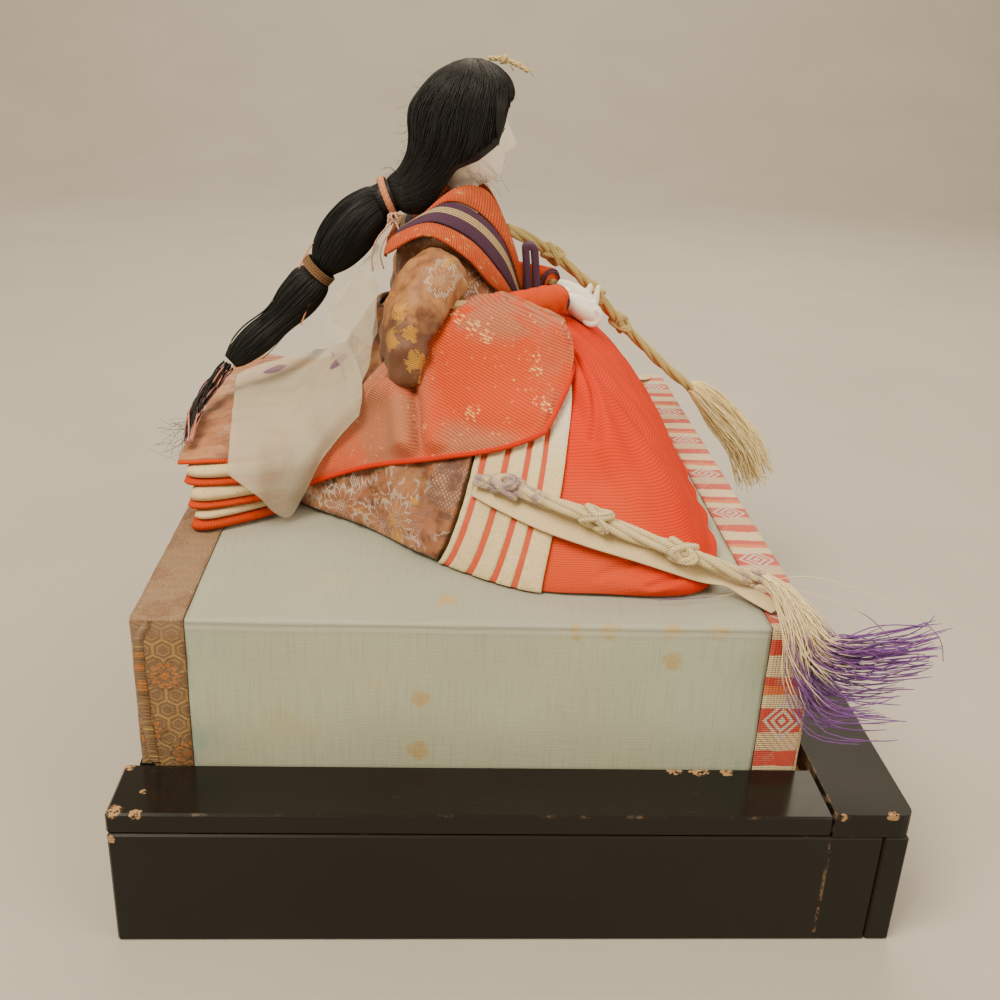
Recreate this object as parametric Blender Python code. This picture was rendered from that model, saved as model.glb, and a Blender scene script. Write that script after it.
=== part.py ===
"""Seated court doll on a lacquered stand.

Metres, +Z up. Origin at the bottom centre of the stand. +X is the doll's front, +Y its left.
"""
import math

import bmesh
import bpy
from mathutils import Vector

# Clearances
GAP = 0.0003
CUT_OVERRUN = 0.002

# Stand
BASE_DEPTH = 0.220
BASE_WIDTH = 0.2952
BASE_HEIGHT = 0.0433
PLANK_WIDTH = 0.0221
PLANK_THICKNESS = 0.0065
FRONT_PLANK_WIDTH = 0.0222
FRONT_PLANK_RISE = 0.001
FRONT_CORNER_RADIUS = 0.003
APRON_THICKNESS = 0.007
BACK_RECESS = 0.0039
BACK_BOARD_THICKNESS = 0.0042
DECK_THICKNESS = 0.004
BATTEN_SIZE = 0.008
WOOD_BEVEL = 0.0006

# Platform
PLATFORM_TOP = 0.0898
PLATFORM_SIDE_CLEARANCE = 0.0005
PLATFORM_FRONT_CLEARANCE = 0.0047
PLATFORM_BACK_CLEARANCE = 0.0007
SUNK_DEPTH = 0.0065
CLOTH_THICKNESS = 0.0009
EDGING_RISE = 0.0002
FRONT_EDGING_WIDTH = 0.0132
BACK_EDGING_WIDTH = 0.0102
EDGING_BULGE = 0.0042
CORE_BEVEL = 0.0004

# Lap: the padded seat that the robes cover
SEAT_CENTRE_X = -0.015
SEAT_DEPTH = 0.079
SEAT_HALF_WIDTH = 0.106
LAP_HEIGHT = 0.0580
LAP_FULLNESS = 1.35
WAIST_CENTRE_X = -0.012
WAIST_HALF_DEPTH = 0.031
WAIST_HALF_WIDTH = 0.027
HAKAMA_THICKNESS = 0.0012
SKIRT_THICKNESS = 0.0021
HEM_STEP = 0.0003
HEM_THICKNESS = 0.0006
PLEAT_DEPTH = 0.0011
HEM_ROLL = 0.0022
SLEEVE_THICKNESS = 0.0016
SLEEVE_ROLL = 0.0085

# Train behind the doll
TRAIN_OVERHANG = 0.0033
TRAIN_HALF_WIDTH = 0.0700
TRAIN_LAYER_THICKNESS = 0.0062
TRAIN_STEP = 0.0016
TRAIN_LAYERS = 3
BROCADE_THICKNESS = 0.0022
TRAIN_CROWN = 0.0030
TRAIN_RISE = 0.0265

# Torso, arms and hands
TORSO_HEIGHT = 0.0260
TORSO_HALF_WIDTH = 0.0290
TORSO_HALF_DEPTH = 0.0235
TORSO_CENTRE_X = -0.0195
CORE_HALF_DEPTH = 0.013
CORE_HALF_WIDTH = 0.017
CORE_CENTRE_X = -0.021
ARM_RADIUS = 0.0135
ARM_LENGTH = 0.034
ARM_START_Y = 0.023
ARM_DROP = 0.012
FOREARM_RISE = 0.0065
WRIST_X = 0.0185
WRIST_Y = 0.012
WRIST_RISE = 0.0065
ARM_CORE_RADIUS = 0.0016
CUFF_RADIUS = 0.0052
HAND_LENGTH = 0.017
HAND_WIDTH = 0.0062
FINGER_RADIUS = 0.0012
FINGER_LENGTH = 0.0085

# Head and neck
NECK_X = -0.0165
NECK_RADIUS = 0.0052
NECK_SUNK = 0.008
NECK_LENGTH = 0.0207
NECK_CLEARANCE = 0.001
HEAD_HEIGHT = 0.0400
HEAD_DEPTH = 0.0290
HEAD_WIDTH = 0.0270
NOSE_REACH = 0.0022
NOSE_SIZE = 0.0032
PEG_RADIUS = 0.0025
PEG_IN_BODY = 0.020
PEG_IN_HEAD = 0.010

# Hair
HAIR_THICKNESS = 0.0022
TIE_X = -0.0424
TIE_Z = 0.1852
TIE_RING_RADIUS = 0.0066
TIE_BAND_RADIUS = 0.0011
TAIL_REACH = 0.0660
TAIL_DROP = 0.0870
TAIL_RADIUS = 0.0088
ORNAMENT_LENGTH = 0.0130
ORNAMENT_RADIUS = 0.0014

# Collars
COLLAR_SPREAD = 0.0300
COLLAR_HEIGHT = 0.0425
COLLAR_THICKNESS = 0.0012
LOOP_HEIGHT = 0.0190
LOOP_WIDTH = 0.0060
LOOP_THICKNESS = 0.0016

# Gauze, ribbons, cords and tassels
GAUZE_THICKNESS = 0.0005
MO_REACH = 0.100
RIBBON_WIDTH = 0.0070
RIBBON_THICKNESS = 0.0005
CORD_DIAMETER = 0.0050
TASSEL_LENGTH = 0.0500
TASSEL_NECK_RADIUS = 0.0026
TASSEL_END_RADIUS = 0.0150

# Facets
LAP_STEPS = 24
ROUND_STEPS = 24

# Places worked out from the sizes
FLOOR_Z = PLATFORM_TOP + EDGING_RISE + GAP
WAIST_Z = FLOOR_Z + LAP_HEIGHT
BACK_BOARD_FRONT_X = -BASE_DEPTH / 2 + BACK_RECESS + BACK_BOARD_THICKNESS
PLATFORM_BACK_X = BACK_BOARD_FRONT_X + PLATFORM_BACK_CLEARANCE
PLATFORM_FRONT_X = BASE_DEPTH / 2 - FRONT_PLANK_WIDTH - PLATFORM_FRONT_CLEARANCE
PLATFORM_DEPTH = PLATFORM_FRONT_X - PLATFORM_BACK_X
PLATFORM_WIDTH = BASE_WIDTH - 2 * (PLANK_WIDTH + PLATFORM_SIDE_CLEARANCE)
PLATFORM_BOTTOM = BASE_HEIGHT - SUNK_DEPTH
TRAIN_BACK = TRAIN_OVERHANG - PLATFORM_BACK_X
SKIRT_INNER = HAKAMA_THICKNESS + 2 * GAP
SKIRT_OUTER = SKIRT_INNER + SKIRT_THICKNESS
SLEEVE_INNER = SKIRT_OUTER + GAP
TORSO_BOTTOM_Z = WAIST_Z + SKIRT_OUTER + GAP
TORSO_TOP_Z = TORSO_BOTTOM_Z + TORSO_HEIGHT
NECK_BOTTOM = TORSO_TOP_Z - NECK_SUNK
CHIN_Z = NECK_BOTTOM + NECK_LENGTH
PEG_BOTTOM_Z = NECK_BOTTOM - PEG_IN_BODY
ARM_START_Z = TORSO_TOP_Z - ARM_DROP
ARM_LEVEL_Z = WAIST_Z + FOREARM_RISE
WRIST_Z = WAIST_Z + WRIST_RISE


# Materials

COLOURS = {
    "lacquer": ((0.020, 0.014, 0.012), 0.25),
    "bare_wood": ((0.45, 0.30, 0.17), 0.7),
    "straw": ((0.62, 0.50, 0.28), 0.9),
    "silk": ((0.42, 0.46, 0.38), 0.6),
    "stripe_cloth": ((0.70, 0.20, 0.08), 0.8),
    "gold_brocade": ((0.30, 0.19, 0.07), 0.6),
    "gofun": ((0.85, 0.82, 0.76), 0.35),
    "hair": ((0.008, 0.008, 0.008), 0.4),
    "paper_tie": ((0.70, 0.30, 0.20), 0.8),
    "red_silk": ((0.72, 0.10, 0.02), 0.7),
    "rib_cloth": ((0.60, 0.14, 0.06), 0.7),
    "rose_brocade": ((0.30, 0.11, 0.05), 0.6),
    "cream_crepe": ((0.75, 0.68, 0.52), 0.8),
    "purple_cloth": ((0.07, 0.02, 0.06), 0.8),
    "gauze": ((0.68, 0.62, 0.50), 0.9),
    "cream_cord": ((0.72, 0.63, 0.42), 0.8),
    "yellow_cord": ((0.70, 0.58, 0.22), 0.8),
}


def material(name):
    """Principled material of one of the named colours."""
    found = bpy.data.materials.get(name)
    if found:
        return found
    colour, roughness = COLOURS[name]
    made = bpy.data.materials.new(name)
    made.use_nodes = True
    shader = made.node_tree.nodes["Principled BSDF"]
    shader.inputs["Base Color"].default_value = (*colour, 1)
    shader.inputs["Roughness"].default_value = roughness
    made.diffuse_color = (*colour, 1)
    return made


# Helpers

def clear_scene():
    for found in list(bpy.data.objects):
        bpy.data.objects.remove(found, do_unlink=True)


def add_object(name, mesh_data, material_name, smooth=True):
    """Link an object with its material and its smooth shading."""
    made = bpy.data.objects.new(name, mesh_data)
    bpy.context.collection.objects.link(made)
    made.data.materials.append(material(material_name))
    if smooth:
        made.data.shade_smooth()
        made.data.set_sharp_from_angle(angle=math.radians(45))
    return made


def finish_mesh(name, mesh_builder, material_name, smooth=True):
    """Turn a bmesh into an object whose faces point outwards."""
    bmesh.ops.recalc_face_normals(mesh_builder, faces=mesh_builder.faces)
    data = bpy.data.meshes.new(name)
    mesh_builder.to_mesh(data)
    mesh_builder.free()
    return add_object(name, data, material_name, smooth)


def box(name, low, high, material_name, bevel=0):
    """Box between two corners, placed by its centre, with a modifier for its edges."""
    size = Vector(high) - Vector(low)
    builder = bmesh.new()
    bmesh.ops.create_cube(builder, size=1)
    bmesh.ops.scale(builder, vec=size, verts=builder.verts)
    made = finish_mesh(name, builder, material_name, smooth=False)
    made.location = (Vector(low) + Vector(high)) / 2
    if bevel:
        edges = made.modifiers.new("edges", "BEVEL")
        edges.width = bevel
        edges.segments = 1
    return made


def loft(name, rings, material_name, closed=False):
    """Closed solid through rings of equally many points, capped at both ends."""
    builder = bmesh.new()
    rows = [[builder.verts.new(point) for point in ring] for ring in rings]
    count = len(rows[0])
    pairs = list(zip(rows, rows[1:]))
    if closed:
        pairs.append((rows[-1], rows[0]))
    for lower, upper in pairs:
        for i in range(count):
            j = (i + 1) % count
            builder.faces.new((lower[i], lower[j], upper[j], upper[i]))
    if not closed:
        builder.faces.new(rows[0])
        builder.faces.new(rows[-1])
    return finish_mesh(name, builder, material_name)


def shell(name, columns, rows, inner, outer, material_name):
    """Closed sheet between two grids, each a function of column and row shares."""
    builder = bmesh.new()
    layers = []
    for side in (inner, outer):
        grid = []
        for i in range(columns + 1):
            grid.append([builder.verts.new(side(i / columns, j / rows)) for j in range(rows + 1)])
        layers.append(grid)
    low, high = layers
    for i in range(columns):
        for j in range(rows):
            for grid in layers:
                builder.faces.new((grid[i][j], grid[i + 1][j], grid[i + 1][j + 1], grid[i][j + 1]))
    for i in range(columns):
        for j in (0, rows):
            builder.faces.new((low[i][j], low[i + 1][j], high[i + 1][j], high[i][j]))
    for j in range(rows):
        for i in (0, columns):
            builder.faces.new((low[i][j], low[i][j + 1], high[i][j + 1], high[i][j]))
    return finish_mesh(name, builder, material_name)


def cutter_like(source, growth, with_cuts=True):
    """Hidden copy of a piece, grown on all sides, that cuts room for it in its neighbours."""
    made = source.copy()
    if not with_cuts:
        made.modifiers.clear()
    made.name = source.name + "_room"
    bpy.context.collection.objects.link(made)
    made.hide_render = True
    made.display_type = "WIRE"
    if growth:
        grown = made.modifiers.new("growth", "DISPLACE")
        grown.strength = growth
        grown.mid_level = 0
    return made


def cut(target, cutter, operation="DIFFERENCE"):
    cutter.hide_render = True
    cutter.display_type = "WIRE"
    change = target.modifiers.new("cut_" + cutter.name, "BOOLEAN")
    change.operation = operation
    change.solver = "EXACT"
    change.object = cutter


def smooth_step(share):
    share = min(max(share, 0), 1)
    return share * share * (3 - 2 * share)


def mix(first, second, share):
    return first + (second - first) * share


def curve_point(points, share):
    """Point on a smooth curve through a list of tuples, share 0 at its start and 1 at its end."""
    last = len(points) - 1
    place = min(max(share, 0), 1) * last
    start = min(int(place), last - 1)
    t = place - start
    before = points[max(start - 1, 0)]
    after = points[min(start + 2, last)]
    result = []
    for a, b, c, d in zip(before, points[start], points[start + 1], after):
        slope_in = (c - a) / 2
        slope_out = (d - b) / 2
        result.append(
            b * (2 * t**3 - 3 * t**2 + 1)
            + c * (3 * t**2 - 2 * t**3)
            + slope_in * (t**3 - 2 * t**2 + t)
            + slope_out * (t**3 - t**2)
        )
    return result


def ellipse_ring(centre, side_axis, up_axis, half_side, half_up, count=ROUND_STEPS):
    """Ring of points round a centre, in the plane of two axes."""
    ring = []
    for i in range(count):
        angle = 2 * math.pi * i / count
        ring.append(centre + side_axis * half_side * math.cos(angle) + up_axis * half_up * math.sin(angle))
    return ring


def path_rings(centres, radii, count=ROUND_STEPS, width_share=1, width_axis=(0, 1, 0)):
    """Rings square to a path, with their width along an axis that the path never follows."""
    rings = []
    for i, centre in enumerate(centres):
        ahead = centres[min(i + 1, len(centres) - 1)]
        behind = centres[max(i - 1, 0)]
        along = (ahead - behind).normalized()
        across = Vector(width_axis)
        across = (across - along * along.dot(across)).normalized()
        other = along.cross(across)
        rings.append(ellipse_ring(centre, other, across, radii[i], radii[i] * width_share, count))
    return rings


# Stand

def build_stand():
    half_depth = BASE_DEPTH / 2
    half_width = BASE_WIDTH / 2
    plank_bottom = BASE_HEIGHT - PLANK_THICKNESS
    front_inner_x = half_depth - FRONT_PLANK_WIDTH
    deck_top = PLATFORM_BOTTOM - GAP
    for side, name in ((-1, "right"), (1, "left")):
        edges = sorted((side * half_width, side * (half_width - PLANK_WIDTH)))
        box(name + "_plank", (-half_depth, edges[0], plank_bottom),
            (front_inner_x - GAP, edges[1], BASE_HEIGHT),
            "lacquer", WOOD_BEVEL)
        edges = sorted((side * half_width, side * (half_width - APRON_THICKNESS)))
        box(name + "_apron", (-half_depth, edges[0], 0),
            (half_depth - APRON_THICKNESS - GAP, edges[1], plank_bottom - GAP),
            "lacquer", WOOD_BEVEL)
        inner = side * (half_width - APRON_THICKNESS - GAP)
        edges = sorted((inner, inner - side * BATTEN_SIZE))
        batten_top = deck_top - DECK_THICKNESS - GAP
        box("deck_batten_" + name, (BACK_BOARD_FRONT_X + GAP, edges[0], batten_top - BATTEN_SIZE),
            (half_depth - APRON_THICKNESS - GAP, edges[1], batten_top), "bare_wood", WOOD_BEVEL)
    front_plank = box("front_plank", (front_inner_x, -half_width, plank_bottom),
                      (half_depth, half_width, BASE_HEIGHT + FRONT_PLANK_RISE), "lacquer")
    edges = front_plank.modifiers.new("edges", "BEVEL")
    edges.width = FRONT_CORNER_RADIUS
    edges.segments = 3
    edges.limit_method = "WEIGHT"
    round_front_corners(front_plank)
    box("front_apron", (half_depth - APRON_THICKNESS, -half_width, 0),
        (half_depth, half_width, plank_bottom - GAP),
        "lacquer", WOOD_BEVEL)
    side_limit = half_width - APRON_THICKNESS - GAP
    box("base_deck", (BACK_BOARD_FRONT_X + GAP, -side_limit, deck_top - DECK_THICKNESS),
        (half_depth - APRON_THICKNESS - GAP, side_limit, deck_top), "bare_wood", WOOD_BEVEL)
    build_back_board(side_limit)


def round_front_corners(plank):
    """Mark the two upright front edges of the plank for its bevel."""
    weights = plank.data.attributes.new("bevel_weight_edge", "FLOAT", "EDGE")
    for edge in plank.data.edges:
        ends = [plank.data.vertices[i].co for i in edge.vertices]
        upright = abs(ends[0].z - ends[1].z) > GAP
        weights.data[edge.index].value = 1 if upright and ends[0].x > 0 else 0


def build_back_board(side_limit):
    """Board at the back: full height between the side planks, under them at its ends."""
    back_x = -BASE_DEPTH / 2 + BACK_RECESS
    narrow = BASE_WIDTH / 2 - PLANK_WIDTH - GAP
    shoulder = BASE_HEIGHT - PLANK_THICKNESS - GAP
    outline = [(-side_limit, 0), (side_limit, 0), (side_limit, shoulder), (narrow, shoulder),
               (narrow, BASE_HEIGHT), (-narrow, BASE_HEIGHT), (-narrow, shoulder), (-side_limit, shoulder)]
    rings = [[Vector((x, y, z)) for y, z in outline] for x in (back_x, BACK_BOARD_FRONT_X)]
    board = loft("back_board", rings, "lacquer")
    board.data.shade_flat()


# Platform

def wrap_cloth(name, low_x, high_x, rise, material_name, end_wall=0, bulge=None):
    """Cloth over the top and both sides of the platform, with a wall at its front (1) or back (-1) end."""
    reach = PLATFORM_WIDTH / 2 + rise
    top = PLATFORM_TOP + rise
    made = box(name, (low_x, -reach, PLATFORM_BOTTOM + GAP), (high_x, reach, top), material_name)
    inner_low = low_x + CLOTH_THICKNESS if end_wall < 0 else low_x - CUT_OVERRUN
    inner_high = high_x - CLOTH_THICKNESS if end_wall > 0 else high_x + CUT_OVERRUN
    inner_side = PLATFORM_WIDTH / 2 - CLOTH_THICKNESS
    inside = box(name + "_inside", (inner_low, -inner_side, PLATFORM_BOTTOM - CUT_OVERRUN),
                 (inner_high, inner_side, PLATFORM_TOP - CLOTH_THICKNESS), material_name)
    if bulge:
        cut(made, bulge, "UNION")
    cut(made, inside)
    return made


# Outline of the bulge: how far it stands out, and its height above its foot
BULGE_SHARES = [
    (-0.4, 0.0), (0.62, 0.0), (0.80, 0.28), (0.97, 0.62), (1.0, 0.80), (0.86, 0.88), (0.20, 0.97),
    (-0.4, 0.99),
]


def build_edging_bulge():
    """Roll of loosened brocade that stands out behind the platform, above the back board."""
    reach = PLATFORM_WIDTH / 2 + EDGING_RISE
    low = BASE_HEIGHT + 2 * GAP
    height = PLATFORM_TOP - low
    rings = []
    for y in (-reach, reach):
        ring = []
        for out_share, rise_share in BULGE_SHARES:
            ring.append(Vector((PLATFORM_BACK_X - out_share * EDGING_BULGE, y, low + rise_share * height)))
        rings.append(ring)
    bulge = loft("edging_bulge", rings, "gold_brocade")
    bulge.data.shade_flat()
    return bulge


def build_platform():
    inset = CLOTH_THICKNESS + GAP
    side = PLATFORM_WIDTH / 2 - inset
    box("platform_core", (PLATFORM_BACK_X + inset, -side, PLATFORM_BOTTOM),
        (PLATFORM_FRONT_X - inset, side, PLATFORM_TOP - inset),
        "straw", CORE_BEVEL)
    silk_low = PLATFORM_BACK_X + BACK_EDGING_WIDTH
    silk_high = PLATFORM_FRONT_X - FRONT_EDGING_WIDTH
    wrap_cloth("silk_cover", silk_low, silk_high, 0, "silk")
    bulge = build_edging_bulge()
    wrap_cloth("back_edging", PLATFORM_BACK_X, silk_low - GAP, EDGING_RISE, "gold_brocade", -1, bulge)
    wrap_cloth("front_edging", silk_high + GAP, PLATFORM_FRONT_X, EDGING_RISE, "stripe_cloth", end_wall=1)


# Lap surface

LAP_OUTLINE_SHARES = [
    (1.00, 0.00), (0.99, 0.30), (0.97, 0.60), (0.93, 0.88), (0.80, 0.995), (0.50, 1.00), (0.22, 0.975),
    (-0.10, 0.80), (-0.38, 0.58), (-0.60, 0.45), (-0.68, 0.37), (-0.63, 0.22), (-0.57, 0.00),
]


def lap_outline(turn):
    """Plan of the lap's edge: turn 0 at the front, 1 at the back on the left, -1 at the back on the right."""
    turn = (turn + 1) % 2 - 1
    side = -1 if turn < 0 else 1
    points = LAP_OUTLINE_SHARES
    last = len(points) - 1
    place = abs(turn) * last
    start = min(int(place), last - 1)
    before = points[start - 1] if start else (points[1][0], -points[1][1])
    after = points[start + 2] if start + 2 <= last else (points[last - 1][0], -points[last - 1][1])
    share = (1 + place - start) / 3
    x_share, y_share = curve_point([before, points[start], points[start + 1], after], share)
    return Vector((SEAT_CENTRE_X + x_share * SEAT_DEPTH, side * y_share * SEAT_HALF_WIDTH, 0))


def lap_surface(turn, lean):
    """Point of the lap: lean 0 at its foot and 1 at the waist."""
    foot = lap_outline(turn)
    direction = foot - Vector((SEAT_CENTRE_X, 0, 0))
    angle = math.atan2(direction.y, direction.x)
    waist = Vector((WAIST_CENTRE_X + WAIST_HALF_DEPTH * math.cos(angle),
                    WAIST_HALF_WIDTH * math.sin(angle), 0))
    swing = min(max(lean, 0), 1) * math.pi / 2
    power = 2 / LAP_FULLNESS
    outward = max(math.cos(swing), 0) ** power
    rise = math.sin(swing) ** power
    return waist + (foot - waist) * outward + Vector((0, 0, FLOOR_Z + LAP_HEIGHT * rise))


def lap_point(turn, lean, offset):
    """Point that stands off the lap's surface by an offset, never below the foot."""
    step = 0.01
    centre = lap_surface(turn, lean)
    low = max(lean - step, 0.002)
    high = min(lean + step, 0.98)
    along = lap_surface(turn + step, lean) - lap_surface(turn - step, lean)
    if high <= low:
        high = low + step
    upward = lap_surface(turn, high) - lap_surface(turn, low)
    if lean > 0.98:
        upward = lap_surface(turn, 0.98) - lap_surface(turn, 0.96)
    normal = along.cross(upward).normalized()
    point = centre + normal * offset
    point.z = max(point.z, FLOOR_Z)
    return point


def lean_of(rise_share):
    """Lean at which the lap has a share of its height."""
    return math.asin(rise_share ** (LAP_FULLNESS / 2)) / (math.pi / 2)


HAKAMA_TURN_SHARE = 0.50
HEM_BANDS = 5


def hem_front_turn(lean):
    return 0.482 - 0.29 * lean * lean


def hem_back_turn(lean):
    return mix(0.577, 0.500, lean)


def lap_solid(name, offset, material_name):
    """The whole lap as one solid, standing off its surface by an offset that may vary with the turn."""
    rings = []
    steps = 8
    for j in range(steps + 1):
        lean = 0.97 * j / steps
        ring = []
        for i in range(2 * LAP_STEPS):
            turn = -1 + i / LAP_STEPS
            point = lap_point(turn, lean, offset(turn))
            if j == 0:
                point.z = FLOOR_Z
            ring.append(point)
        rings.append(ring)
    level = sum(point.z for point in rings[-1]) / len(rings[-1])
    middle = Vector((WAIST_CENTRE_X, 0, level))
    rings.append([middle + Vector((point.x - middle.x, point.y, 0)) * 0.9 for point in rings[-1]])
    return loft(name, rings, material_name)


def stuffing_offset(turn):
    beyond = smooth_step((abs(turn) - HAKAMA_TURN_SHARE - 0.01) / 0.04)
    return beyond * HAKAMA_THICKNESS - GAP


def build_lap():
    core = build_body_core()
    stuffing = lap_solid("lap_stuffing", stuffing_offset, "straw")
    cut(stuffing, cutter_like(core, GAP))
    build_hakama()
    build_skirt()
    for side, name in ((-1, "right"), (1, "left")):
        build_striped_hem("striped_hem_" + name, side)


def build_body_core():
    """Straw bundle from the platform to the shoulders, with a hole for the peg."""
    height = NECK_BOTTOM - GAP - FLOOR_Z
    shares = [(0, 0.95), (0.25, 1.0), (0.6, 0.92), (0.85, 0.85), (1, 0.68)]
    rings = []
    for rise, width in shares:
        centre = Vector((CORE_CENTRE_X, 0, FLOOR_Z + rise * height))
        rings.append(ellipse_ring(centre, Vector((1, 0, 0)), Vector((0, 1, 0)),
                                  CORE_HALF_DEPTH * width, CORE_HALF_WIDTH * width))
    core = loft("body_core", rings, "straw")
    bore = cylinder("peg_bore", NECK_X, 0, PEG_BOTTOM_Z - GAP, NECK_BOTTOM + CUT_OVERRUN, PEG_RADIUS + GAP,
                    "straw")
    cut(core, bore)
    return core


def cylinder(name, x, y, low_z, high_z, radius, material_name, count=ROUND_STEPS):
    rings = []
    for z in (low_z, high_z):
        rings.append(ellipse_ring(Vector((x, y, z)), Vector((1, 0, 0)), Vector((0, 1, 0)), radius, radius,
                                  count))
    return loft(name, rings, material_name)


def build_hakama():
    """Pleated trousers over the front of the lap, with a rolled hem at the floor."""
    pleats = 9

    def lift(turn, lean):
        window = 1 - smooth_step((abs(turn) - 0.16) / 0.10)
        pleat = PLEAT_DEPTH * window * (0.5 - 0.5 * math.cos(2 * math.pi * pleats * turn / 0.5))
        fade = 1 - smooth_step((abs(turn) - 0.36) / 0.08)
        roll = HEM_ROLL * math.exp(-((lean - 0.06) / 0.05) ** 2) * fade
        return pleat * (1 - lean) ** 0.5 + roll

    def place(column, row, offset):
        turn = mix(-HAKAMA_TURN_SHARE, HAKAMA_TURN_SHARE, column)
        lean = 0.95 * row
        return lap_point(turn, lean, offset + lift(turn, lean))

    shell("hakama", 40, 8, lambda c, r: place(c, r, 0), lambda c, r: place(c, r, HAKAMA_THICKNESS),
          "red_silk")


def build_skirt():
    """Brocade robe from one striped hem round the back to the other."""
    def place(column, row, offset):
        lean = 0.93 * row
        start = hem_back_turn(lean) + 0.004
        return lap_point(mix(start, 2 - start, column), lean, offset)

    shell("robe_skirt", 30, 7, lambda c, r: place(c, r, SKIRT_INNER), lambda c, r: place(c, r, SKIRT_OUTER),
          "rose_brocade")


def build_striped_hem(name, side):
    """Five stepped robe edges, the outermost at the back."""
    def place(column, row, offset):
        lean = 0.88 * row
        turn = mix(hem_front_turn(lean), hem_back_turn(lean), column)
        return lap_point(side * turn, lean, offset)

    def outer(column, row):
        band = min(int(column * HEM_BANDS), HEM_BANDS - 1)
        return place(column, row, SKIRT_INNER + HEM_THICKNESS + band * HEM_STEP)

    shell(name, 2 * HEM_BANDS, 7, lambda c, r: place(c, r, SKIRT_INNER), outer, "cream_crepe")


# Train

NOSE_TURN_SHARE = 0.70


def train_front_x():
    """Just behind the robe's rearmost fold."""
    turns = [mix(NOSE_TURN_SHARE, 1, i / LAP_STEPS) for i in range(LAP_STEPS + 1)]
    return min(lap_point(turn, 0, SKIRT_OUTER).x for turn in turns) - GAP


# Half widths of each layer, from the lowest up, at its front and its back
TRAIN_LAYER_SHARES = [(0.74, 1.04), (0.79, 1.01), (0.83, 0.95)]


def train_half_width(layer, share):
    """Half width of a layer: share 0 at its front and 1 at its back."""
    front, back = TRAIN_LAYER_SHARES[layer]
    return TRAIN_HALF_WIDTH * mix(front, back, share ** 0.8) * (1 - 0.06 * share ** 10)


def build_train():
    front = train_front_x()
    pitch = TRAIN_LAYER_THICKNESS + GAP
    for layer in range(TRAIN_LAYERS):
        low = FLOOR_Z + layer * pitch
        back = -TRAIN_BACK + (TRAIN_LAYERS - layer) * TRAIN_STEP

        def place(column, row, height, back=back, low=low, layer=layer):
            across = 2 * column - 1
            soft = 1 - 0.5 * max(abs(across) ** 12, row ** 16)
            bow = TRAIN_STEP * (1 - across * across)
            x = mix(front, back, row) - bow * row
            return Vector((x, across * train_half_width(layer, row), low + height * soft))

        shell("train_layer_%d" % (layer + 1), 12, 5, lambda c, r: place(c, r, 0),
              lambda c, r: place(c, r, TRAIN_LAYER_THICKNESS), "cream_crepe" if layer else "red_silk")
    build_train_brocade(FLOOR_Z + TRAIN_LAYERS * pitch)


TRAIN_HEIGHT_SHARES = [(1.0,), (0.84,), (0.55,), (0.36,), (0.24,), (0.16,), (0.11,), (0.07,), (0.035,),
                       (0.0,)]
TRAIN_WIDTH_SHARES = [(0.26,), (0.34,), (0.45,), (0.57,), (0.68,), (0.77,), (0.83,), (0.86,), (0.875,),
                      (0.87,)]


def build_train_brocade(low):
    """Brocade sheet from the waist down over the layers."""
    waist_x = WAIST_CENTRE_X - WAIST_HALF_DEPTH - SKIRT_OUTER

    def place(column, row, offset):
        across = 2 * column - 1
        x = mix(waist_x, -TRAIN_BACK, row)
        height = TRAIN_RISE * curve_point(TRAIN_HEIGHT_SHARES, row)[0]
        droop = 1 - 0.85 * across**4 * smooth_step(row / 0.3)
        crown = TRAIN_CROWN * (1 - across * across)
        y = across * TRAIN_HALF_WIDTH * curve_point(TRAIN_WIDTH_SHARES, row)[0]
        return Vector((x, y, low + height * droop + crown + offset))

    brocade = shell("train_brocade", 12, 12, lambda c, r: place(c, r, 0), lambda c,
                    r: place(c, r, BROCADE_THICKNESS),
                    "rose_brocade")
    cut(brocade, lap_room())


def lap_room():
    """Hidden solid of the dressed lap, for cutting what lies on it."""
    found = bpy.data.objects.get("lap_room")
    if found:
        return found
    made = lap_solid("lap_room", lambda turn: SKIRT_OUTER + 3 * GAP, "straw")
    made.hide_render = True
    made.display_type = "WIRE"
    return made


# Torso and sleeves

TORSO_SHARES = [
    (0.00, 0.02, 0.92, 1.14), (0.08, -0.05, 0.83, 0.965), (0.23, -0.08, 0.79, 0.88),
    (0.42, -0.12, 0.75, 0.845),
    (0.61, -0.17, 0.68, 0.78), (0.77, -0.19, 0.56, 0.68), (0.90, -0.20, 0.42, 0.55),
    (1.00, -0.16, 0.21, 0.30),
]
ARM_SHARES = [
    (0.00, 0.00, 0.00, 0.60), (-0.06, -0.24, -0.12, 0.90), (-0.12, -0.41, -0.38, 1.03),
    (-0.15, -0.56, -0.71, 1.03),
    (-0.15, -0.62, -0.97, 0.90), (-0.15, -0.65, -1.12, 0.50),
]
SLEEVE_LOW_SHARES = [(0.445, 0.60), (0.505, 0.535), (0.590, 0.425), (0.680, 0.275), (0.757, 0.125)]
SLEEVE_TOP_SHARES = [(0.262, 0.925), (0.390, 0.965), (0.500, 0.975), (0.630, 0.92), (0.765, 0.40)]
SLEEVE_ROLL_SHARES = [(0.35,), (0.75,), (1.00,), (0.80,), (0.10,)]


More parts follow.
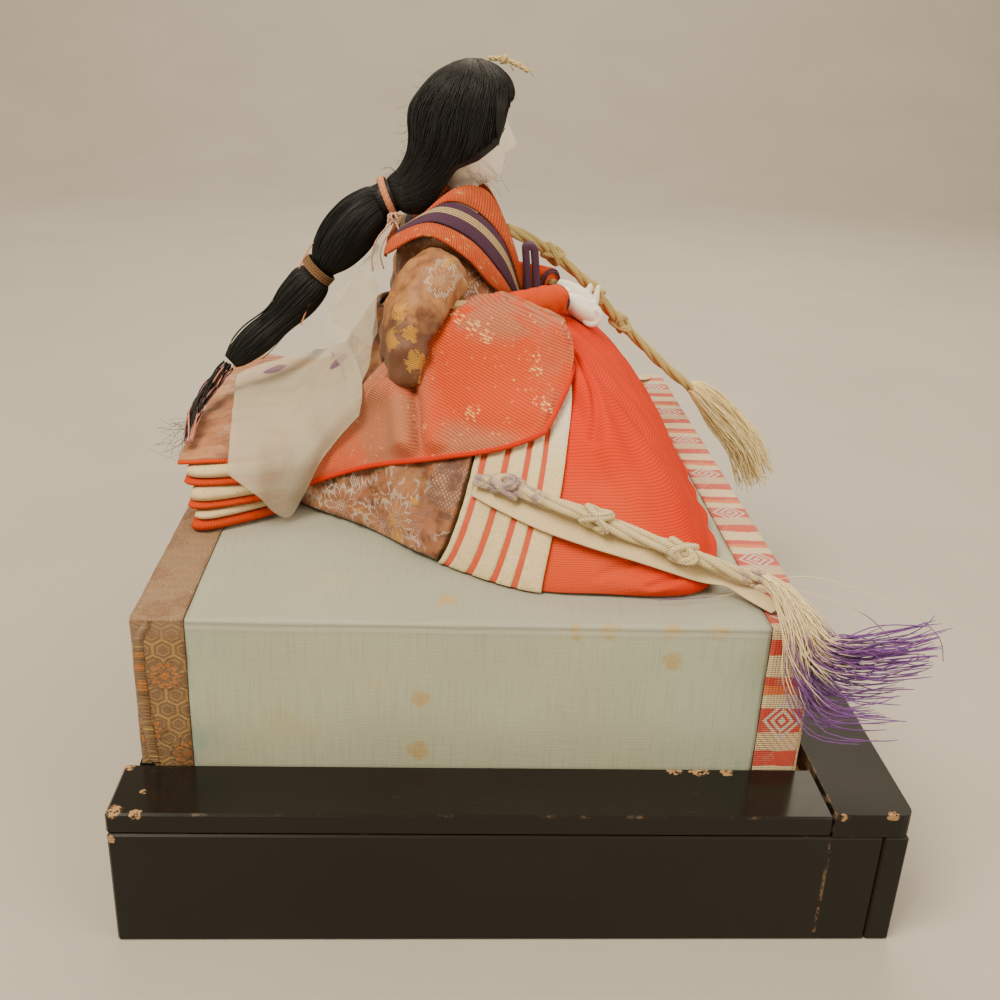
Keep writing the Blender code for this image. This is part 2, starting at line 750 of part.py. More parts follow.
def build_torso():
    rings = []
    for rise, shift, depth, width in TORSO_SHARES:
        centre = Vector((TORSO_CENTRE_X + shift * TORSO_HALF_DEPTH, 0,
                         TORSO_BOTTOM_Z + rise * TORSO_HEIGHT))
        rings.append(ellipse_ring(centre, Vector((1, 0, 0)), Vector((0, 1, 0)),
                                  depth * TORSO_HALF_DEPTH, width * TORSO_HALF_WIDTH))
    jacket = loft("jacket_body", rings, "rose_brocade")
    cut(jacket, cutter_like(bpy.data.objects["body_core"], GAP, with_cuts=False))
    cut(jacket, cylinder("neck_room", NECK_X, 0, NECK_BOTTOM - GAP, TORSO_TOP_Z + CUT_OVERRUN,
                         NECK_RADIUS + NECK_CLEARANCE, "straw"))
    for side, name in ((-1, "right"), (1, "left")):
        sleeve = build_wide_sleeve(name, side)
        upper = build_upper_sleeve(name, side)
        arm = build_arm_core(name, side)
        cut(upper, lap_room())
        cut(upper, cutter_like(sleeve, 2 * GAP))
        cut(upper, cutter_like(jacket, GAP, with_cuts=False))
        room = cutter_like(arm, GAP)
        cut(upper, room)
        cut(sleeve, room)
        cut(jacket, room)
        build_sleeve_lining(name, side, room)


def build_upper_sleeve(name, side):
    """Brocade sleeve from the shoulder to the elbow, padded."""
    shoulder = Vector((TORSO_CENTRE_X - ARM_RADIUS / 3, side * ARM_START_Y, ARM_START_Z))
    centres = []
    radii = []
    for x_share, y_share, z_share, radius_share in ARM_SHARES:
        centres.append(shoulder + Vector((x_share, -side * y_share, z_share)) * ARM_LENGTH)
        radii.append(radius_share * ARM_RADIUS)
    return loft("upper_sleeve_" + name, path_rings(centres, radii, 16, width_axis=(1, 0, 0)),
                "rose_brocade")


def sleeve_place(side, column, row, offset):
    """Point of the wide sleeve: column 0 at its mouth and 1 at its back tip, row 0 at its lower edge."""
    low_turn, low_rise = curve_point(SLEEVE_LOW_SHARES, column)
    top_turn, top_rise = curve_point(SLEEVE_TOP_SHARES, column)
    turn = mix(low_turn, top_turn, row)
    lean = mix(lean_of(low_rise), lean_of(top_rise), row)
    return lap_point(side * turn, lean, offset)


def sleeve_outer_offset(column, row):
    roll = SLEEVE_ROLL * curve_point(SLEEVE_ROLL_SHARES, column)[0]
    return SLEEVE_INNER + SLEEVE_THICKNESS + roll * smooth_step((row - 0.40) / 0.45)


def build_wide_sleeve(name, side):
    """Wide sleeve that lies on the lap, with the roll of the forearm along its top."""
    mouth_share = 0.045
    sleeve = shell("wide_sleeve_" + name, 14, 9,
                   lambda c, r: sleeve_place(side, mix(mouth_share, 1, c), r, SLEEVE_INNER),
                   lambda c, r: sleeve_place(side, mix(mouth_share, 1, c), r,
                                             sleeve_outer_offset(mix(mouth_share, 1, c), r)),
                   "rib_cloth")
    return sleeve


def arm_point(side, share):
    """Point of the arm's middle line from the shoulder through the elbow to the wrist."""
    route = [(x, side * y, z) for x, y, z in (
        (TORSO_CENTRE_X - ARM_RADIUS / 2, ARM_START_Y - ARM_RADIUS * 0.3, ARM_START_Z - ARM_RADIUS / 3),
        (TORSO_CENTRE_X - ARM_RADIUS / 2, ARM_START_Y + ARM_RADIUS, WAIST_Z + ARM_RADIUS),
        (TORSO_CENTRE_X, ARM_START_Y + ARM_RADIUS * 1.3, ARM_LEVEL_Z + ARM_RADIUS * 0.25),
        (WRIST_X - HAND_LENGTH, ARM_START_Y + ARM_RADIUS * 0.3, ARM_LEVEL_Z + ARM_RADIUS * 0.1),
        (WRIST_X - ARM_CORE_RADIUS * 0.6, WRIST_Y + ARM_CORE_RADIUS * 0.3, WRIST_Z + ARM_CORE_RADIUS * 0.2),
    )]
    return Vector(curve_point(route, share))


def build_arm_core(name, side):
    """Paper-wrapped wire from the shoulder to the wrist."""
    steps = 12
    points = [arm_point(side, i / steps) for i in range(steps + 1)]
    rings = path_rings(points, [ARM_CORE_RADIUS] * len(points), 8, width_axis=(0, 0, 1))
    return loft("arm_core_" + name, rings, "straw")


CUFF_SHARES = [(0.78, 0.70), (0.84, 0.95), (0.90, 1.00), (0.96, 0.92)]


def build_sleeve_lining(name, side, room):
    """Red inner sleeve round the wrist, drawn over the wire."""
    points = [arm_point(side, share) for share, radius in CUFF_SHARES]
    radii = [radius * CUFF_RADIUS for share, radius in CUFF_SHARES]
    lining = loft("sleeve_lining_" + name, path_rings(points, radii, 16, 0.85, (0, 0, 1)), "red_silk")
    cut(lining, room)


HAND_SHARES = [(0.00, 0.00, 0.00, 0.42), (0.20, 0.06, -0.06, 0.62), (0.48, 0.14, -0.15, 0.74),
               (0.76, 0.22, -0.27, 0.68),
               (0.95, 0.28, -0.41, 0.40)]


def build_hands():
    for side, name in ((-1, "right"), (1, "left")):
        wrist = Vector((WRIST_X, side * WRIST_Y, WRIST_Z))
        centres = []
        radii = []
        for x_share, y_share, z_share, radius_share in HAND_SHARES:
            centres.append(wrist + Vector((x_share, -side * y_share, z_share)) * HAND_LENGTH)
            radii.append(radius_share * HAND_WIDTH)
        hand = loft("hand_" + name, path_rings(centres, radii, 14, 0.85), "gofun")
        foot = centres[3]
        thumb_points = [foot + Vector((0, 0, 0)), foot + Vector((0.1, 0, 0.6)) * FINGER_LENGTH,
                        foot + Vector((0.12, 0, 1.2)) * FINGER_LENGTH]
        thumb = loft("thumb_" + name,
                     path_rings(thumb_points, [FINGER_RADIUS * s for s in (1.4, 1.1, 0.7)], 8), "gofun")
        cut(hand, thumb, "UNION")


# Collars

COLLAR_SHARES = {
    "neck": [(-0.46, 0.00, 0.62), (-0.40, -0.28, 0.66), (-0.10, -0.36, 0.90), (0.28, -0.30, 0.83),
             (0.58, -0.18, 0.48),
             (0.72, -0.05, 0.18)],
    "upper": [(-0.60, 0.00, 0.58), (-0.56, -0.38, 0.64), (-0.22, -0.50, 0.80), (0.12, -0.46, 0.74),
              (0.46, -0.33, 0.50),
              (0.70, -0.07, 0.06)],
    "lower": [(-0.80, 0.00, 0.44), (-0.74, -0.54, 0.56), (-0.36, -0.72, 0.67), (0.08, -0.66, 0.54),
              (0.42, -0.50, 0.28),
              (0.62, -0.22, 0.04)],
    "outer": [(-0.90, 0.00, 0.31), (-0.84, -0.70, 0.42), (-0.42, -0.91, 0.59), (0.02, -0.88, 0.43),
              (0.32, -0.69, 0.19),
              (0.57, -0.42, 0.045)],
}


def collar_place(line, column):
    """Point of one collar line: column 0 at its right front end, 0.5 at the nape, 1 at its left front end."""
    across = 2 * column - 1
    side = 1 if across < 0 else -1
    points = COLLAR_SHARES[line]
    before = (points[1][0], -points[1][1], points[1][2])
    share = (1 + abs(across) * (len(points) - 1)) / len(points)
    x_share, y_share, z_share = curve_point([before] + points, share)
    y = side * y_share * COLLAR_SPREAD
    return Vector((NECK_X + x_share * COLLAR_SPREAD, y, TORSO_BOTTOM_Z + z_share * COLLAR_HEIGHT))


def collar_band(name, top_line, low_line, material_name):
    """Band between two collar lines, with a gap kept along both edges."""
    def place(column, row, offset):
        start = collar_place(top_line, column)
        end = collar_place(low_line, column)
        down = end - start
        reach = down.length
        span = mix(GAP, reach - GAP, row) / reach
        along = collar_place(top_line, min(column + 0.01, 1)) - collar_place(top_line,
                                                                             max(column - 0.01, 0))
        normal = along.cross(down).normalized()
        return start + down * span + normal * offset

    half = COLLAR_THICKNESS / 2
    shell(name, 26, 1, lambda c, r: place(c, r, -half), lambda c, r: place(c, r, half), material_name)


def build_collars():
    collar_band("inner_collar", "neck", "upper", "red_silk")
    collar_band("purple_band", "upper", "lower", "purple_cloth")
    collar_band("collar_edging", "lower", "outer", "rib_cloth")
    build_purple_loop()


def build_purple_loop():
    """Narrow upright loop of cloth where the collars cross."""
    foot = collar_place("upper", 0)
    lean = 0.12
    straight = LOOP_HEIGHT / 2 - LOOP_THICKNESS * 1.5
    centre = Vector((foot.x + LOOP_THICKNESS * 2.1, 0, TORSO_BOTTOM_Z + LOOP_HEIGHT / 2))
    rings = []
    count = 20
    for i in range(count):
        angle = 2 * math.pi * i / count
        outward = Vector((math.cos(angle), 0, math.sin(angle)))
        middle = centre + outward * LOOP_THICKNESS + Vector((0, 0,
                                                             math.copysign(straight,
                                                                           math.sin(angle + 0.01))))
        middle.x -= lean * (middle.z - centre.z)
        ring = []
        for depth, width in ((-0.5, -0.5), (0.5, -0.5), (0.5, 0.5), (-0.5, 0.5)):
            ring.append(middle + outward * depth * LOOP_THICKNESS + Vector((0, width * LOOP_WIDTH, 0)))
        rings.append(ring)
    loop = loft("purple_loop", rings, "purple_cloth", closed=True)
    loop.data.shade_flat()


# Head and hair

HEAD_SHARES = [
    (-0.02, 0.15, -0.24, 0.24), (0.03, 0.30, -0.28, 0.46), (0.11, 0.385, -0.34, 0.68),
    (0.22, 0.415, -0.42, 0.82),
    (0.35, 0.43, -0.50, 0.94), (0.50, 0.42, -0.53, 1.00), (0.66, 0.37, -0.52, 0.98),
    (0.80, 0.26, -0.44, 0.83),
    (0.89, 0.10, -0.30, 0.52), (0.93, -0.04, -0.18, 0.16),
]


def build_head():
    """Head and neck in one, its nose pushed out of the front."""
    rings = []
    for z, radius in ((NECK_BOTTOM, NECK_RADIUS), (mix(NECK_BOTTOM, CHIN_Z, 0.6), NECK_RADIUS * 0.94),
                      (CHIN_Z - HEAD_HEIGHT * 0.045, NECK_RADIUS * 0.94)):
        rings.append(ellipse_ring(Vector((NECK_X, 0, z)), Vector((1, 0, 0)), Vector((0, 1, 0)), radius,
                                  radius))
    for rise, front, back, width in HEAD_SHARES:
        low_x = NECK_X + back * HEAD_DEPTH
        high_x = NECK_X + front * HEAD_DEPTH
        centre = Vector(((low_x + high_x) / 2, 0, CHIN_Z + rise * HEAD_HEIGHT))
        ring = ellipse_ring(centre, Vector((1, 0, 0)), Vector((0, 1, 0)), (high_x - low_x) / 2,
                            width * HEAD_WIDTH / 2)
        nose = Vector((high_x, 0, CHIN_Z + 0.33 * HEAD_HEIGHT))
        for point in ring:
            reach = (point - nose).length / NOSE_SIZE
            point.x += NOSE_REACH * math.exp(-reach * reach)
        rings.append(ring)
    head = loft("head", rings, "gofun")
    cut(head, cylinder("head_bore", NECK_X, 0, NECK_BOTTOM - CUT_OVERRUN, NECK_BOTTOM + PEG_IN_HEAD + GAP,
                       PEG_RADIUS + GAP, "gofun"))
    cylinder("neck_peg", NECK_X, 0, PEG_BOTTOM_Z, NECK_BOTTOM + PEG_IN_HEAD, PEG_RADIUS, "bare_wood", 16)
    return head


HAIR_SHARES = [
    (-0.015, 0.985, 0, 0.06), (-0.03, 0.95, 0, 0.22), (-0.03, 0.85, 3, 0.345), (-0.03, 0.70, 6, 0.405),
    (-0.04, 0.515, 12, 0.430), (-0.075, 0.33, 20, 0.425), (-0.16, 0.155, 32, 0.364),
    (-0.29, 0.015, 45, 0.282), (-0.43, -0.085, 55, 0.214), (-0.545, -0.125, 62, 0.170),
    (-0.60, -0.128, 65, 0.135),
]
FACE_WINDOW_SHARES = [
    (0.40, 0.715), (0.32, 0.50), (0.26, 0.33), (0.10, 0.21), (-0.07, 0.135), (-0.19, -0.05),
    (-0.26, -0.175),
    (-0.32, -0.33), (0.70, -0.33), (0.70, 0.715),
]


def build_hair(head):
    """Wig: a hood of hair that runs into a bundle at the nape."""
    rings = []
    for x_share, z_share, tilt, radius_share in HAIR_SHARES:
        angle = math.radians(tilt)
        centre = Vector((NECK_X + x_share * HEAD_HEIGHT, 0, CHIN_Z + z_share * HEAD_HEIGHT))
        forward = Vector((math.cos(angle), 0, -math.sin(angle)))
        radius = radius_share * HEAD_HEIGHT
        rings.append(ellipse_ring(centre, forward, Vector((0, 1, 0)), radius, radius * 0.96, 24))
    hair = loft("hair", rings, "hair")
    window = []
    for y in (-HEAD_WIDTH, HEAD_WIDTH):
        window.append([Vector((NECK_X + x * HEAD_HEIGHT, y, CHIN_Z + z * HEAD_HEIGHT)) for x,
                       z in FACE_WINDOW_SHARES])
    cut(hair, loft("face_window", window, "hair"))
    cut(hair, cutter_like(head, GAP))
    build_ornament(hair)


def build_ornament(hair):
    """Short knotted twist of straw on the crown."""
    start = Vector((NECK_X + HEAD_HEIGHT * 0.16, 0, CHIN_Z + HEAD_HEIGHT * 0.955))
    shares = [(0.0, 0.0, 0.7), (0.2, 0.05, 1.0), (0.4, 0.08, 1.8), (0.55, 0.05, 1.0), (0.8, -0.10, 0.8),
              (1.0, -0.20, 0.5)]
    centres = [start + Vector((x, 0, z)) * ORNAMENT_LENGTH for x, z, radius in shares]
    radii = [radius * ORNAMENT_RADIUS for x, z, radius in shares]
    ornament = loft("hair_ornament", path_rings(centres, radii, 10), "yellow_cord")
    cut(ornament, cutter_like(hair, GAP))


def ring_band(name, centre, along, radius, band_radius, material_name):
    """Closed tie round a bundle of hair."""
    across = Vector((0, 1, 0))
    other = along.cross(across).normalized()
    rings = []
    count = 18
    for i in range(count):
        angle = 2 * math.pi * i / count
        outward = other * math.cos(angle) + across * math.sin(angle)
        rings.append(ellipse_ring(centre + outward * radius, outward, along, band_radius, band_radius, 6))
    return loft(name, rings, material_name, closed=True)


TAIL_UPPER_SHARES = [
    (-0.012, 0.0, -0.005, 0.42), (0.00, 0.0, 0.00, 0.58), (0.045, 0.0, 0.020, 0.64),
    (0.075, -0.004, 0.036, 0.78),
    (0.145, -0.008, 0.088, 0.96), (0.22, -0.012, 0.157, 1.0), (0.29, -0.015, 0.226, 0.84),
    (0.335, -0.018, 0.270, 0.56),
    (0.356, -0.019, 0.288, 0.42),
]
TAIL_LOWER_SHARES = [
    (0.364, -0.020, 0.295, 0.42), (0.40, -0.023, 0.335, 0.74), (0.475, -0.038, 0.410, 0.76),
    (0.57, -0.060, 0.49, 0.58),
    (0.69, -0.090, 0.571, 0.62), (0.78, -0.114, 0.628, 0.48), (0.82, -0.130, 0.655, 0.30),
]
TAIL_END_SHARES = [
    (0.834, -0.136, 0.668, 0.24), (0.895, -0.225, 0.722, 0.25), (0.940, -0.41, 0.765, 0.23),
    (0.930, -0.635, 0.782, 0.20),
    (0.908, -0.85, 0.805, 0.12),
]


def tail_point(x_share, y_share, z_share):
    return Vector((TIE_X - x_share * TAIL_REACH, y_share * TAIL_REACH, TIE_Z - z_share * TAIL_DROP))


def build_tail():
    """Long hair piece behind the doll, in three lengths with ties between them."""
    for name, table in (("tail_upper", TAIL_UPPER_SHARES), ("tail_lower", TAIL_LOWER_SHARES),
                        ("tail_end", TAIL_END_SHARES)):
        centres = [tail_point(x, y, z) for x, y, z, radius in table]
        radii = [radius * TAIL_RADIUS for x, y, z, radius in table]
        loft(name, path_rings(centres, radii, 16), "hair")
    along = Vector((-math.sin(math.radians(65)), 0, -math.cos(math.radians(65))))
    ring_band("tie_1", Vector((TIE_X, 0, TIE_Z)), along, TIE_RING_RADIUS, TIE_BAND_RADIUS, "paper_tie")
    second = (tail_point(*TAIL_UPPER_SHARES[-1][:3]) + tail_point(*TAIL_LOWER_SHARES[0][:3])) / 2
    along = (tail_point(*TAIL_LOWER_SHARES[0][:3]) - tail_point(*TAIL_UPPER_SHARES[-1][:3])).normalized()
    inner = TAIL_RADIUS * TAIL_LOWER_SHARES[0][3]
    ring_band("tie_2", second, along, inner + GAP + TIE_BAND_RADIUS * 1.2, TIE_BAND_RADIUS * 1.1,
              "gold_brocade")


# Gauze train

# Each row runs from the near side to the far side, the first at the waist
MO_SHARES = [
    [(-0.49, -0.53, 0.59), (-0.48, -0.50, 0.72), (-0.50, -0.38, 0.80), (-0.555, -0.22, 0.86)],
    [(-0.60, -0.53, 0.35), (-0.59, -0.50, 0.53), (-0.605, -0.31, 0.68), (-0.617, -0.05, 0.75)],
    [(-0.711, -0.58, 0.02), (-0.69, -0.56, 0.32), (-0.70, -0.345, 0.53), (-0.728, 0.15, 0.615)],
    [(-0.80, -0.67, 0.20), (-0.80, -0.59, 0.42), (-0.83, -0.31, 0.50), (-0.90, 0.245, 0.485)],
    [(-0.885, -0.67, 0.335), (-0.895, -0.55, 0.44), (-0.93, -0.28, 0.475), (-0.985, 0.13, 0.470)],
]
MO_WAIST_SHARES = [
    [(-0.450, -0.13, 1.34), (-0.452, -0.05, 1.36), (-0.455, 0.04, 1.35)],
    [(-0.450, -0.20, 1.20), (-0.475, -0.12, 1.21), (-0.520, -0.06, 1.23)],
    [(-0.447, -0.295, 0.96), (-0.535, -0.15, 0.97), (-0.615, -0.08, 1.03)],
    [(-0.460, -0.335, 0.885), (-0.548, -0.17, 0.90), (-0.625, -0.10, 0.93)],
]


def grid_point(table, column, row):
    """Point on a smooth sheet through a table of rows of places."""
    return curve_point([curve_point(line, column) for line in table], row)


def build_gauze():
    for name, table, columns, rows in (("mo_panel", MO_SHARES, 9, 9), ("mo_waist", MO_WAIST_SHARES, 5, 7)):
        def middle(column, row, table=table):
            x, y, z = grid_point(table, column, row)
            return Vector((x * MO_REACH, y * MO_REACH, FLOOR_Z + z * LAP_HEIGHT))

        def place(column, row, offset):
            step = 0.02
            along = middle(min(column + step, 1), row) - middle(max(column - step, 0), row)
            down = middle(column, min(row + step, 1)) - middle(column, max(row - step, 0))
            return middle(column, row) + along.cross(down).normalized() * offset

        half = GAUZE_THICKNESS / 2
        shell(name, columns, rows, lambda c, r: place(c, r, -half), lambda c, r: place(c, r, half), "gauze")


# Ribbons, cords and tassels

# Routes of the two braided cords, chosen by hand, from the sleeve or collar to the tassel
CORD_ROUTES = {
    "near": [
        (-0.0120, -0.0856, 0.1164), (-0.0030, -0.0915, 0.1170), (0.0072, -0.0976, 0.1153),
        (0.0205, -0.1010, 0.1120),
        (0.0317, -0.1036, 0.1082), (0.0439, -0.1062, 0.1048), (0.0540, -0.1066, 0.1012),
        (0.0640, -0.1060, 0.0972),
        (0.0720, -0.1055, 0.0955),
    ],
    "far": [
        (-0.0012, 0.0114, 0.1744), (0.0105, 0.0232, 0.1680), (0.0237, 0.0320, 0.1585),
        (0.0350, 0.0410, 0.1480),
        (0.0470, 0.0500, 0.1345), (0.0590, 0.0570, 0.1230), (0.0720, 0.0640, 0.1110),
        (0.0850, 0.0700, 0.1005),
    ],
}
RIBBON_LAP_SHARES = [(0.540, 0.345), (0.513, 0.322), (0.470, 0.280), (0.421, 0.240), (0.372, 0.200),
                     (0.324, 0.136)]
RIBBON_FREE_SHARES = [(0.335, 0.830, 0.06), (0.385, 0.870, 0.020), (0.410, 0.890, 0.012)]
RIBBON_EDGE_SHARE = 0.4
TASSEL_SHARES = {
    "near": [(0.00, 0.00, 0.00, 1.0, 1.0), (0.15, -0.01, 0.01, 1.2, 1.3), (0.33, -0.03, 0.00, 1.9, 1.8),
             (0.62, -0.07, -0.26, 3.8, 2.4), (0.98, -0.12, -0.52, 5.6, 2.8)],
    "far": [(0.00, 0.00, 0.00, 1.0, 1.0), (0.10, 0.01, -0.05, 2.0, 1.9), (0.30, 0.02, -0.24, 2.9, 2.5),
            (0.55, 0.04, -0.52, 3.2, 2.6), (0.72, 0.06, -0.86, 3.5, 2.7)],
}


def build_cords():
    points_per_length = 24
    for name, colour in (("near", "cream_cord"), ("far", "yellow_cord")):
        route = CORD_ROUTES[name]
        points = [Vector(curve_point(route, i / points_per_length)) for i in range(points_per_length + 1)]
        data = bpy.data.curves.new("cord_" + name, "CURVE")
        data.dimensions = "3D"
        data.bevel_depth = CORD_DIAMETER / 2
        data.bevel_resolution = 2
        data.use_fill_caps = True
        spline = data.splines.new("POLY")
        spline.points.add(len(points) - 1)
        for slot, point in zip(spline.points, points):
            slot.co = (*point, 1)
        made = bpy.data.objects.new("cord_" + name, data)
        bpy.context.collection.objects.link(made)
        data.materials.append(material(colour))
        along = (points[-1] - points[-2]).normalized()
        build_tassel(name, points[-1] + along * GAP, along, colour)


def build_tassel(name, start, cord_end, colour):
    """Bundle of loose threads that widens from the cord's end, whose direction its first ring keeps."""
    rings = []
    table = TASSEL_SHARES[name]
    centres = [start + Vector(row[:3]) * TASSEL_LENGTH for row in table]
    for i, row in enumerate(table):
        along = (centres[min(i + 1, len(table) - 1)] - centres[max(i - 1,
                                                                   0)]).normalized() if i else cord_end
        across = Vector((0, 1, 0))
        across = (across - along * along.dot(across)).normalized()
        other = along.cross(across)
        rings.append(ellipse_ring(centres[i], other, across, row[3] * TASSEL_NECK_RADIUS,
                                  row[4] * TASSEL_NECK_RADIUS, 16))
    loft("tassel_" + name, rings, colour)


def build_ribbons():
    """Flat ribbons that run down the lap to the front edge of the platform."""
    for side, name in ((-1, "near"), (1, "far")):
        path = []
        for turn, lean in RIBBON_LAP_SHARES:
            low = lap_point(side * turn, lean, SKIRT_OUTER + GAP)
            high = lap_point(side * turn, lean, SKIRT_OUTER + GAP + RIBBON_THICKNESS)
            path.append((low, (high - low).normalized()))
        for x_share, y_share, rise in RIBBON_FREE_SHARES:
            spot = Vector((x_share * PLATFORM_DEPTH, side * y_share * PLATFORM_WIDTH / 2,
                           FLOOR_Z + rise * LAP_HEIGHT))
            path.append((spot, Vector((0, 0, 1))))

        def place(column, row, offset, path=path, side=side):
            centre = Vector(curve_point([tuple(p) for p, n in path], row))
            normal = Vector(curve_point([tuple(n) for p, n in path], row)).normalized()
            ahead = Vector(curve_point([tuple(p) for p, n in path], min(row + 0.02, 1)))
            behind = Vector(curve_point([tuple(p) for p, n in path], max(row - 0.02, 0)))
            across = (ahead - behind).cross(normal).normalized() * side
            return centre - across * (RIBBON_EDGE_SHARE + column) * RIBBON_WIDTH + normal * offset

        shell("ribbon_" + name, 1, 24, lambda c, r: place(c, r, 0), lambda c,
              r: place(c, r, RIBBON_THICKNESS),
              "cream_crepe")


def main():
    clear_scene()
    build_stand()
    build_platform()
    build_lap()
    build_train()
    build_torso()
    build_hands()
    build_collars()
    build_hair(build_head())
    build_tail()
    build_gauze()
    build_cords()
    build_ribbons()


main()
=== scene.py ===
"""Looks of a seated court doll on its lacquered stand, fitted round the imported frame.

Metres, +Z up. +X is the doll's front and +Y its left. Every place is in the frame's own coordinates.
"""
import math

import bpy
import numpy as np
from mathutils import Matrix, Vector


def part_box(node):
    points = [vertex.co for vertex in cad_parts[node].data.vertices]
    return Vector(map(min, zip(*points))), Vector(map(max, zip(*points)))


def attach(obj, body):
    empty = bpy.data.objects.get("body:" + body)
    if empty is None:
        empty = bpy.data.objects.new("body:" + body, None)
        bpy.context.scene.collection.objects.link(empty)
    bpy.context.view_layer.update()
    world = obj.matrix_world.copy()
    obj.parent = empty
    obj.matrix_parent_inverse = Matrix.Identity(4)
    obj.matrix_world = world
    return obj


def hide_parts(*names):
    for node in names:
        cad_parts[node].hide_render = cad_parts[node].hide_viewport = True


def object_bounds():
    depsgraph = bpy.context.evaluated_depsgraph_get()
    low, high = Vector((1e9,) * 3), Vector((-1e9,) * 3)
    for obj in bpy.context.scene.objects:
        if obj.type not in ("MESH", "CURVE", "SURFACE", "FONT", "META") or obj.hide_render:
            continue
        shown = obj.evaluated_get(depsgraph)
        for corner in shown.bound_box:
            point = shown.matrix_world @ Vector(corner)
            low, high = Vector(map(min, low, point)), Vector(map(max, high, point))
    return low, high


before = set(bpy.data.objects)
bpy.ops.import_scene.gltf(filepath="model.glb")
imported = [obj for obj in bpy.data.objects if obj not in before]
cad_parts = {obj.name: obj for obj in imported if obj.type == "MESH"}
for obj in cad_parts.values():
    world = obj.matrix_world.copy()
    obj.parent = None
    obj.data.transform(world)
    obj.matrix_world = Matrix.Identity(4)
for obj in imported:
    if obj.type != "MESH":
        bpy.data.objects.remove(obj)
CAD_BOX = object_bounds()

MM = 0.001
GAP = 0.3 * MM
ROUND = 2 * math.pi

# Lap, as the frame's robes lie on it
FLOOR_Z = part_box("hakama")[0].z
SEAT_CENTRE_X = -15 * MM
SEAT_DEPTH = 79 * MM
SEAT_HALF_WIDTH = 106 * MM
LAP_HEIGHT = 58 * MM
LAP_FULLNESS = 1.35
WAIST_CENTRE_X = -12 * MM
WAIST_HALF_DEPTH = 31 * MM
WAIST_HALF_WIDTH = 27 * MM
HAKAMA_THICKNESS = 1.2 * MM
SKIRT_THICKNESS = 2.1 * MM
SKIRT_INNER = HAKAMA_THICKNESS + 2 * GAP
SKIRT_OUTER = SKIRT_INNER + SKIRT_THICKNESS
SLEEVE_INNER = SKIRT_OUTER + GAP
SLEEVE_THICKNESS = 1.6 * MM
SLEEVE_ROLL = 8.5 * MM
LAP_OUTLINE = np.array([
    (1.00, 0.00), (0.99, 0.30), (0.97, 0.60), (0.93, 0.88), (0.80, 0.995), (0.50, 1.00), (0.22, 0.975),
    (-0.10, 0.80), (-0.38, 0.58), (-0.60, 0.45), (-0.68, 0.37), (-0.63, 0.22), (-0.57, 0.00),
])

# Torso, collars and head
TORSO_BOTTOM_Z = FLOOR_Z + LAP_HEIGHT + SKIRT_OUTER + GAP
NECK_X = -16.5 * MM
NECK_RADIUS = 5.2 * MM
COLLAR_SPREAD = 30 * MM
COLLAR_HEIGHT = 42.5 * MM
COLLAR_THICKNESS = 1.2 * MM
HEAD_HEIGHT = 40 * MM
HEAD_DEPTH = 29 * MM
HEAD_WIDTH = 27 * MM
NECK_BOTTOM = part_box("head")[0].z
CHIN_Z = NECK_BOTTOM + 20.7 * MM
TIE_X = -42.4 * MM
TIE_Z = 185.2 * MM
TAIL_REACH = 66 * MM
TAIL_DROP = 87 * MM
TAIL_RADIUS = 8.8 * MM


# Numbers

def mix(first, second, share):
    return first + (second - first) * share


def smooth_step(value):
    value = np.clip(value, 0, 1)
    return value * value * (3 - 2 * value)


def hill(value, width):
    return np.exp(-(value / width) ** 2)


def curve_through(points, share):
    """Places on a smooth curve through rows of numbers, share 0 at its start and 1 at its end."""
    points = np.asarray(points, float)
    last = len(points) - 1
    place = np.clip(share, 0, 1) * last
    start = np.minimum(place.astype(int), last - 1)
    t = (place - start)[..., None]
    before, here = points[np.maximum(start - 1, 0)], points[start]
    ahead, after = points[start + 1], points[np.minimum(start + 2, last)]
    bend = (ahead - before) / 2 * (t**3 - 2 * t**2 + t) + (after - here) / 2 * (t**3 - t**2)
    return here * (2 * t**3 - 3 * t**2 + 1) + ahead * (3 * t**2 - 2 * t**3) + bend


def ripple(points, wavelength, seed):
    """Smooth unevenness of about -1 to 1 over an array of places."""
    draw = np.random.default_rng(seed)
    total = 0
    for _ in range(7):
        direction = draw.normal(size=3)
        direction *= ROUND / np.linalg.norm(direction) / wavelength / draw.uniform(0.7, 1.5)
        total = total + np.sin(points @ direction + draw.uniform(0, ROUND))
    return total / 3.2


def steps(count):
    return np.linspace(0, 1, count)


def length_of(line):
    return float(np.linalg.norm(np.diff(line, axis=0), axis=1).sum())


def lengths_along(line):
    """Length from a line's start to each of its points."""
    return np.concatenate([[0], np.cumsum(np.linalg.norm(np.diff(line, axis=0), axis=1))])


def unit(vectors):
    return vectors / np.maximum(np.linalg.norm(vectors, axis=-1, keepdims=True), 1e-12)


def shares(columns, rows):
    """Column and row shares of a grid."""
    return np.meshgrid(steps(columns), steps(rows), indexing="ij")


def normals_of(grid):
    return unit(np.cross(np.gradient(grid, axis=0), np.gradient(grid, axis=1)))


def trace(route, count):
    """Places on a smooth curve through a route in millimetres."""
    return curve_through(np.array(route) * MM, steps(count))


def around(side, other, angle):
    """Directions at an angle round a path, or at an array of angles."""
    return side * np.cos(angle)[:, None] + other * np.sin(angle)[:, None]


def frames_along(path):
    """Two directions square to a path at each of its points, which turn as little as they can."""
    along = unit(np.gradient(path, axis=0))
    start = np.array((0, 1.0, 0)) if abs(along[0][1]) < 0.9 else np.array((0, 0, 1.0))
    side = [unit(start - along[0] * along[0].dot(start))]
    for direction in along[1:]:
        side.append(unit(side[-1] - direction * direction.dot(side[-1])))
    side = np.array(side)
    return side, np.cross(along, side)


# Meshes

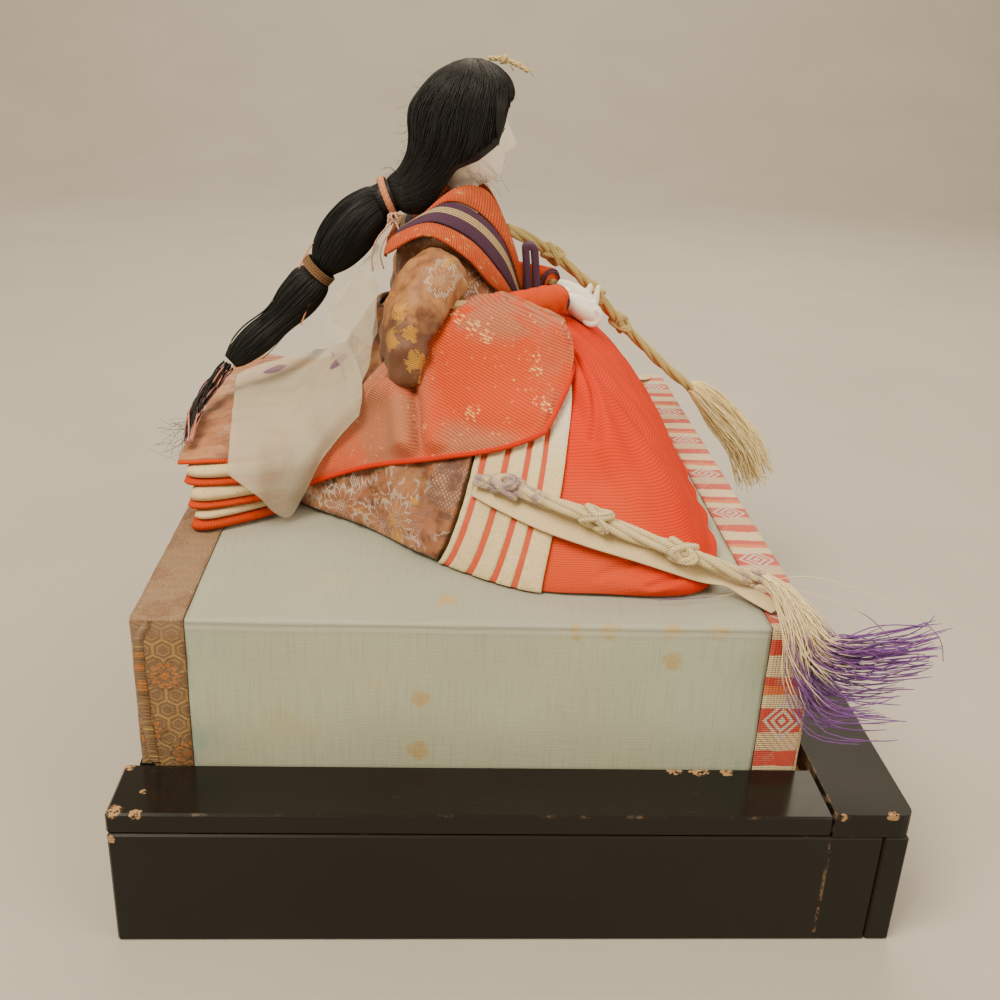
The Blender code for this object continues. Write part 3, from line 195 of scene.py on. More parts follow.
def grid_faces(columns, rows, closed=False):
    """Quads of a grid of points, its last column joined to its first where it is closed."""
    index = np.arange(columns * rows).reshape(columns, rows)
    if closed:
        index = np.vstack([index, index[:1]])
    return np.stack([index[:-1, :-1], index[1:, :-1], index[1:, 1:], index[:-1, 1:]], -1).reshape(-1, 4)


class Heap:
    """Points, faces and cloth coordinates of the parts that make one piece."""

    def __init__(self):
        self.points = []
        self.faces = []
        self.cloth = []
        self.count = 0

    def add(self, points, faces, cloth):
        self.points.append(points.reshape(-1, 3))
        self.cloth.append(cloth.reshape(-1, 2))
        self.faces.extend((np.asarray(faces) + self.count).tolist())
        self.count += len(self.points[-1])

    def shell(self, inner, outer, size):
        """Closed sheet between two grids of points, whose cloth is size across and along."""
        columns, rows = outer.shape[:2]
        total = columns * rows
        index = np.arange(total).reshape(columns, rows)
        rim = np.concatenate([index[:, 0], index[-1, 1:], index[-2::-1, -1], index[0, -2:0:-1]])
        ahead = np.roll(rim, -1)
        faces = np.concatenate([
            grid_faces(columns, rows), grid_faces(columns, rows)[:, ::-1] + total,
            np.stack([ahead, rim, rim + total, ahead + total], -1),
        ])
        points = np.concatenate([outer.reshape(-1, 3), inner.reshape(-1, 3)])
        middle = points[faces].mean(1)
        corners = points[faces]
        across = np.cross(corners[:, 2] - corners[:, 0], corners[:, 3] - corners[:, 1])
        if ((middle - points.mean(0)) * across).sum() < 0:
            faces = faces[:, ::-1]
        c, r = shares(columns, rows)
        cloth = np.stack([c * size[0], r * size[1]], -1).reshape(-1, 2)
        self.add(points, faces, np.concatenate([cloth, cloth]))

    def tube(self, path, radius, sides=6, flat=1.0, cloth=None):
        """Round or flattened tube along a path, closed at both ends by a narrow ring and a cap."""
        path = np.asarray(path, float)
        radius = np.broadcast_to(radius, len(path)).astype(float)
        side, other = frames_along(path)
        angle = np.arange(sides) / sides * ROUND
        ring = side[None] * np.cos(angle)[:, None, None] + other[None] * np.sin(angle)[:, None, None] * flat
        points = path[None] + ring * radius[None, :, None]
        rows = len(path)
        faces = grid_faces(sides, rows, closed=True)
        index = np.arange(sides * rows).reshape(sides, rows)
        start = len(self.faces)
        if cloth is None:
            long = lengths_along(path)
            cloth = np.stack(np.broadcast_arrays((angle * radius.mean())[:, None], long[None]), -1)
        else:
            cloth = np.stack(np.broadcast_arrays(np.full((sides, 1), cloth), steps(rows)[None]), -1)
        self.add(points, faces, cloth)
        base = self.count - sides * rows
        self.faces[start:] = [face[::-1] for face in self.faces[start:]]
        self.faces.append((index[:, 0] + base).tolist())
        self.faces.append((index[::-1, -1] + base).tolist())

    def piece(self, name, look):
        data = bpy.data.meshes.new(name)
        data.from_pydata(np.concatenate(self.points).tolist(), [], self.faces)
        cloth = np.concatenate(self.cloth)
        corners = np.empty(len(data.loops), int)
        data.loops.foreach_get("vertex_index", corners)
        data.uv_layers.new(name="cloth").data.foreach_set("uv", cloth[corners].ravel())
        data.shade_smooth()
        data.materials.append(look)
        made = bpy.data.objects.new(name, data)
        bpy.context.scene.collection.objects.link(made)
        return made


def sheet_piece(name, middle, thickness, size, look):
    """Cloth of an even thickness round a grid of points."""
    heap = Heap()
    normal = normals_of(middle)
    heap.shell(middle - normal * thickness / 2, middle + normal * thickness / 2, size)
    return heap.piece(name, look)


def shell_piece(name, inner, outer, size, look, body, slot, *nodes):
    """Closed sheet between two grids of points, dressed."""
    heap = Heap()
    heap.shell(inner, outer, size)
    return dress(heap.piece(name, LOOKS[look]), body, slot, *nodes)


def copy_of(node, name, look):
    """New piece with the shape of a frame node."""
    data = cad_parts[node].data.copy()
    data.materials.clear()
    data.materials.append(look)
    made = bpy.data.objects.new(name, data)
    bpy.context.scene.collection.objects.link(made)
    return made


def bake_shape(piece):
    """Replace a piece's mesh by what its modifiers make of it."""
    bpy.context.view_layer.update()
    seen = piece.evaluated_get(bpy.context.evaluated_depsgraph_get())
    data = bpy.data.meshes.new_from_object(seen)
    piece.modifiers.clear()
    piece.data = data
    data.shade_smooth()


def cut_away(piece, cutter):
    """Take one piece's shape out of another."""
    change = piece.modifiers.new("cut", "BOOLEAN")
    change.object = cutter
    bake_shape(piece)
    bpy.data.objects.remove(cutter)


def soften(piece, voxel, rounds, lift=0.0, wavelength=8 * MM, seed=1):
    """Even out a piece's facets, then raise and sink its surface a little."""
    remesh = piece.modifiers.new("remesh", "REMESH")
    remesh.mode = "VOXEL"
    remesh.voxel_size = voxel
    smooth = piece.modifiers.new("smooth", "SMOOTH")
    smooth.factor = 0.5
    smooth.iterations = rounds
    bake_shape(piece)
    if lift:
        places = np.empty(len(piece.data.vertices) * 3)
        normals = np.empty(len(piece.data.vertices) * 3)
        piece.data.vertices.foreach_get("co", places)
        piece.data.vertices.foreach_get("normal", normals)
        places, normals = places.reshape(-1, 3), normals.reshape(-1, 3)
        places += normals * (ripple(places, wavelength, seed) * lift)[:, None]
        piece.data.vertices.foreach_set("co", places.ravel())
        piece.data.update()


def puff(piece, pressure, cap):
    """Fill a padded piece with air, simulated at ten times its size, each point kept near its start."""
    scale = 10
    count = len(piece.data.vertices)
    start = np.empty(count * 3)
    piece.data.vertices.foreach_get("co", start)
    piece.data.vertices.foreach_set("co", start * scale)
    cloth = piece.modifiers.new("cloth", "CLOTH")
    cloth.settings.quality = 4
    cloth.settings.use_pressure = True
    cloth.settings.uniform_pressure_force = pressure
    cloth.settings.effector_weights.gravity = 0
    scene = bpy.context.scene
    for number in range(1, 13):
        scene.frame_set(number)
    seen = piece.evaluated_get(bpy.context.evaluated_depsgraph_get())
    moved = np.empty(count * 3)
    seen.data.vertices.foreach_get("co", moved)
    piece.modifiers.clear()
    scene.frame_set(1)
    change = (moved / scale - start).reshape(-1, 3)
    far = np.linalg.norm(change, axis=1, keepdims=True)
    change *= np.minimum(1, cap / np.maximum(far, 1e-9))
    piece.data.vertices.foreach_set("co", (start.reshape(-1, 3) + change).ravel())
    piece.data.update()


def dress(piece, body, slot, *nodes):
    """Let a piece ride on its body and stand for the frame's nodes, which are hidden. The slot is not used.
    """
    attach(piece, body)
    if nodes:
        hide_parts(*nodes)
    return piece


# Materials

class Look:
    """A material in the making. Its calls take plain values and sockets alike."""

    def __init__(self, name, roughness=0.7, **values):
        self.material = bpy.data.materials.new(name)
        self.material.use_nodes = True
        self.tree = self.material.node_tree
        self.shader = self.tree.nodes["Principled BSDF"]
        self.set("Roughness", roughness)
        for key, value in values.items():
            self.set(key.replace("_", " "), value)

    def feed(self, socket, value):
        if isinstance(value, bpy.types.NodeSocket):
            self.tree.links.new(value, socket)
        elif isinstance(value, (tuple, list)):
            socket.default_value = (*value, 1)[:len(socket.default_value)]
        else:
            socket.default_value = value

    def set(self, name, value):
        self.feed(self.shader.inputs[name], value)

    def node(self, kind, inputs=None, **settings):
        made = self.tree.nodes.new("ShaderNode" + kind)
        for key, value in settings.items():
            setattr(made, key, value)
        for key, value in (inputs or {}).items():
            self.feed(made.inputs[key], value)
        return made

    def math(self, operation, *values, clamp=False):
        made = self.node("Math", operation=operation, use_clamp=clamp)
        for socket, value in zip(made.inputs, values):
            self.feed(socket, value)
        return made.outputs[0]

    def sum(self, first, *others):
        for other in others:
            first = self.math("ADD", first, other)
        return first

    def times(self, first, *others):
        for other in others:
            first = self.math("MULTIPLY", first, other)
        return first

    def mix(self, first, second, share):
        made = self.node("Mix", data_type="RGBA")
        for place, value in ((0, share), (6, first), (7, second)):
            self.feed(made.inputs[place], value)
        return made.outputs[2]

    def step(self, value, low, high):
        """0 below low and 1 above high, or the other way round where low is the larger."""
        made = self.node("MapRange", {"Value": value, "From Min": low, "From Max": high},
                         interpolation_type="SMOOTHSTEP")
        return made.outputs["Result"]

    def vector(self, x, y, z=0.0):
        return self.node("CombineXYZ", {"X": x, "Y": y, "Z": z}).outputs[0]

    def cloth(self):
        """Coordinates across and along the cloth."""
        split = self.node("SeparateXYZ", {"Vector": self.node("UVMap", uv_map="cloth").outputs[0]})
        return split.outputs[0], split.outputs[1]

    def place(self):
        return self.node("TexCoord").outputs["Object"]

    def axes(self):
        split = self.node("SeparateXYZ", {"Vector": self.place()})
        return split.outputs[0], split.outputs[1], split.outputs[2]

    def slant(self, x_part, z_part):
        """Coordinate across a slanted direction of the object."""
        x, _, z = self.axes()
        return self.sum(self.times(x, x_part), self.times(z, z_part))

    def noise(self, place, size, detail=3.0, roughness=0.5):
        """Unevenness from 0 to 1, with features of about a size."""
        return self.node("TexNoise", {"Vector": place, "Scale": 1 / size, "Detail": detail,
                                      "Roughness": roughness}).outputs[0]

    def wave(self, value, period):
        """0 to 1 and back in each period."""
        turn = self.math("SINE", self.math("MULTIPLY", value, ROUND / period))
        return self.math("MULTIPLY_ADD", turn, 0.5, 0.5)

    def near(self, centre, radius):
        """1 at a place of the object, 0 past a radius."""
        far = self.node("VectorMath", operation="DISTANCE")
        self.feed(far.inputs[0], self.place())
        self.feed(far.inputs[1], centre)
        return self.step(far.outputs["Value"], radius, radius * 0.3)

    def most(self, values):
        found = values[0]
        for value in values[1:]:
            found = self.math("MAXIMUM", found, value)
        return found

    def flower(self, u, v, spacing, petals):
        """Distance in shares of its petals' reach, and angle, round the flower of each cell."""
        cell = self.node("TexVoronoi", {"Vector": self.vector(u, v), "Scale": 1 / spacing,
                                        "Randomness": 1.0}, voronoi_dimensions="2D")
        split = self.node("SeparateXYZ", {"Vector": cell.outputs["Position"]})
        return self.petals(self.less(u, split.outputs[0]), self.less(v, split.outputs[1]), petals / 2,
                           0.14 * spacing, 0.24 * spacing)

    def bloom(self, u, v, centre_u, centre_v, radius):
        """Distance in shares of its petals' reach, and angle, round one flower."""
        return self.petals(self.less(u, centre_u), self.less(v, centre_v), 5.0, 0.30 * radius, 0.80 * radius)

    def petals(self, x, y, turns, swell, reach):
        """Distance in shares of a scalloped edge, and angle, round a flower's heart."""
        turn = self.math("ARCTAN2", y, x)
        scallop = self.math("ABSOLUTE", self.math("COSINE", self.times(turn, turns)))
        far = self.math("SQRT", self.sum(self.times(x, x), self.times(y, y)))
        return self.math("DIVIDE", far, self.scaled(scallop, swell, reach)), turn

    def apart(self, first, second):
        return self.math("ABSOLUTE", self.less(first, second))

    def less(self, first, second):
        return self.math("SUBTRACT", first, second)

    def scaled(self, value, factor, start):
        return self.math("MULTIPLY_ADD", value, factor, start)

    def tint(self, shade, colour, *parts):
        """The shade, with as much of a colour as the product of the parts."""
        return self.mix(shade, colour, self.times(*parts))

    def patches(self, place, size, low, high, detail=3.0, roughness=0.5):
        """Unevenness cut to patches: 0 where it is under low and 1 where it is over high."""
        return self.step(self.noise(place, size, detail, roughness), low, high)

    def stretched(self, *scale):
        """Places of the object, drawn out along the axes where the scale is small."""
        return self.node("Mapping", {"Vector": self.place(), "Scale": scale}).outputs[0]

    def spots(self, table):
        """1 near each of a table's places, given with their radii in millimetres."""
        return [self.near(tuple(c * MM for c in centre), radius * MM) for centre, radius in table]

    def bump(self, height, depth):
        made = self.node("Bump", {"Height": height, "Distance": depth, "Strength": 1.0})
        self.set("Normal", made.outputs[0])

    def done(self, colour):
        self.set("Base Color", colour)
        return self.material


def lacquer_look():
    look = Look("lacquer", Coat_Weight=0.05, Coat_Roughness=0.08, Specular_IOR_Level=0.22)
    place = look.place()
    x, y, z = look.axes()
    broad = look.noise(place, 60 * MM, 4)
    fine = look.noise(place, 2.5 * MM, 5, 0.6)
    chips = [((46.5, -126, 43.3), 5), ((54, -126, 43.3), 6), ((62, -127, 43.3), 4),
             ((-108, -146, 43.1), 4.5), ((-102, -147, 43), 3.5), ((-108.5, -127, 43.3), 3),
             ((-102, -138, 43.3), 2), ((104, -147.5, 44), 3.5), ((90, -147.5, 43.5), 2.4),
             ((-109, -147.6, 35), 2.5), ((109, 147, 44), 3), ((-108, 146, 43), 4)]
    spots = look.spots(chips)
    torn = look.times(look.most(spots), look.noise(place, 1.6 * MM, 3, 0.7))
    bare = look.step(torn, 0.40, 0.47)
    rim = look.step(look.apart(z, 43.2 * MM), 0.9 * MM, 0.1 * MM)
    near_side = look.step(look.math("ABSOLUTE", y), 146.7 * MM, 147.5 * MM)
    scuffed = look.times(rim, near_side, look.patches(place, 7 * MM, 0.55, 0.68, 4, 0.7))
    seam = look.step(look.apart(z, 36.7 * MM), 0.5 * MM, 0.1 * MM)
    worn = look.times(seam, look.patches(place, 9 * MM, 0.62, 0.70, 4, 0.7))
    joint = look.step(look.apart(x, 87.7 * MM), 0.7 * MM, 0.2 * MM)
    opened = look.times(joint, look.patches(place, 5 * MM, 0.50, 0.60, 3, 0.7))
    wear = look.most([look.times(scuffed, 0.5), look.times(worn, 0.6), look.times(opened, 0.7)])
    scratch = look.patches(look.stretched(1, 9, 9), 9 * MM, 0.62, 0.72, 6, 0.7)
    black = look.mix((0.0060, 0.0052, 0.0045), (0.0125, 0.0105, 0.0085), broad)
    black = look.tint(black, (0.050, 0.040, 0.030), scratch, 0.16)
    wood = look.mix((0.42, 0.25, 0.13), (0.24, 0.13, 0.06), fine)
    colour = look.mix(look.mix(black, (0.16, 0.10, 0.06), wear), wood, bare)
    matt = look.step(x, 86.8 * MM, 88.2 * MM)
    upper = look.step(z, 42 * MM, 43 * MM)
    rough = look.sum(look.scaled(broad, 0.10, 0.13), look.times(matt, 0.32),
                     look.times(look.less(1.0, upper), 0.13), look.times(scratch, 0.12),
                     look.times(bare, 0.5), look.times(wear, 0.3))
    look.set("Roughness", rough)
    grain = look.noise(look.stretched(0.15, 1, 1), 3 * MM, 4)
    look.bump(look.sum(look.times(grain, 0.05), look.times(bare, -0.5), look.times(fine, 0.05, bare)),
              0.5 * MM)
    return look.done(colour)


def wood_look(name, light, dark):
    look = Look(name, 0.65)
    place = look.stretched(0.12, 1, 1)
    grain = look.noise(place, 2.5 * MM, 6, 0.6)
    look.bump(grain, 0.15 * MM)
    return look.done(look.mix(light, dark, look.step(grain, 0.35, 0.7)))


def straw_look():
    look = Look("straw", 0.9)
    place = look.stretched(1, 1, 0.1)
    stalk = look.noise(place, 1.2 * MM, 3, 0.6)
    look.bump(stalk, 0.6 * MM)
    return look.done(look.mix((0.55, 0.42, 0.20), (0.26, 0.18, 0.08), stalk))


def silk_look():
    look = Look("silk", 0.62, Sheen_Weight=0.25, Sheen_Roughness=0.4)
    u, v = look.cloth()
    x, _, z = look.axes()
    place = look.place()
    warp = look.noise(look.vector(look.times(u, 1.0), look.times(v, 0.03)), 0.55 * MM, 3, 0.7)
    weft = look.noise(look.vector(look.times(u, 0.05), v), 0.5 * MM, 2)
    fade = look.noise(place, 45 * MM, 3)
    face = look.step(z, 88.5 * MM, 84 * MM)
    top = look.mix((0.270, 0.285, 0.225), (0.350, 0.350, 0.290), fade)
    side = look.mix((0.345, 0.375, 0.265), (0.420, 0.435, 0.330), fade)
    colour = look.mix(top, side, face)
    blue = look.times(look.step(x, -76 * MM, -90 * MM), look.patches(place, 12 * MM, 0.35, 0.6, 3))
    colour = look.tint(colour, (0.225, 0.330, 0.285), blue, face, 0.65)
    low = look.times(look.step(x, 20 * MM, 70 * MM), face)
    colour = look.tint(colour, (0.34, 0.44, 0.37), low, 0.35)
    stains = [((-20, -111, 89.8), 6), ((15.4, -125, 87.4), 4), ((24.3, -125, 87.9), 4.5),
              ((41.8, -125, 88), 4), ((55.2, -125, 88), 4), ((43, -125, 78.4), 5),
              ((-27.3, -125, 65.3), 4.5), ((-27, -125, 47.9), 5.5), ((14, -91, 89.8), 5),
              ((-60, 60, 89.8), 7), ((30, 125, 70), 6)]
    spots = look.spots(stains)
    ragged = look.times(look.less(look.noise(place, 3.2 * MM, 4, 0.6), 0.5), 2.6)
    spotted = look.step(look.sum(look.most(spots), ragged), 0.30, 1.15)
    colour = look.tint(colour, (0.41, 0.265, 0.075), spotted, look.step(look.most(spots), 0.0, 0.3), 0.7)
    colour = look.tint(colour, (0.42, 0.36, 0.16), look.patches(place, 22 * MM, 0.60, 0.75, 4), 0.3)
    colour = look.tint(colour, (0.19, 0.21, 0.16), look.step(warp, 0.45, 0.75), 0.35)
    line = look.step(look.apart(z, 87.2 * MM), 1.1 * MM, 0.2 * MM)
    colour = look.tint(colour, (0.52, 0.52, 0.42), line, 0.5)
    look.bump(look.sum(look.times(warp, 0.6), look.times(weft, 0.4)), 0.18 * MM)
    return look.done(colour)


def stripe_look():
    """Stepped stripes of the front edging: cream, red with grey flowers, orange."""
    look = Look("stripe_cloth", 0.85, Sheen_Weight=0.2)
    u, v = look.cloth()
    period = 37 * MM
    wobble = look.times(look.less(look.noise(look.vector(u, v), 5 * MM, 2), 0.5), 1.2 * MM)
    place = look.math("FRACT", look.math("DIVIDE", look.sum(v, wobble), period))
    bands = look.node("ValToRGB", {"Fac": place})
    cream, pale = (0.62, 0.50, 0.30), (0.55, 0.42, 0.25)
    red, orange = (0.50, 0.035, 0.015), (0.62, 0.14, 0.03)
    stops = [(0.00, cream), (0.19, red), (0.33, pale), (0.50, red), (0.72, cream), (0.84, orange),
             (0.92, red)]
    ramp = bands.color_ramp
    ramp.interpolation = "CONSTANT"
    ramp.elements[0].color = (*stops[0][1], 1)
    ramp.elements[1].position, ramp.elements[1].color = stops[1][0], (*stops[1][1], 1)
    for position, colour in stops[2:]:
        ramp.elements.new(position).color = (*colour, 1)
    shade = bands.outputs[0]
    cell_v = look.apart(place, 0.61)
    cell_u = look.apart(look.math("FRACT", look.math("DIVIDE", u, 13 * MM)), 0.5)
    diamond = look.sum(look.times(cell_v, period / 7.5 / MM), look.times(cell_u, 2.0))
    rings = look.wave(diamond, 0.36)
    flower = look.times(look.step(diamond, 0.95, 0.85), look.step(rings, 0.35, 0.55))
    shade = look.mix(shade, (0.50, 0.47, 0.42), flower)
    hatch = look.wave(look.sum(u, look.times(v, 0.8)), 2.2 * MM)
    pale_band = look.times(look.step(place, 0.33, 0.335), look.step(place, 0.50, 0.495))
    shade = look.tint(shade, (0.42, 0.20, 0.10), pale_band, look.step(hatch, 0.80, 0.95), 0.7)
    u_thread = look.wave(u, 0.9 * MM)
    v_thread = look.wave(v, 0.7 * MM)
    worn = look.noise(look.place(), 5 * MM, 4, 0.6)
    shade = look.tint(shade, (0.50, 0.38, 0.24), look.step(worn, 0.50, 0.72), 0.35)
    shade = look.tint(shade, (0.20, 0.08, 0.04), look.step(v_thread, 0.6, 1.0), 0.28)
    look.bump(look.sum(look.times(u_thread, 0.5), look.times(v_thread, 0.6)), 0.25 * MM)
    return look.done(shade)


def hexagon(look, u, v, size):
    """0 in the middle of a honeycomb cell and 1 on its edge."""
    def local(move):
        x = look.less(look.math("FRACT", look.math("ADD", look.math("DIVIDE", u, size), move)), 0.5)
        tall = look.math("DIVIDE", v, size * math.sqrt(3))
        y = look.less(look.math("FRACT", look.math("ADD", tall, move)), 0.5)
        x = look.math("ABSOLUTE", x)
        y = look.times(look.math("ABSOLUTE", y), math.sqrt(3))
        reach = look.most([x, look.sum(look.times(x, 0.5), look.times(y, math.sqrt(3) / 2))])
        return look.times(reach, 2.0)
    return look.math("MINIMUM", local(0.0), local(0.5))


def gold_brocade_look():
    look = Look("gold_brocade", 0.55, Sheen_Weight=0.15)
    u, v = look.cloth()
    place = look.place()
    z = look.axes()[2]
    worn = look.noise(place, 6 * MM, 4, 0.6)
    face = look.step(z, 86 * MM, 82 * MM)
    cloth = look.mix((0.27, 0.150, 0.085), (0.170, 0.092, 0.036), face)
    cloth = look.mix(cloth, (0.19, 0.105, 0.048), worn)
    gold = look.mix((0.36, 0.235, 0.115), (0.44, 0.275, 0.085), face)
    edge = hexagon(look, u, v, 5.5 * MM)
    line = look.most([look.step(edge, 0.84, 0.92),
                      look.times(look.step(edge, 0.46, 0.52), look.step(edge, 0.62, 0.56))])
    far = look.flower(u, v, 15 * MM, 10)[0]
    bloom = look.times(look.step(far, 1.0, 0.94), look.step(look.wave(far, 0.5), 0.35, 0.6))
    inside = look.step(far, 1.05, 1.0)
    shade = look.tint(cloth, gold, line, look.less(1.0, inside))
    shade = look.tint(shade, (0.46, 0.18, 0.045), bloom, look.scaled(face, 0.7, 0.25))
    thread = look.wave(look.sum(u, look.times(v, 0.3)), 0.5 * MM)
    shade = look.tint(shade, (0.06, 0.03, 0.012), look.step(thread, 0.55, 1.0), 0.4)
    metal = look.times(look.most([line, bloom]), 0.5)
    look.set("Metallic", metal)
    look.bump(look.sum(look.times(thread, 0.4), look.times(line, 0.5), look.times(bloom, 0.6)), 0.2 * MM)
    return look.done(shade)


def gofun_look():
    """White shell paint, with the face's eyes, brows and mouth drawn on the front of the head."""
    look = Look("gofun", 0.30, Subsurface_Weight=0.12, Subsurface_Scale=0.002, Coat_Weight=0.25)
    place = look.place()
    x, y, z = look.axes()
    side = look.math("ABSOLUTE", y)
    front = look.step(x, NECK_X + 5 * MM, NECK_X + 7 * MM)
    above = look.step(z, CHIN_Z + 1 * MM, CHIN_Z + 2 * MM)

    def mark(across, rise, half, height, bow, soft):
        """Painted stroke on both sides of the face."""
        du = look.math("DIVIDE", look.less(side, across), half)
        arch = look.times(look.times(du, du), bow)
        dv = look.math("DIVIDE", look.sum(look.less(z, CHIN_Z + rise), arch), height)
        reach = look.sum(look.times(du, du), look.times(dv, dv))
        return look.times(look.step(reach, 1.0, soft), front, above)

    eye_white = mark(5.2 * MM, 17.6 * MM, 2.5 * MM, 0.75 * MM, 0.5 * MM, 0.6)
    iris = mark(5.1 * MM, 17.5 * MM, 0.75 * MM, 0.75 * MM, 0.0, 0.7)
    lid = mark(5.3 * MM, 18.3 * MM, 2.9 * MM, 0.28 * MM, 0.8 * MM, 0.5)
    brow = mark(5.4 * MM, 25.6 * MM, 1.9 * MM, 0.8 * MM, 0.3 * MM, 0.0)
    lips = mark(0.0, 7.4 * MM, 1.9 * MM, 0.8 * MM, -0.3 * MM, 0.5)
    parting = mark(0.0, 7.5 * MM, 1.5 * MM, 0.12 * MM, -0.2 * MM, 0.3)
    blush = look.noise(place, 7 * MM, 3)
    shade = look.mix((0.83, 0.80, 0.73), (0.76, 0.70, 0.60), blush)
    shade = look.mix(shade, (0.90, 0.88, 0.84), eye_white)
    shade = look.mix(shade, (0.015, 0.010, 0.008), look.most([look.times(iris, eye_white), lid]))
    shade = look.tint(shade, (0.25, 0.22, 0.20), brow, 0.55)
    shade = look.mix(shade, (0.55, 0.04, 0.03), lips)
    shade = look.mix(shade, (0.20, 0.01, 0.01), parting)
    look.bump(look.noise(place, 1.5 * MM, 4), 0.05 * MM)
    return look.done(shade)


def hair_look():
    look = Look("hair", 0.50, Specular_IOR_Level=0.28)
    fine = look.noise(look.place(), 0.8 * MM, 3)
    look.bump(fine, 0.1 * MM)
    return look.done(look.mix((0.0035, 0.0040, 0.0045), (0.012, 0.012, 0.013),
                              look.noise(look.place(), 9 * MM, 3)))


def paper_look(name, light, dark, period):
    """Twisted paper or thread, its lay slanting round it."""
    look = Look(name, 0.8)
    u, v = look.cloth()
    twist = look.wave(look.sum(v, look.times(u, 1.2)), period)
    shade = look.tint(light, dark, look.step(twist, 0.45, 1.0), 0.8)
    look.bump(twist, 0.15 * MM)
    return look.done(shade)


def hakama_look():
    look = Look("hakama_silk", 0.88, Specular_IOR_Level=0.15)
    u, v = look.cloth()
    place = look.place()
    x, y, z = look.axes()
    wobble = look.times(look.noise(place, 14 * MM, 2), 1.5 * MM)
    rib = look.wave(look.sum(v, wobble), 0.75 * MM)
    thread = look.wave(u, 0.55 * MM)
    fade = look.noise(place, 26 * MM, 4, 0.55)
    shade = look.mix((0.60, 0.024, 0.0015), (0.68, 0.040, 0.0030), fade)
    rosy = look.times(look.step(look.math("ABSOLUTE", y), 66 * MM, 84 * MM), look.step(x, 52 * MM, 24 * MM))
    shade = look.tint(shade, (0.60, 0.105, 0.036), rosy, look.step(z, 125 * MM, 108 * MM), 0.55)
    # Painted shade in the grooves of the ribs and cross threads, where the bump sinks them.
    shade = look.tint(shade, (0.27, 0.008, 0.002), look.step(rib, 0.55, 1.0), 0.42)
    shade = look.tint(shade, (0.34, 0.012, 0.003), look.step(thread, 0.6, 1.0), 0.30)
    look.bump(look.sum(look.times(rib, -0.7), look.times(thread, -0.3)), 0.10 * MM)
    return look.done(shade)


def red_silk_look():
    look = Look("red_silk", 0.88, Specular_IOR_Level=0.15)
    place = look.place()
    rib = look.wave(look.cloth()[1], 0.8 * MM)
    fade = look.noise(place, 10 * MM, 4)
    shade = look.mix((0.60, 0.040, 0.003), (0.62, 0.080, 0.012), fade)
    shade = look.tint(shade, (0.28, 0.012, 0.004), look.step(rib, 0.6, 1.0), 0.4)
    look.bump(rib, 0.2 * MM)
    return look.done(shade)


def collar_look():
    """Faded orange twill with a few gold wefts."""
    look = Look("collar_silk", 0.85, Specular_IOR_Level=0.2)
    u, v = look.cloth()
    place = look.place()
    rib = look.wave(look.sum(u, look.times(v, 0.5)), 0.9 * MM)
    shade = look.mix((0.50, 0.052, 0.012), (0.50, 0.125, 0.045), look.noise(place, 6 * MM, 4))
    shade = look.tint(shade, (0.26, 0.03, 0.01), look.step(rib, 0.55, 1.0), 0.45)
    fleck = look.times(look.patches(look.vector(look.times(u, 0.25), v), 0.8 * MM, 0.60, 0.66, 2),
                       look.patches(place, 5 * MM, 0.50, 0.56, 2))
    shade = look.tint(shade, (0.62, 0.42, 0.14), fleck, 0.8)
    look.bump(rib, 0.25 * MM)
    return look.done(shade)


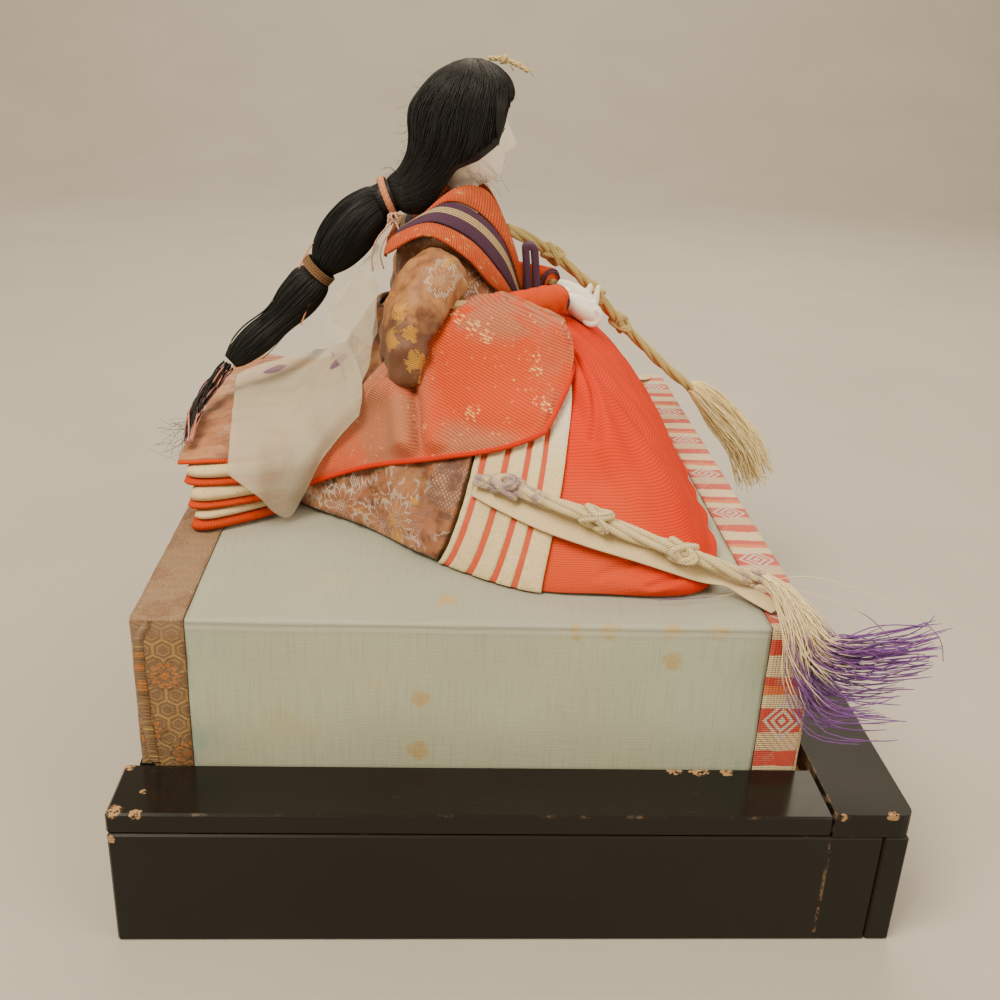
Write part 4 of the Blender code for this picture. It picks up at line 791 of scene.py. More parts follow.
def sleeve_look():
    """Ribbed twill of the wide sleeves: slanting ribs, a painted grey sheen over some real fading on the
    folds, top, front and rear, painted shade in the rib grooves, and gold in short wefts.
    """
    look = Look("sleeve_twill", 0.80, Sheen_Weight=0.05, Sheen_Roughness=0.4, Specular_IOR_Level=0.2)
    place = look.place()
    x, _, z = look.axes()
    across = look.slant(0.36, 0.93)
    along = look.slant(0.93, -0.36)
    rib = look.wave(look.sum(across, look.times(look.noise(place, 10 * MM, 2), 0.8 * MM)), 0.80 * MM)
    fade = look.noise(place, 13 * MM, 4, 0.55)
    grain = look.noise(place, 0.7 * MM, 3, 0.7)
    rear = look.step(x, -22 * MM, -34 * MM)
    top = look.times(look.step(z, 147 * MM, 154 * MM), look.patches(place, 9 * MM, 0.34, 0.56, 3))
    front = look.times(look.step(x, 2 * MM, 14 * MM), look.patches(place, 12 * MM, 0.32, 0.56, 3))
    valley = look.times(look.step(z, 131 * MM, 125 * MM), look.step(x, -30 * MM, -18 * MM),
                        look.step(x, 6 * MM, -4 * MM))
    patchy = look.patches(place, 17 * MM, 0.36, 0.60, 3)
    # Grey sheen painted on the top, front, crease valley and rear of the sleeve, over some of the silk's own
    # fading.
    fade_and_sheen = look.most([look.times(top, 0.85), look.times(front, 0.5), look.times(valley, 0.8),
                        look.times(rear, look.scaled(patchy, 0.55, 0.35))])
    red = look.mix((0.60, 0.042, 0.005), (0.56, 0.075, 0.012), fade)
    # bloom is the colour of the painted grey sheen.
    bloom = look.mix((0.345, 0.165, 0.088), (0.30, 0.175, 0.110), fade)
    shade = look.tint(red, bloom, fade_and_sheen, look.scaled(grain, 0.7, 0.5))
    # Painted shade in the rib grooves, weaker at the rear.
    groove_shade = look.times(look.step(rib, 0.50, 1.0), look.scaled(rear, -0.30, 0.62))
    shade = look.mix(shade, (0.24, 0.026, 0.006), groove_shade)
    clusters = [((-20, -42, 157), 3.2), ((-17.5, -45, 154), 3.0), ((-13.5, -49, 154), 3.4),
                ((-9, -52, 151), 3.0), ((5.8, -55.5, 145.5), 2.6), ((6.2, -59, 142.5), 2.8),
                ((6.6, -69, 136), 2.6), ((8.5, -70.5, 133.5), 3), ((-13.6, -67.7, 131.5), 3.2),
                ((-20, -62, 140), 2.2), ((-27, -66, 125), 2.6), ((-6, -64, 140), 2.2)]
    spots = []
    for (x_place, y_place, z_place), radius in clusters:
        spots += look.spots([((x_place, side * y_place, z_place), radius) for side in (1, -1)])
    ragged = look.step(look.sum(look.most(spots), look.noise(place, 2.2 * MM, 2)), 0.62, 0.80)
    wefts = look.vector(look.times(along, 0.55), look.times(across, 1.0))
    dash = look.patches(wefts, 0.8 * MM, 0.48, 0.56, 1)
    speck = look.times(look.patches(wefts, 0.9 * MM, 0.66, 0.70, 2), look.step(fade, 0.44, 0.58))
    gold = look.times(look.most([look.times(ragged, dash), speck]), look.step(rib, 0.40, 0.70))
    shade = look.mix(shade, (0.82, 0.55, 0.20), gold)
    look.set("Metallic", look.times(gold, 0.4))
    look.bump(look.sum(look.times(rib, -0.8), look.times(gold, 0.7), look.times(grain, 0.25)), 0.20 * MM)
    return look.done(shade)


def rose_brocade_look(name, kind):
    """Rose and gold brown brocade with silver flowers, scrolls, a dotted lattice and scattered gold wefts."""
    look = Look(name, 0.52, Sheen_Weight=0.10, Sheen_Roughness=0.35)
    place = look.place()
    x, y, z = look.axes()
    if kind == "lap":
        u, v, petals_at = look.sum(x, look.times(look.math("ABSOLUTE", y), 0.35)), z, None
        tones = (0.085, 0.024, 0.008), (0.26, 0.092, 0.033), (0.37, 0.165, 0.060)
    elif kind == "flat":
        u, v, petals_at = x, y, None
        tones = (0.24, 0.080, 0.034), (0.42, 0.175, 0.080), (0.48, 0.235, 0.115)
    else:
        u, v, petals_at = x, z, (-23.5 * MM, 166.5 * MM, 4.6 * MM)
        tones = (0.20, 0.070, 0.020), (0.36, 0.155, 0.050), (0.43, 0.215, 0.082)
    pull = (1, 1, 0.35) if kind == "shoulder" else (0.45, 0.45, 1)
    fine = look.noise(look.stretched(*pull), 3.2 * MM, 5, 0.62)
    broad = look.noise(place, 15 * MM, 3)
    base = look.mix(tones[0], tones[1], look.step(fine, 0.34, 0.60))
    base = look.tint(base, tones[2], look.step(broad, 0.48, 0.66), 0.8)
    if petals_at:
        far, turn = look.bloom(u, v, *petals_at)
        uneven = look.times(look.noise(place, 6 * MM, 4, 0.65), 26 * MM)
        low = look.step(look.sum(z, uneven), 172 * MM, 164 * MM)
        base = look.tint(base, (0.075, 0.021, 0.007), low, 0.85)
    else:
        far, turn = look.flower(u, v, 19 * MM, 12)
    petal = look.math("ABSOLUTE", look.math("COSINE", look.times(turn, 6.0)))
    outline = look.times(look.step(far, 1.10, 1.0), look.step(far, 0.78, 0.88))
    ray = look.times(look.step(petal, 0.34, 0.14), look.step(far, 0.95, 0.85), look.step(far, 0.32, 0.42))
    heart = look.times(look.step(far, 0.34, 0.26), look.step(look.wave(far, 0.13), 0.4, 0.7))
    swirl = look.apart(look.noise(look.vector(u, v), 5 * MM, 1), 0.5)
    reach = 1.35 if petals_at else 1.75
    halo = look.times(look.step(far, reach, reach - 0.3), look.step(far, 1.0, 1.1))
    scroll = look.times(look.step(swirl, 0.045, 0.022), halo)
    slanted = look.sum(u, look.times(v, 0.5))
    stitched = look.step(look.wave(slanted, 0.75 * MM), 0.20, 0.50)
    kept = 1.0 if petals_at else look.patches(place, 15 * MM, 0.40, 0.52, 2)
    silver = look.times(look.most([outline, ray, heart, scroll]), stitched, kept)
    base = look.tint(base, (0.36, 0.15, 0.085), look.step(far, 0.9, 0.8), 0.15 if petals_at else 0.35)
    base = look.tint(base, (0.60, 0.52, 0.43), silver, 0.9)
    if kind == "lap":
        dots = look.times(look.step(look.wave(look.sum(u, v), 1.5 * MM), 0.62, 0.78),
                          look.step(look.wave(look.sum(u, look.times(v, -1.0)), 1.5 * MM), 0.35, 0.6))
        field = look.near((-20 * MM, -79 * MM, 112 * MM), 11 * MM)
        lattice = look.times(dots, look.step(field, 0.25, 0.45), look.step(far, 1.0, 1.15),
                             look.step(fine, 0.40, 0.55))
        base = look.tint(base, (0.10, 0.045, 0.035), look.step(field, 0.25, 0.45), 0.35)
        base = look.tint(base, (0.50, 0.42, 0.34), lattice, 0.55)
    leafy = look.noise(look.vector(u, look.times(v, 1.8)), 6 * MM, 3, 0.6)
    wild = look.times(look.step(leafy, 0.60, 0.65), look.patches(place, 16 * MM, 0.50, 0.58, 2))
    golds = {
        "lap": [((-36, -76, 92), 5), ((-38, -72, 97), 4), ((-60, -48, 104), 4)],
        "flat": [],
        "shoulder": [((-36, -48, 157), 6), ((-39, -51, 149), 6), ((-33, -51, 151), 5), ((-31, -54, 143), 6),
                     ((-29, -55, 137), 5)],
    }[kind]
    spots = look.spots(golds)
    if spots:
        ragged = look.scaled(look.noise(place, 2.6 * MM, 4, 0.7), 3.0, -1.5)
        torn = look.step(look.sum(look.most(spots), ragged), 0.62, 0.80)
        wild = look.most([wild, torn])
    gold = look.times(wild, look.step(look.wave(look.sum(v, look.times(u, 0.3)), 0.6 * MM), 0.05, 0.3))
    base = look.tint(base, (0.66, 0.33, 0.035), gold, 0.85)
    satin = look.wave(look.sum(look.times(u, 0.8), v), 0.5 * MM)
    base = look.tint(base, (0.07, 0.020, 0.009), look.step(satin, 0.5, 1.0), 0.38)
    look.set("Metallic", look.times(look.most([gold, silver]), 0.35))
    look.bump(look.sum(look.times(satin, 0.2), look.times(silver, 0.5), look.times(gold, 0.5),
                       look.times(fine, 2.0)), 0.26 * MM)
    return look.done(base)


def crepe_look(name, light, dark):
    look = Look(name, 0.85, Sheen_Weight=0.04)
    place = look.place()
    crinkle = look.noise(look.stretched(1, 1, 0.6), 0.9 * MM, 4, 0.65)
    tone = look.noise(place, 14 * MM, 3)
    shade = look.mix(light, dark, look.step(tone, 0.3, 0.8))
    shade = look.tint(shade, tuple(c * 0.55 for c in dark), look.step(crinkle, 0.52, 0.72), 0.5)
    look.bump(crinkle, 0.30 * MM)
    return look.done(shade)


HEM_BAND_ENDS = (0.240, 0.440, 0.665, 0.890)
HEM_RED_SHARE = 0.060


def hem_look():
    """Cream crepe bands with an orange line behind each."""
    look = Look("hem_bands", 0.85, Sheen_Weight=0.04)
    u = look.cloth()[0]
    place = look.place()
    crinkle = look.noise(look.stretched(1, 1, 0.7), 0.75 * MM, 4, 0.7)
    tone = look.noise(place, 14 * MM, 3)
    cream = look.mix((0.68, 0.55, 0.31), (0.60, 0.47, 0.26), look.step(tone, 0.3, 0.8))
    cream = look.mix(cream, (0.72, 0.65, 0.54), look.step(look.axes()[2], 118 * MM, 134 * MM))
    cream = look.tint(cream, (0.38, 0.26, 0.12), look.step(crinkle, 0.42, 0.72), 0.42)
    red = look.mix((0.52, 0.040, 0.008), (0.46, 0.085, 0.035), look.noise(place, 5 * MM, 3))
    lines = []
    for end in HEM_BAND_ENDS:
        lines.append(look.times(look.step(u, end - 0.006, end + 0.004),
                                look.step(u, end + HEM_RED_SHARE + 0.004, end + HEM_RED_SHARE - 0.006)))
    line = look.most(lines)
    shade = look.mix(cream, red, line)
    look.bump(look.times(crinkle, look.scaled(line, -0.7, 1.0)), 0.38 * MM)
    return look.done(shade)


def purple_look(striped):
    look = Look("purple_cloth" + ("_striped" if striped else ""), 0.80, Sheen_Weight=0.03)
    u, v = look.cloth()
    place = look.place()
    thread = look.wave(u, 0.6 * MM)
    shade = look.mix((0.038, 0.008, 0.036), (0.060, 0.018, 0.050), look.noise(place, 6 * MM, 4))
    height = look.times(thread, 0.5)
    if striped:
        lines = []
        for middle in (0.33, 0.405, 0.48, 0.555):
            lines.append(look.step(look.apart(v, middle), 0.030, 0.014))
        line = look.most(lines)
        field = look.times(look.step(v, 0.28, 0.31), look.step(v, 0.60, 0.57))
        shade = look.tint(shade, (0.22, 0.14, 0.065), field, 0.85)
        knots = look.step(look.wave(u, 1.1 * MM), 0.1, 0.5)
        gold = look.times(line, look.scaled(knots, 0.25, 0.75))
        shade = look.mix(shade, (0.62, 0.49, 0.27), gold)
        look.set("Metallic", look.times(gold, 0.45))
        height = look.sum(height, look.times(gold, 1.2))
    look.bump(height, 0.18 * MM)
    return look.done(shade)


def gauze_look(name, thin, thick):
    look = Look(name, 0.85)
    u, v = look.cloth()
    place = look.place()
    first = look.wave(look.sum(u, look.times(v, 0.4)), 0.48 * MM)
    second = look.wave(look.sum(v, look.times(u, -0.4)), 0.48 * MM)
    slub = look.noise(look.vector(look.times(u, 0.1), v), 1.2 * MM, 3)
    threads = look.most([first, second])
    shade = look.mix((0.60, 0.52, 0.37), (0.46, 0.39, 0.27), look.noise(place, 16 * MM, 4))
    shade = look.tint(shade, (0.74, 0.70, 0.60), look.step(threads, 0.5, 1.0), 0.4)
    yellow = look.near((-54.8 * MM, -50 * MM, 155 * MM), 14 * MM)
    shade = look.tint(shade, (0.64, 0.50, 0.16), yellow, 0.45)
    leaves = look.most([look.near((-84.2 * MM, 11 * MM, 120.4 * MM), 6.5 * MM),
                        look.near((-57.8 * MM, -25.5 * MM, 134.3 * MM), 5.5 * MM)])
    leaf = look.step(look.sum(leaves, look.times(look.noise(place, 2 * MM, 2), 0.6)), 0.62, 0.78)
    shade = look.tint(shade, (0.16, 0.065, 0.18), leaf, 0.9)
    scribble = look.near((-53.5 * MM, -38 * MM, 133.6 * MM), 5 * MM)
    line = look.step(look.apart(look.noise(place, 4 * MM, 2), 0.5), 0.025, 0.008)
    shade = look.tint(shade, (0.24, 0.15, 0.08), scribble, line, 0.6)
    look.set("Alpha", look.scaled(look.step(threads, 0.35, 0.8), thick - thin, thin))
    look.bump(look.sum(threads, look.times(slub, 0.8)), 0.05 * MM)
    return look.done(shade)


def braid_look(name, light, dark, purple_shade):
    """Plaited silk: fine slanting yarns, with purple-dark shade painted near some places."""
    look = Look(name, 0.8, Sheen_Weight=0.15)
    u, v = look.cloth()
    place = look.place()
    lay = look.wave(look.sum(v, look.times(u, 0.9)), 0.85 * MM)
    other = look.wave(look.sum(v, look.times(u, -0.9)), 0.85 * MM)
    yarn = look.most([lay, other])
    shade = look.mix(dark, light, look.step(yarn, 0.25, 0.8))
    shade = look.mix(shade, tuple(c * 0.8 for c in light), look.noise(place, 9 * MM, 3))
    # Purple-dark shade painted at the cord's start and by the tassel knot.
    spots = look.spots(purple_shade)
    if spots:
        shade_blot = look.times(look.most(spots), look.patches(place, 3 * MM, 0.36, 0.60, 3))
        shade = look.tint(shade, (0.21, 0.12, 0.22), shade_blot, 0.75)
    look.bump(yarn, 0.22 * MM)
    return look.done(shade)


def thread_look(name, light, dark, tip, tip_start):
    """Loose threads, whose own shade varies and whose ends may be dyed."""
    look = Look(name, 0.6, Sheen_Weight=0.2)
    u, v = look.cloth()
    shade = look.mix(light, dark, u)
    if tip:
        share = look.sum(v, look.times(look.less(u, 0.5), 0.22))
        dyed = look.step(share, tip_start - 0.06, tip_start + 0.08)
        shade = look.mix(shade,
                         look.mix(tip, tuple(c * 0.5 for c in tip), look.noise(look.place(), 3 * MM, 2)),
                         dyed)
    return look.done(shade)


def ribbon_look():
    look = Look("ribbon_silk", 0.8, Sheen_Weight=0.15)
    u, v = look.cloth()
    place = look.place()
    thread = look.most([look.wave(v, 0.5 * MM), look.wave(u, 0.5 * MM)])
    shade = look.mix((0.72, 0.58, 0.33), (0.62, 0.47, 0.25), look.noise(place, 12 * MM, 4))
    # Painted shade under the near tassel and cord, with a purple spot in it.
    purple_shade = look.near((72 * MM, -97 * MM, 91 * MM), 12 * MM)
    shade = look.tint(shade, (0.42, 0.28, 0.27), purple_shade, look.noise(place, 4 * MM, 3), 0.5)
    look.bump(thread, 0.12 * MM)
    return look.done(shade)


LOOKS = {
    "lacquer": lacquer_look(),
    "bare_wood": wood_look("bare_wood", (0.50, 0.34, 0.19), (0.28, 0.17, 0.08)),
    "block": wood_look("block", (0.55, 0.40, 0.24), (0.38, 0.26, 0.14)),
    "straw": straw_look(),
    "silk": silk_look(),
    "stripe": stripe_look(),
    "gold_brocade": gold_brocade_look(),
    "gofun": gofun_look(),
    "hair": hair_look(),
    "hakama": hakama_look(),
    "red_silk": red_silk_look(),
    "collar": collar_look(),
    "sleeve": sleeve_look(),
    "lap_brocade": rose_brocade_look("lap_brocade", "lap"),
    "train_brocade": rose_brocade_look("train_brocade", "flat"),
    "shoulder_brocade": rose_brocade_look("shoulder_brocade", "shoulder"),
    "crepe": crepe_look("cream_crepe", (0.66, 0.52, 0.29), (0.52, 0.38, 0.19)),
    "hem": hem_look(),
    "purple": purple_look(False),
    "purple_striped": purple_look(True),
    "gauze": gauze_look("gauze", 0.24, 0.54),
    "veil": gauze_look("veil", 0.11, 0.32),
    "paper": paper_look("paper_tie", (0.70, 0.30, 0.17), (0.40, 0.10, 0.05), 1.6 * MM),
    "string": paper_look("twisted_string", (0.62, 0.40, 0.28), (0.30, 0.12, 0.07), 1.2 * MM),
    "brown_tie": paper_look("brown_tie", (0.22, 0.115, 0.045), (0.09, 0.042, 0.016), 1.0 * MM),
    "straw_twist": paper_look("straw_twist", (0.66, 0.54, 0.26), (0.36, 0.26, 0.09), 1.1 * MM),
    # Places of painted purple shade on the cream cord.
    "cream_cord": braid_look("cream_cord", (0.76, 0.62, 0.34), (0.40, 0.27, 0.11),
                             [((-8, -89, 117), 10), ((-1, -94, 117), 9), ((4, -97, 116), 6),
                              ((68, -105, 97), 9)]),
    "yellow_cord": braid_look("yellow_cord", (0.68, 0.54, 0.19), (0.38, 0.26, 0.06), []),
    "cream_thread": thread_look("cream_thread", (0.78, 0.66, 0.41), (0.60, 0.47, 0.24), (0.17, 0.030, 0.30),
                                0.63),
    "yellow_thread": thread_look("yellow_thread", (0.88, 0.76, 0.44), (0.72, 0.56, 0.22), None, 1.0),
    "tail_thread": thread_look("tail_thread", (0.62, 0.20, 0.09), (0.20, 0.09, 0.14), None, 1.0),
    "ribbon": ribbon_look(),
}


# Camera

CAMERA_PLACE = Vector((-25.0, -395.7, 239.3)) * MM
CAMERA_LENS = 40.62
CAMERA_YAW = math.radians(3.711)
CAMERA_PITCH = math.radians(22.578)
CAMERA_ROLL = math.radians(2.696)


def make_camera():
    level = math.cos(CAMERA_PITCH)
    ahead = Vector((math.sin(CAMERA_YAW) * level, math.cos(CAMERA_YAW) * level, -math.sin(CAMERA_PITCH)))
    right = Vector((math.cos(CAMERA_YAW), -math.sin(CAMERA_YAW), 0))
    up = right.cross(ahead)
    rolled = right * math.cos(CAMERA_ROLL) + up * math.sin(CAMERA_ROLL)
    up = up * math.cos(CAMERA_ROLL) - right * math.sin(CAMERA_ROLL)
    camera = bpy.data.objects.new("camera", bpy.data.cameras.new("camera"))
    bpy.context.scene.collection.objects.link(camera)
    camera.data.lens = CAMERA_LENS
    camera.data.sensor_width = 36
    turned = Matrix((rolled, up, -ahead)).transposed().to_4x4()
    camera.matrix_world = Matrix.Translation(CAMERA_PLACE) @ turned
    bpy.context.scene.camera = camera


# Cords and tassels

CORD_ROUTES = {
    "near": [
        (-0.0120, -0.0856, 0.1164), (-0.0030, -0.0915, 0.1170), (0.0072, -0.0976, 0.1153),
        (0.0205, -0.1010, 0.1120), (0.0317, -0.1036, 0.1082), (0.0439, -0.1062, 0.1048),
        (0.0540, -0.1066, 0.1012), (0.0640, -0.1060, 0.0972), (0.0720, -0.1055, 0.0955),
    ],
    "far": [
        (-0.0012, 0.0114, 0.1744), (0.0105, 0.0232, 0.1680), (0.0237, 0.0320, 0.1585),
        (0.0350, 0.0410, 0.1480), (0.0470, 0.0500, 0.1345), (0.0590, 0.0570, 0.1230),
        (0.0720, 0.0640, 0.1110), (0.0850, 0.0700, 0.1005),
    ],
}
STRANDS = 4
STRAND_RADIUS = 1.06 * MM


def route_line(name, count):
    return curve_through(CORD_ROUTES[name], steps(count))


def cord_piece(name, knots, look):
    """Cord of four plaited strands side by side, with woven knots at places given in shares of its length."""
    count = 260
    line = route_line(name, count)
    side, other = frames_along(line)
    long = np.linspace(0, length_of(line), count)
    heap = Heap()
    for strand in range(STRANDS):
        phase = strand / STRANDS * ROUND
        angle = phase + long / (52 * MM) * ROUND
        spread = STRAND_RADIUS * (1.28 + 0.18 * np.sin(long / (9 * MM) + 2 * phase))
        middle = line + side * (spread * np.cos(angle) * 1.3)[:, None]
        middle += other * (spread * np.sin(angle) * 0.8)[:, None]
        heap.tube(middle, STRAND_RADIUS, 8)
    for number, share in enumerate(knots):
        near = int(share * (count - 1))
        along = unit(line[near + 1] - line[near - 1])
        turn = np.linspace(0, 2 * ROUND, 76)
        for start, reach, half in ((0.0, 2.95, 3.7), (1.9, 2.6, 2.5)):
            radial = reach * MM * (1 + 0.10 * np.cos(1.5 * turn + 0.7))
            ring = line[near] + side[near] * (radial * np.cos(turn + start))[:, None]
            ring = ring + other[near] * (0.80 * radial * np.sin(turn + start))[:, None]
            ring = ring + along * (half * MM * np.cos(1.5 * turn + number))[:, None]
            heap.tube(ring, STRAND_RADIUS * 1.02, 8)
    return heap.piece("cord_%s_braid" % name, LOOKS[look]), line


def tassel_piece(name, start):
    """Loose threads from a cord's end, through the rings of tables of places, widths and heights."""
    tables, count, look, seed = TASSELS[name]
    draw = np.random.default_rng(seed)
    first, last = np.array(tables[0]), np.array(tables[-1])
    heap = Heap()
    share = steps(22)
    for _ in range(count):
        angle = draw.uniform(0, ROUND)
        reach = math.sqrt(draw.uniform(0, 1))
        cut = draw.uniform(0.74, 1.04)
        clump = np.clip(draw.choice((0.08, 0.80)) + draw.normal() * 0.22, 0, 1.1)
        rows = curve_through(mix(first, last, clump), share * min(cut, 1.0))
        curl = draw.uniform(0, ROUND, 4)
        amount = share ** 1.3 * draw.uniform(0.3, 1.3) * (2.2 if len(tables) > 1 else 1.6) * MM
        across, upward = (
            rows[:, column] * reach * part + amount * np.sin(share * draw.uniform(5, 12) + bent)
            for column, part, bent in ((3, math.cos(angle), curl[0]), (4, math.sin(angle), curl[1])))
        path = start + rows[:, :3] * TASSEL_LENGTH
        tangent = unit(np.gradient(path, axis=0))
        level = unit(np.cross(tangent, (0, 0, 1.0)))
        path = path + level * across[:, None] + np.cross(level, tangent) * upward[:, None]
        path += tangent * (amount * np.sin(share * 9 + curl[2]))[:, None]
        heap.tube(path, THREAD_RADIUS * np.where(share > 0.97, 0.6, 1.0), 4, cloth=draw.uniform(0, 1))
    return heap.piece("tassel_%s_threads" % name, LOOKS[look])


TASSEL_LENGTH = 50 * MM
# Along, left and up in shares of the tassel's length, then its half width and half height in metres
NEAR_TASSEL = [
    [(0.00, 0.00, 0.00, 0.0020, 0.0020), (0.06, -0.16, 0.00, 0.0026, 0.0026),
     (0.14, -0.36, -0.05, 0.0034, 0.0034), (0.28, -0.47, -0.19, 0.0040, 0.0042),
     (0.60, -0.46, -0.17, 0.0042, 0.0046), (0.90, -0.45, -0.09, 0.0048, 0.0055)],
    [(0.00, 0.00, 0.00, 0.0020, 0.0020), (0.04, -0.18, -0.01, 0.0026, 0.0026),
     (0.06, -0.42, -0.10, 0.0036, 0.0034), (0.11, -0.52, -0.36, 0.0042, 0.0040),
     (0.27, -0.52, -0.60, 0.0046, 0.0050), (0.66, -0.50, -0.64, 0.0052, 0.0060)],
]
FAR_TASSEL = [
    [(0.00, 0.00, 0.00, 0.0022, 0.0022), (0.10, 0.01, -0.05, 0.0048, 0.0046),
     (0.30, 0.02, -0.24, 0.0064, 0.0068), (0.55, 0.04, -0.52, 0.0068, 0.0078),
     (0.72, 0.06, -0.86, 0.0070, 0.0086)],
]
THREAD_RADIUS = 0.17 * MM
# Tables of places, number of threads, look and seed
TASSELS = {"near": (NEAR_TASSEL, 180, "cream_thread", 3), "far": (FAR_TASSEL, 360, "yellow_thread", 4)}


def stray_threads():
    """A few long threads that leave the near tassel in loops."""
    heap = Heap()
    routes = [
        [(73, -106, 95), (84, -109, 98), (98, -113, 96), (112, -116, 91), (121, -118, 84), (124, -118, 76)],
        [(73, -106, 95), (82, -108, 93), (90, -111, 92), (101, -114, 88), (110, -116, 80)],
        [(73, -107, 95), (79, -112, 90), (82, -116, 80), (80, -118, 70), (84, -118, 62)],
        [(74, -104, 95), (64, -108, 92), (52, -111, 91.6), (40, -112, 91.2)],
        [(73, -107, 94), (82, -114, 84), (90, -117, 74), (92, -117, 64), (99, -117, 58)],
    ]
    for i, route in enumerate(routes):
        path = trace(route, 40)
        heap.tube(path, 0.13 * MM, 4, cloth=0.95 if i == 3 else 0.3)
    return heap.piece("stray_threads", LOOKS["cream_thread"])


def build_cords():
    for name, knots, look, exit_place in (
            ("near", (0.12, 0.39, 0.66), "cream_cord", CORD_ROUTES["near"][0]),
            ("far", (0.22, 0.45, 0.60), "yellow_cord", CORD_ROUTES["far"][0])):
        piece, line = cord_piece(name, knots, look)
        dress(piece, "doll", look, "cord_" + name)
        threads = tassel_piece(name, line[-1])
        dress(threads, "doll", look, "tassel_" + name)
        going = [threads] + ([dress(stray_threads(), "doll", look)] if name == "near" else [])
        length_of(line)


# Stand and platform

KEPT_NODES = {
    "lacquer": ("left_plank", "right_plank", "front_plank", "left_apron", "right_apron", "front_apron",
                "back_board"),
    "bare_wood": ("base_deck", "deck_batten_left", "deck_batten_right", "neck_peg"),
    "block": ("platform_core",),
    "straw": ("body_core", "arm_core_left", "arm_core_right"),
}


def finish_kept_nodes():
    """Give the solids that stay as they are in the frame their looks."""
    for look, nodes in KEPT_NODES.items():
        for node in nodes:
            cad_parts[node].material_slots[0].material = LOOKS[look]


def wrap_line(reach, low, top, radius, step=1.1 * MM):
    """Line in Y and Z up the platform's near side, over its top and down the far side, with its length."""
    flat = np.arange(0, 1, step / (2 * reach))
    rise = np.arange(0, 1, step / (top - low))
    bend = steps(6)[:-1] * math.pi / 2
    parts = [np.stack([np.full(len(rise), -reach), mix(low, top - radius, rise)], 1),
             np.stack([-reach + radius - radius * np.cos(bend), top - radius + radius * np.sin(bend)], 1),
             np.stack([mix(-reach + radius, reach - radius, flat), np.full(len(flat), top)], 1),
             np.stack([reach - radius + radius * np.sin(bend), top - radius + radius * np.cos(bend)], 1),
             np.stack([np.full(len(rise), reach), mix(top - radius, low, rise)], 1), [[reach, low]]]
    line = np.concatenate(parts)
    return line, lengths_along(line)


def wrap_cloth(node, lift, wavelength, radius, seed):
    """Cloth over the top and both sides of the platform, uneven by a small lift."""
    low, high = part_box(node)
    line, long = wrap_line(high.y, low.z, high.z, radius)
    columns = max(8, int((high.x - low.x) / (1.2 * MM)))
    across = np.linspace(low.x, high.x, columns)
    grid = np.empty((columns, len(line), 3))
    grid[..., 0] = across[:, None]
    grid[..., 1:] = line[None]
    normal = normals_of(grid)
    outward = np.where((normal * (grid - grid.mean((0, 1)))).sum(-1, keepdims=True) < 0, -normal, normal)
    uneven = (ripple(grid, wavelength, seed) - 1) * lift / 2
    uneven += np.where(grid[..., 2] > high.z - radius, 0.0, -0.3 * lift)
    outer = grid + outward * uneven[..., None]
    inner = outer - outward * 0.45 * MM
    heap = Heap()
    heap.shell(inner, outer, (high.x - low.x, long[-1]))
    cloth = heap.cloth[0].reshape(2, columns, len(line), 2)
    cloth[..., 1] = long
    return heap


def end_wall(heap, node, profile, rows_uneven):
    """Add a wall across the end of a wrapped cloth, along a profile of X and Z."""
    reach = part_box(node)[1].y
    columns = 200
    y = np.linspace(-reach, reach, columns)
    grid = np.empty((columns, len(profile), 3))
    grid[..., 1] = y[:, None]
    grid[..., 0] = profile[None, :, 0]
    grid[..., 2] = profile[None, :, 1]
    uneven = ripple(grid, 14 * MM, 31) * rows_uneven
    outer = grid + np.array((1, 0, 0)) * uneven[..., None]
    inner = outer - np.array((1, 0, 0)) * 0.5 * MM
    heap.shell(inner, outer, (2 * reach, float(np.ptp(profile[:, 1]))))
    heap.cloth[-1] = heap.cloth[-1][:, ::-1] + np.array((0, 52 * MM))


def build_platform():
    heap = wrap_cloth("silk_cover", 0.5 * MM, 26 * MM, 1.6 * MM, 11)
    silk = dress(heap.piece("silk_wrap", LOOKS["silk"]), "platform", "silk", "silk_cover")
    low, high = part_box("silk_cover")
    low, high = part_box("front_edging")
    heap = wrap_cloth("front_edging", 0.25 * MM, 9 * MM, 1.2 * MM, 12)
    rise = steps(44)[:, None]
    profile = np.concatenate([np.full((44, 1), high.x - 0.25 * MM), mix(low.z, high.z - 0.4 * MM, rise)], 1)
    end_wall(heap, "front_edging", profile, 0.12 * MM)
    front = dress(heap.piece("front_stripes", LOOKS["stripe"]), "platform", "stripe_cloth", "front_edging")
    heap = wrap_cloth("back_edging", 0.4 * MM, 8 * MM, 1.2 * MM, 13)
    dress(heap.piece("back_brocade", LOOKS["gold_brocade"]), "platform", "gold_brocade", "back_edging")


BULGE = [(0.10, 0.0), (0.62, 0.02), (0.80, 0.28), (0.97, 0.62), (1.0, 0.80), (0.86, 0.88), (0.20, 0.97),
         (-0.3, 0.985)]


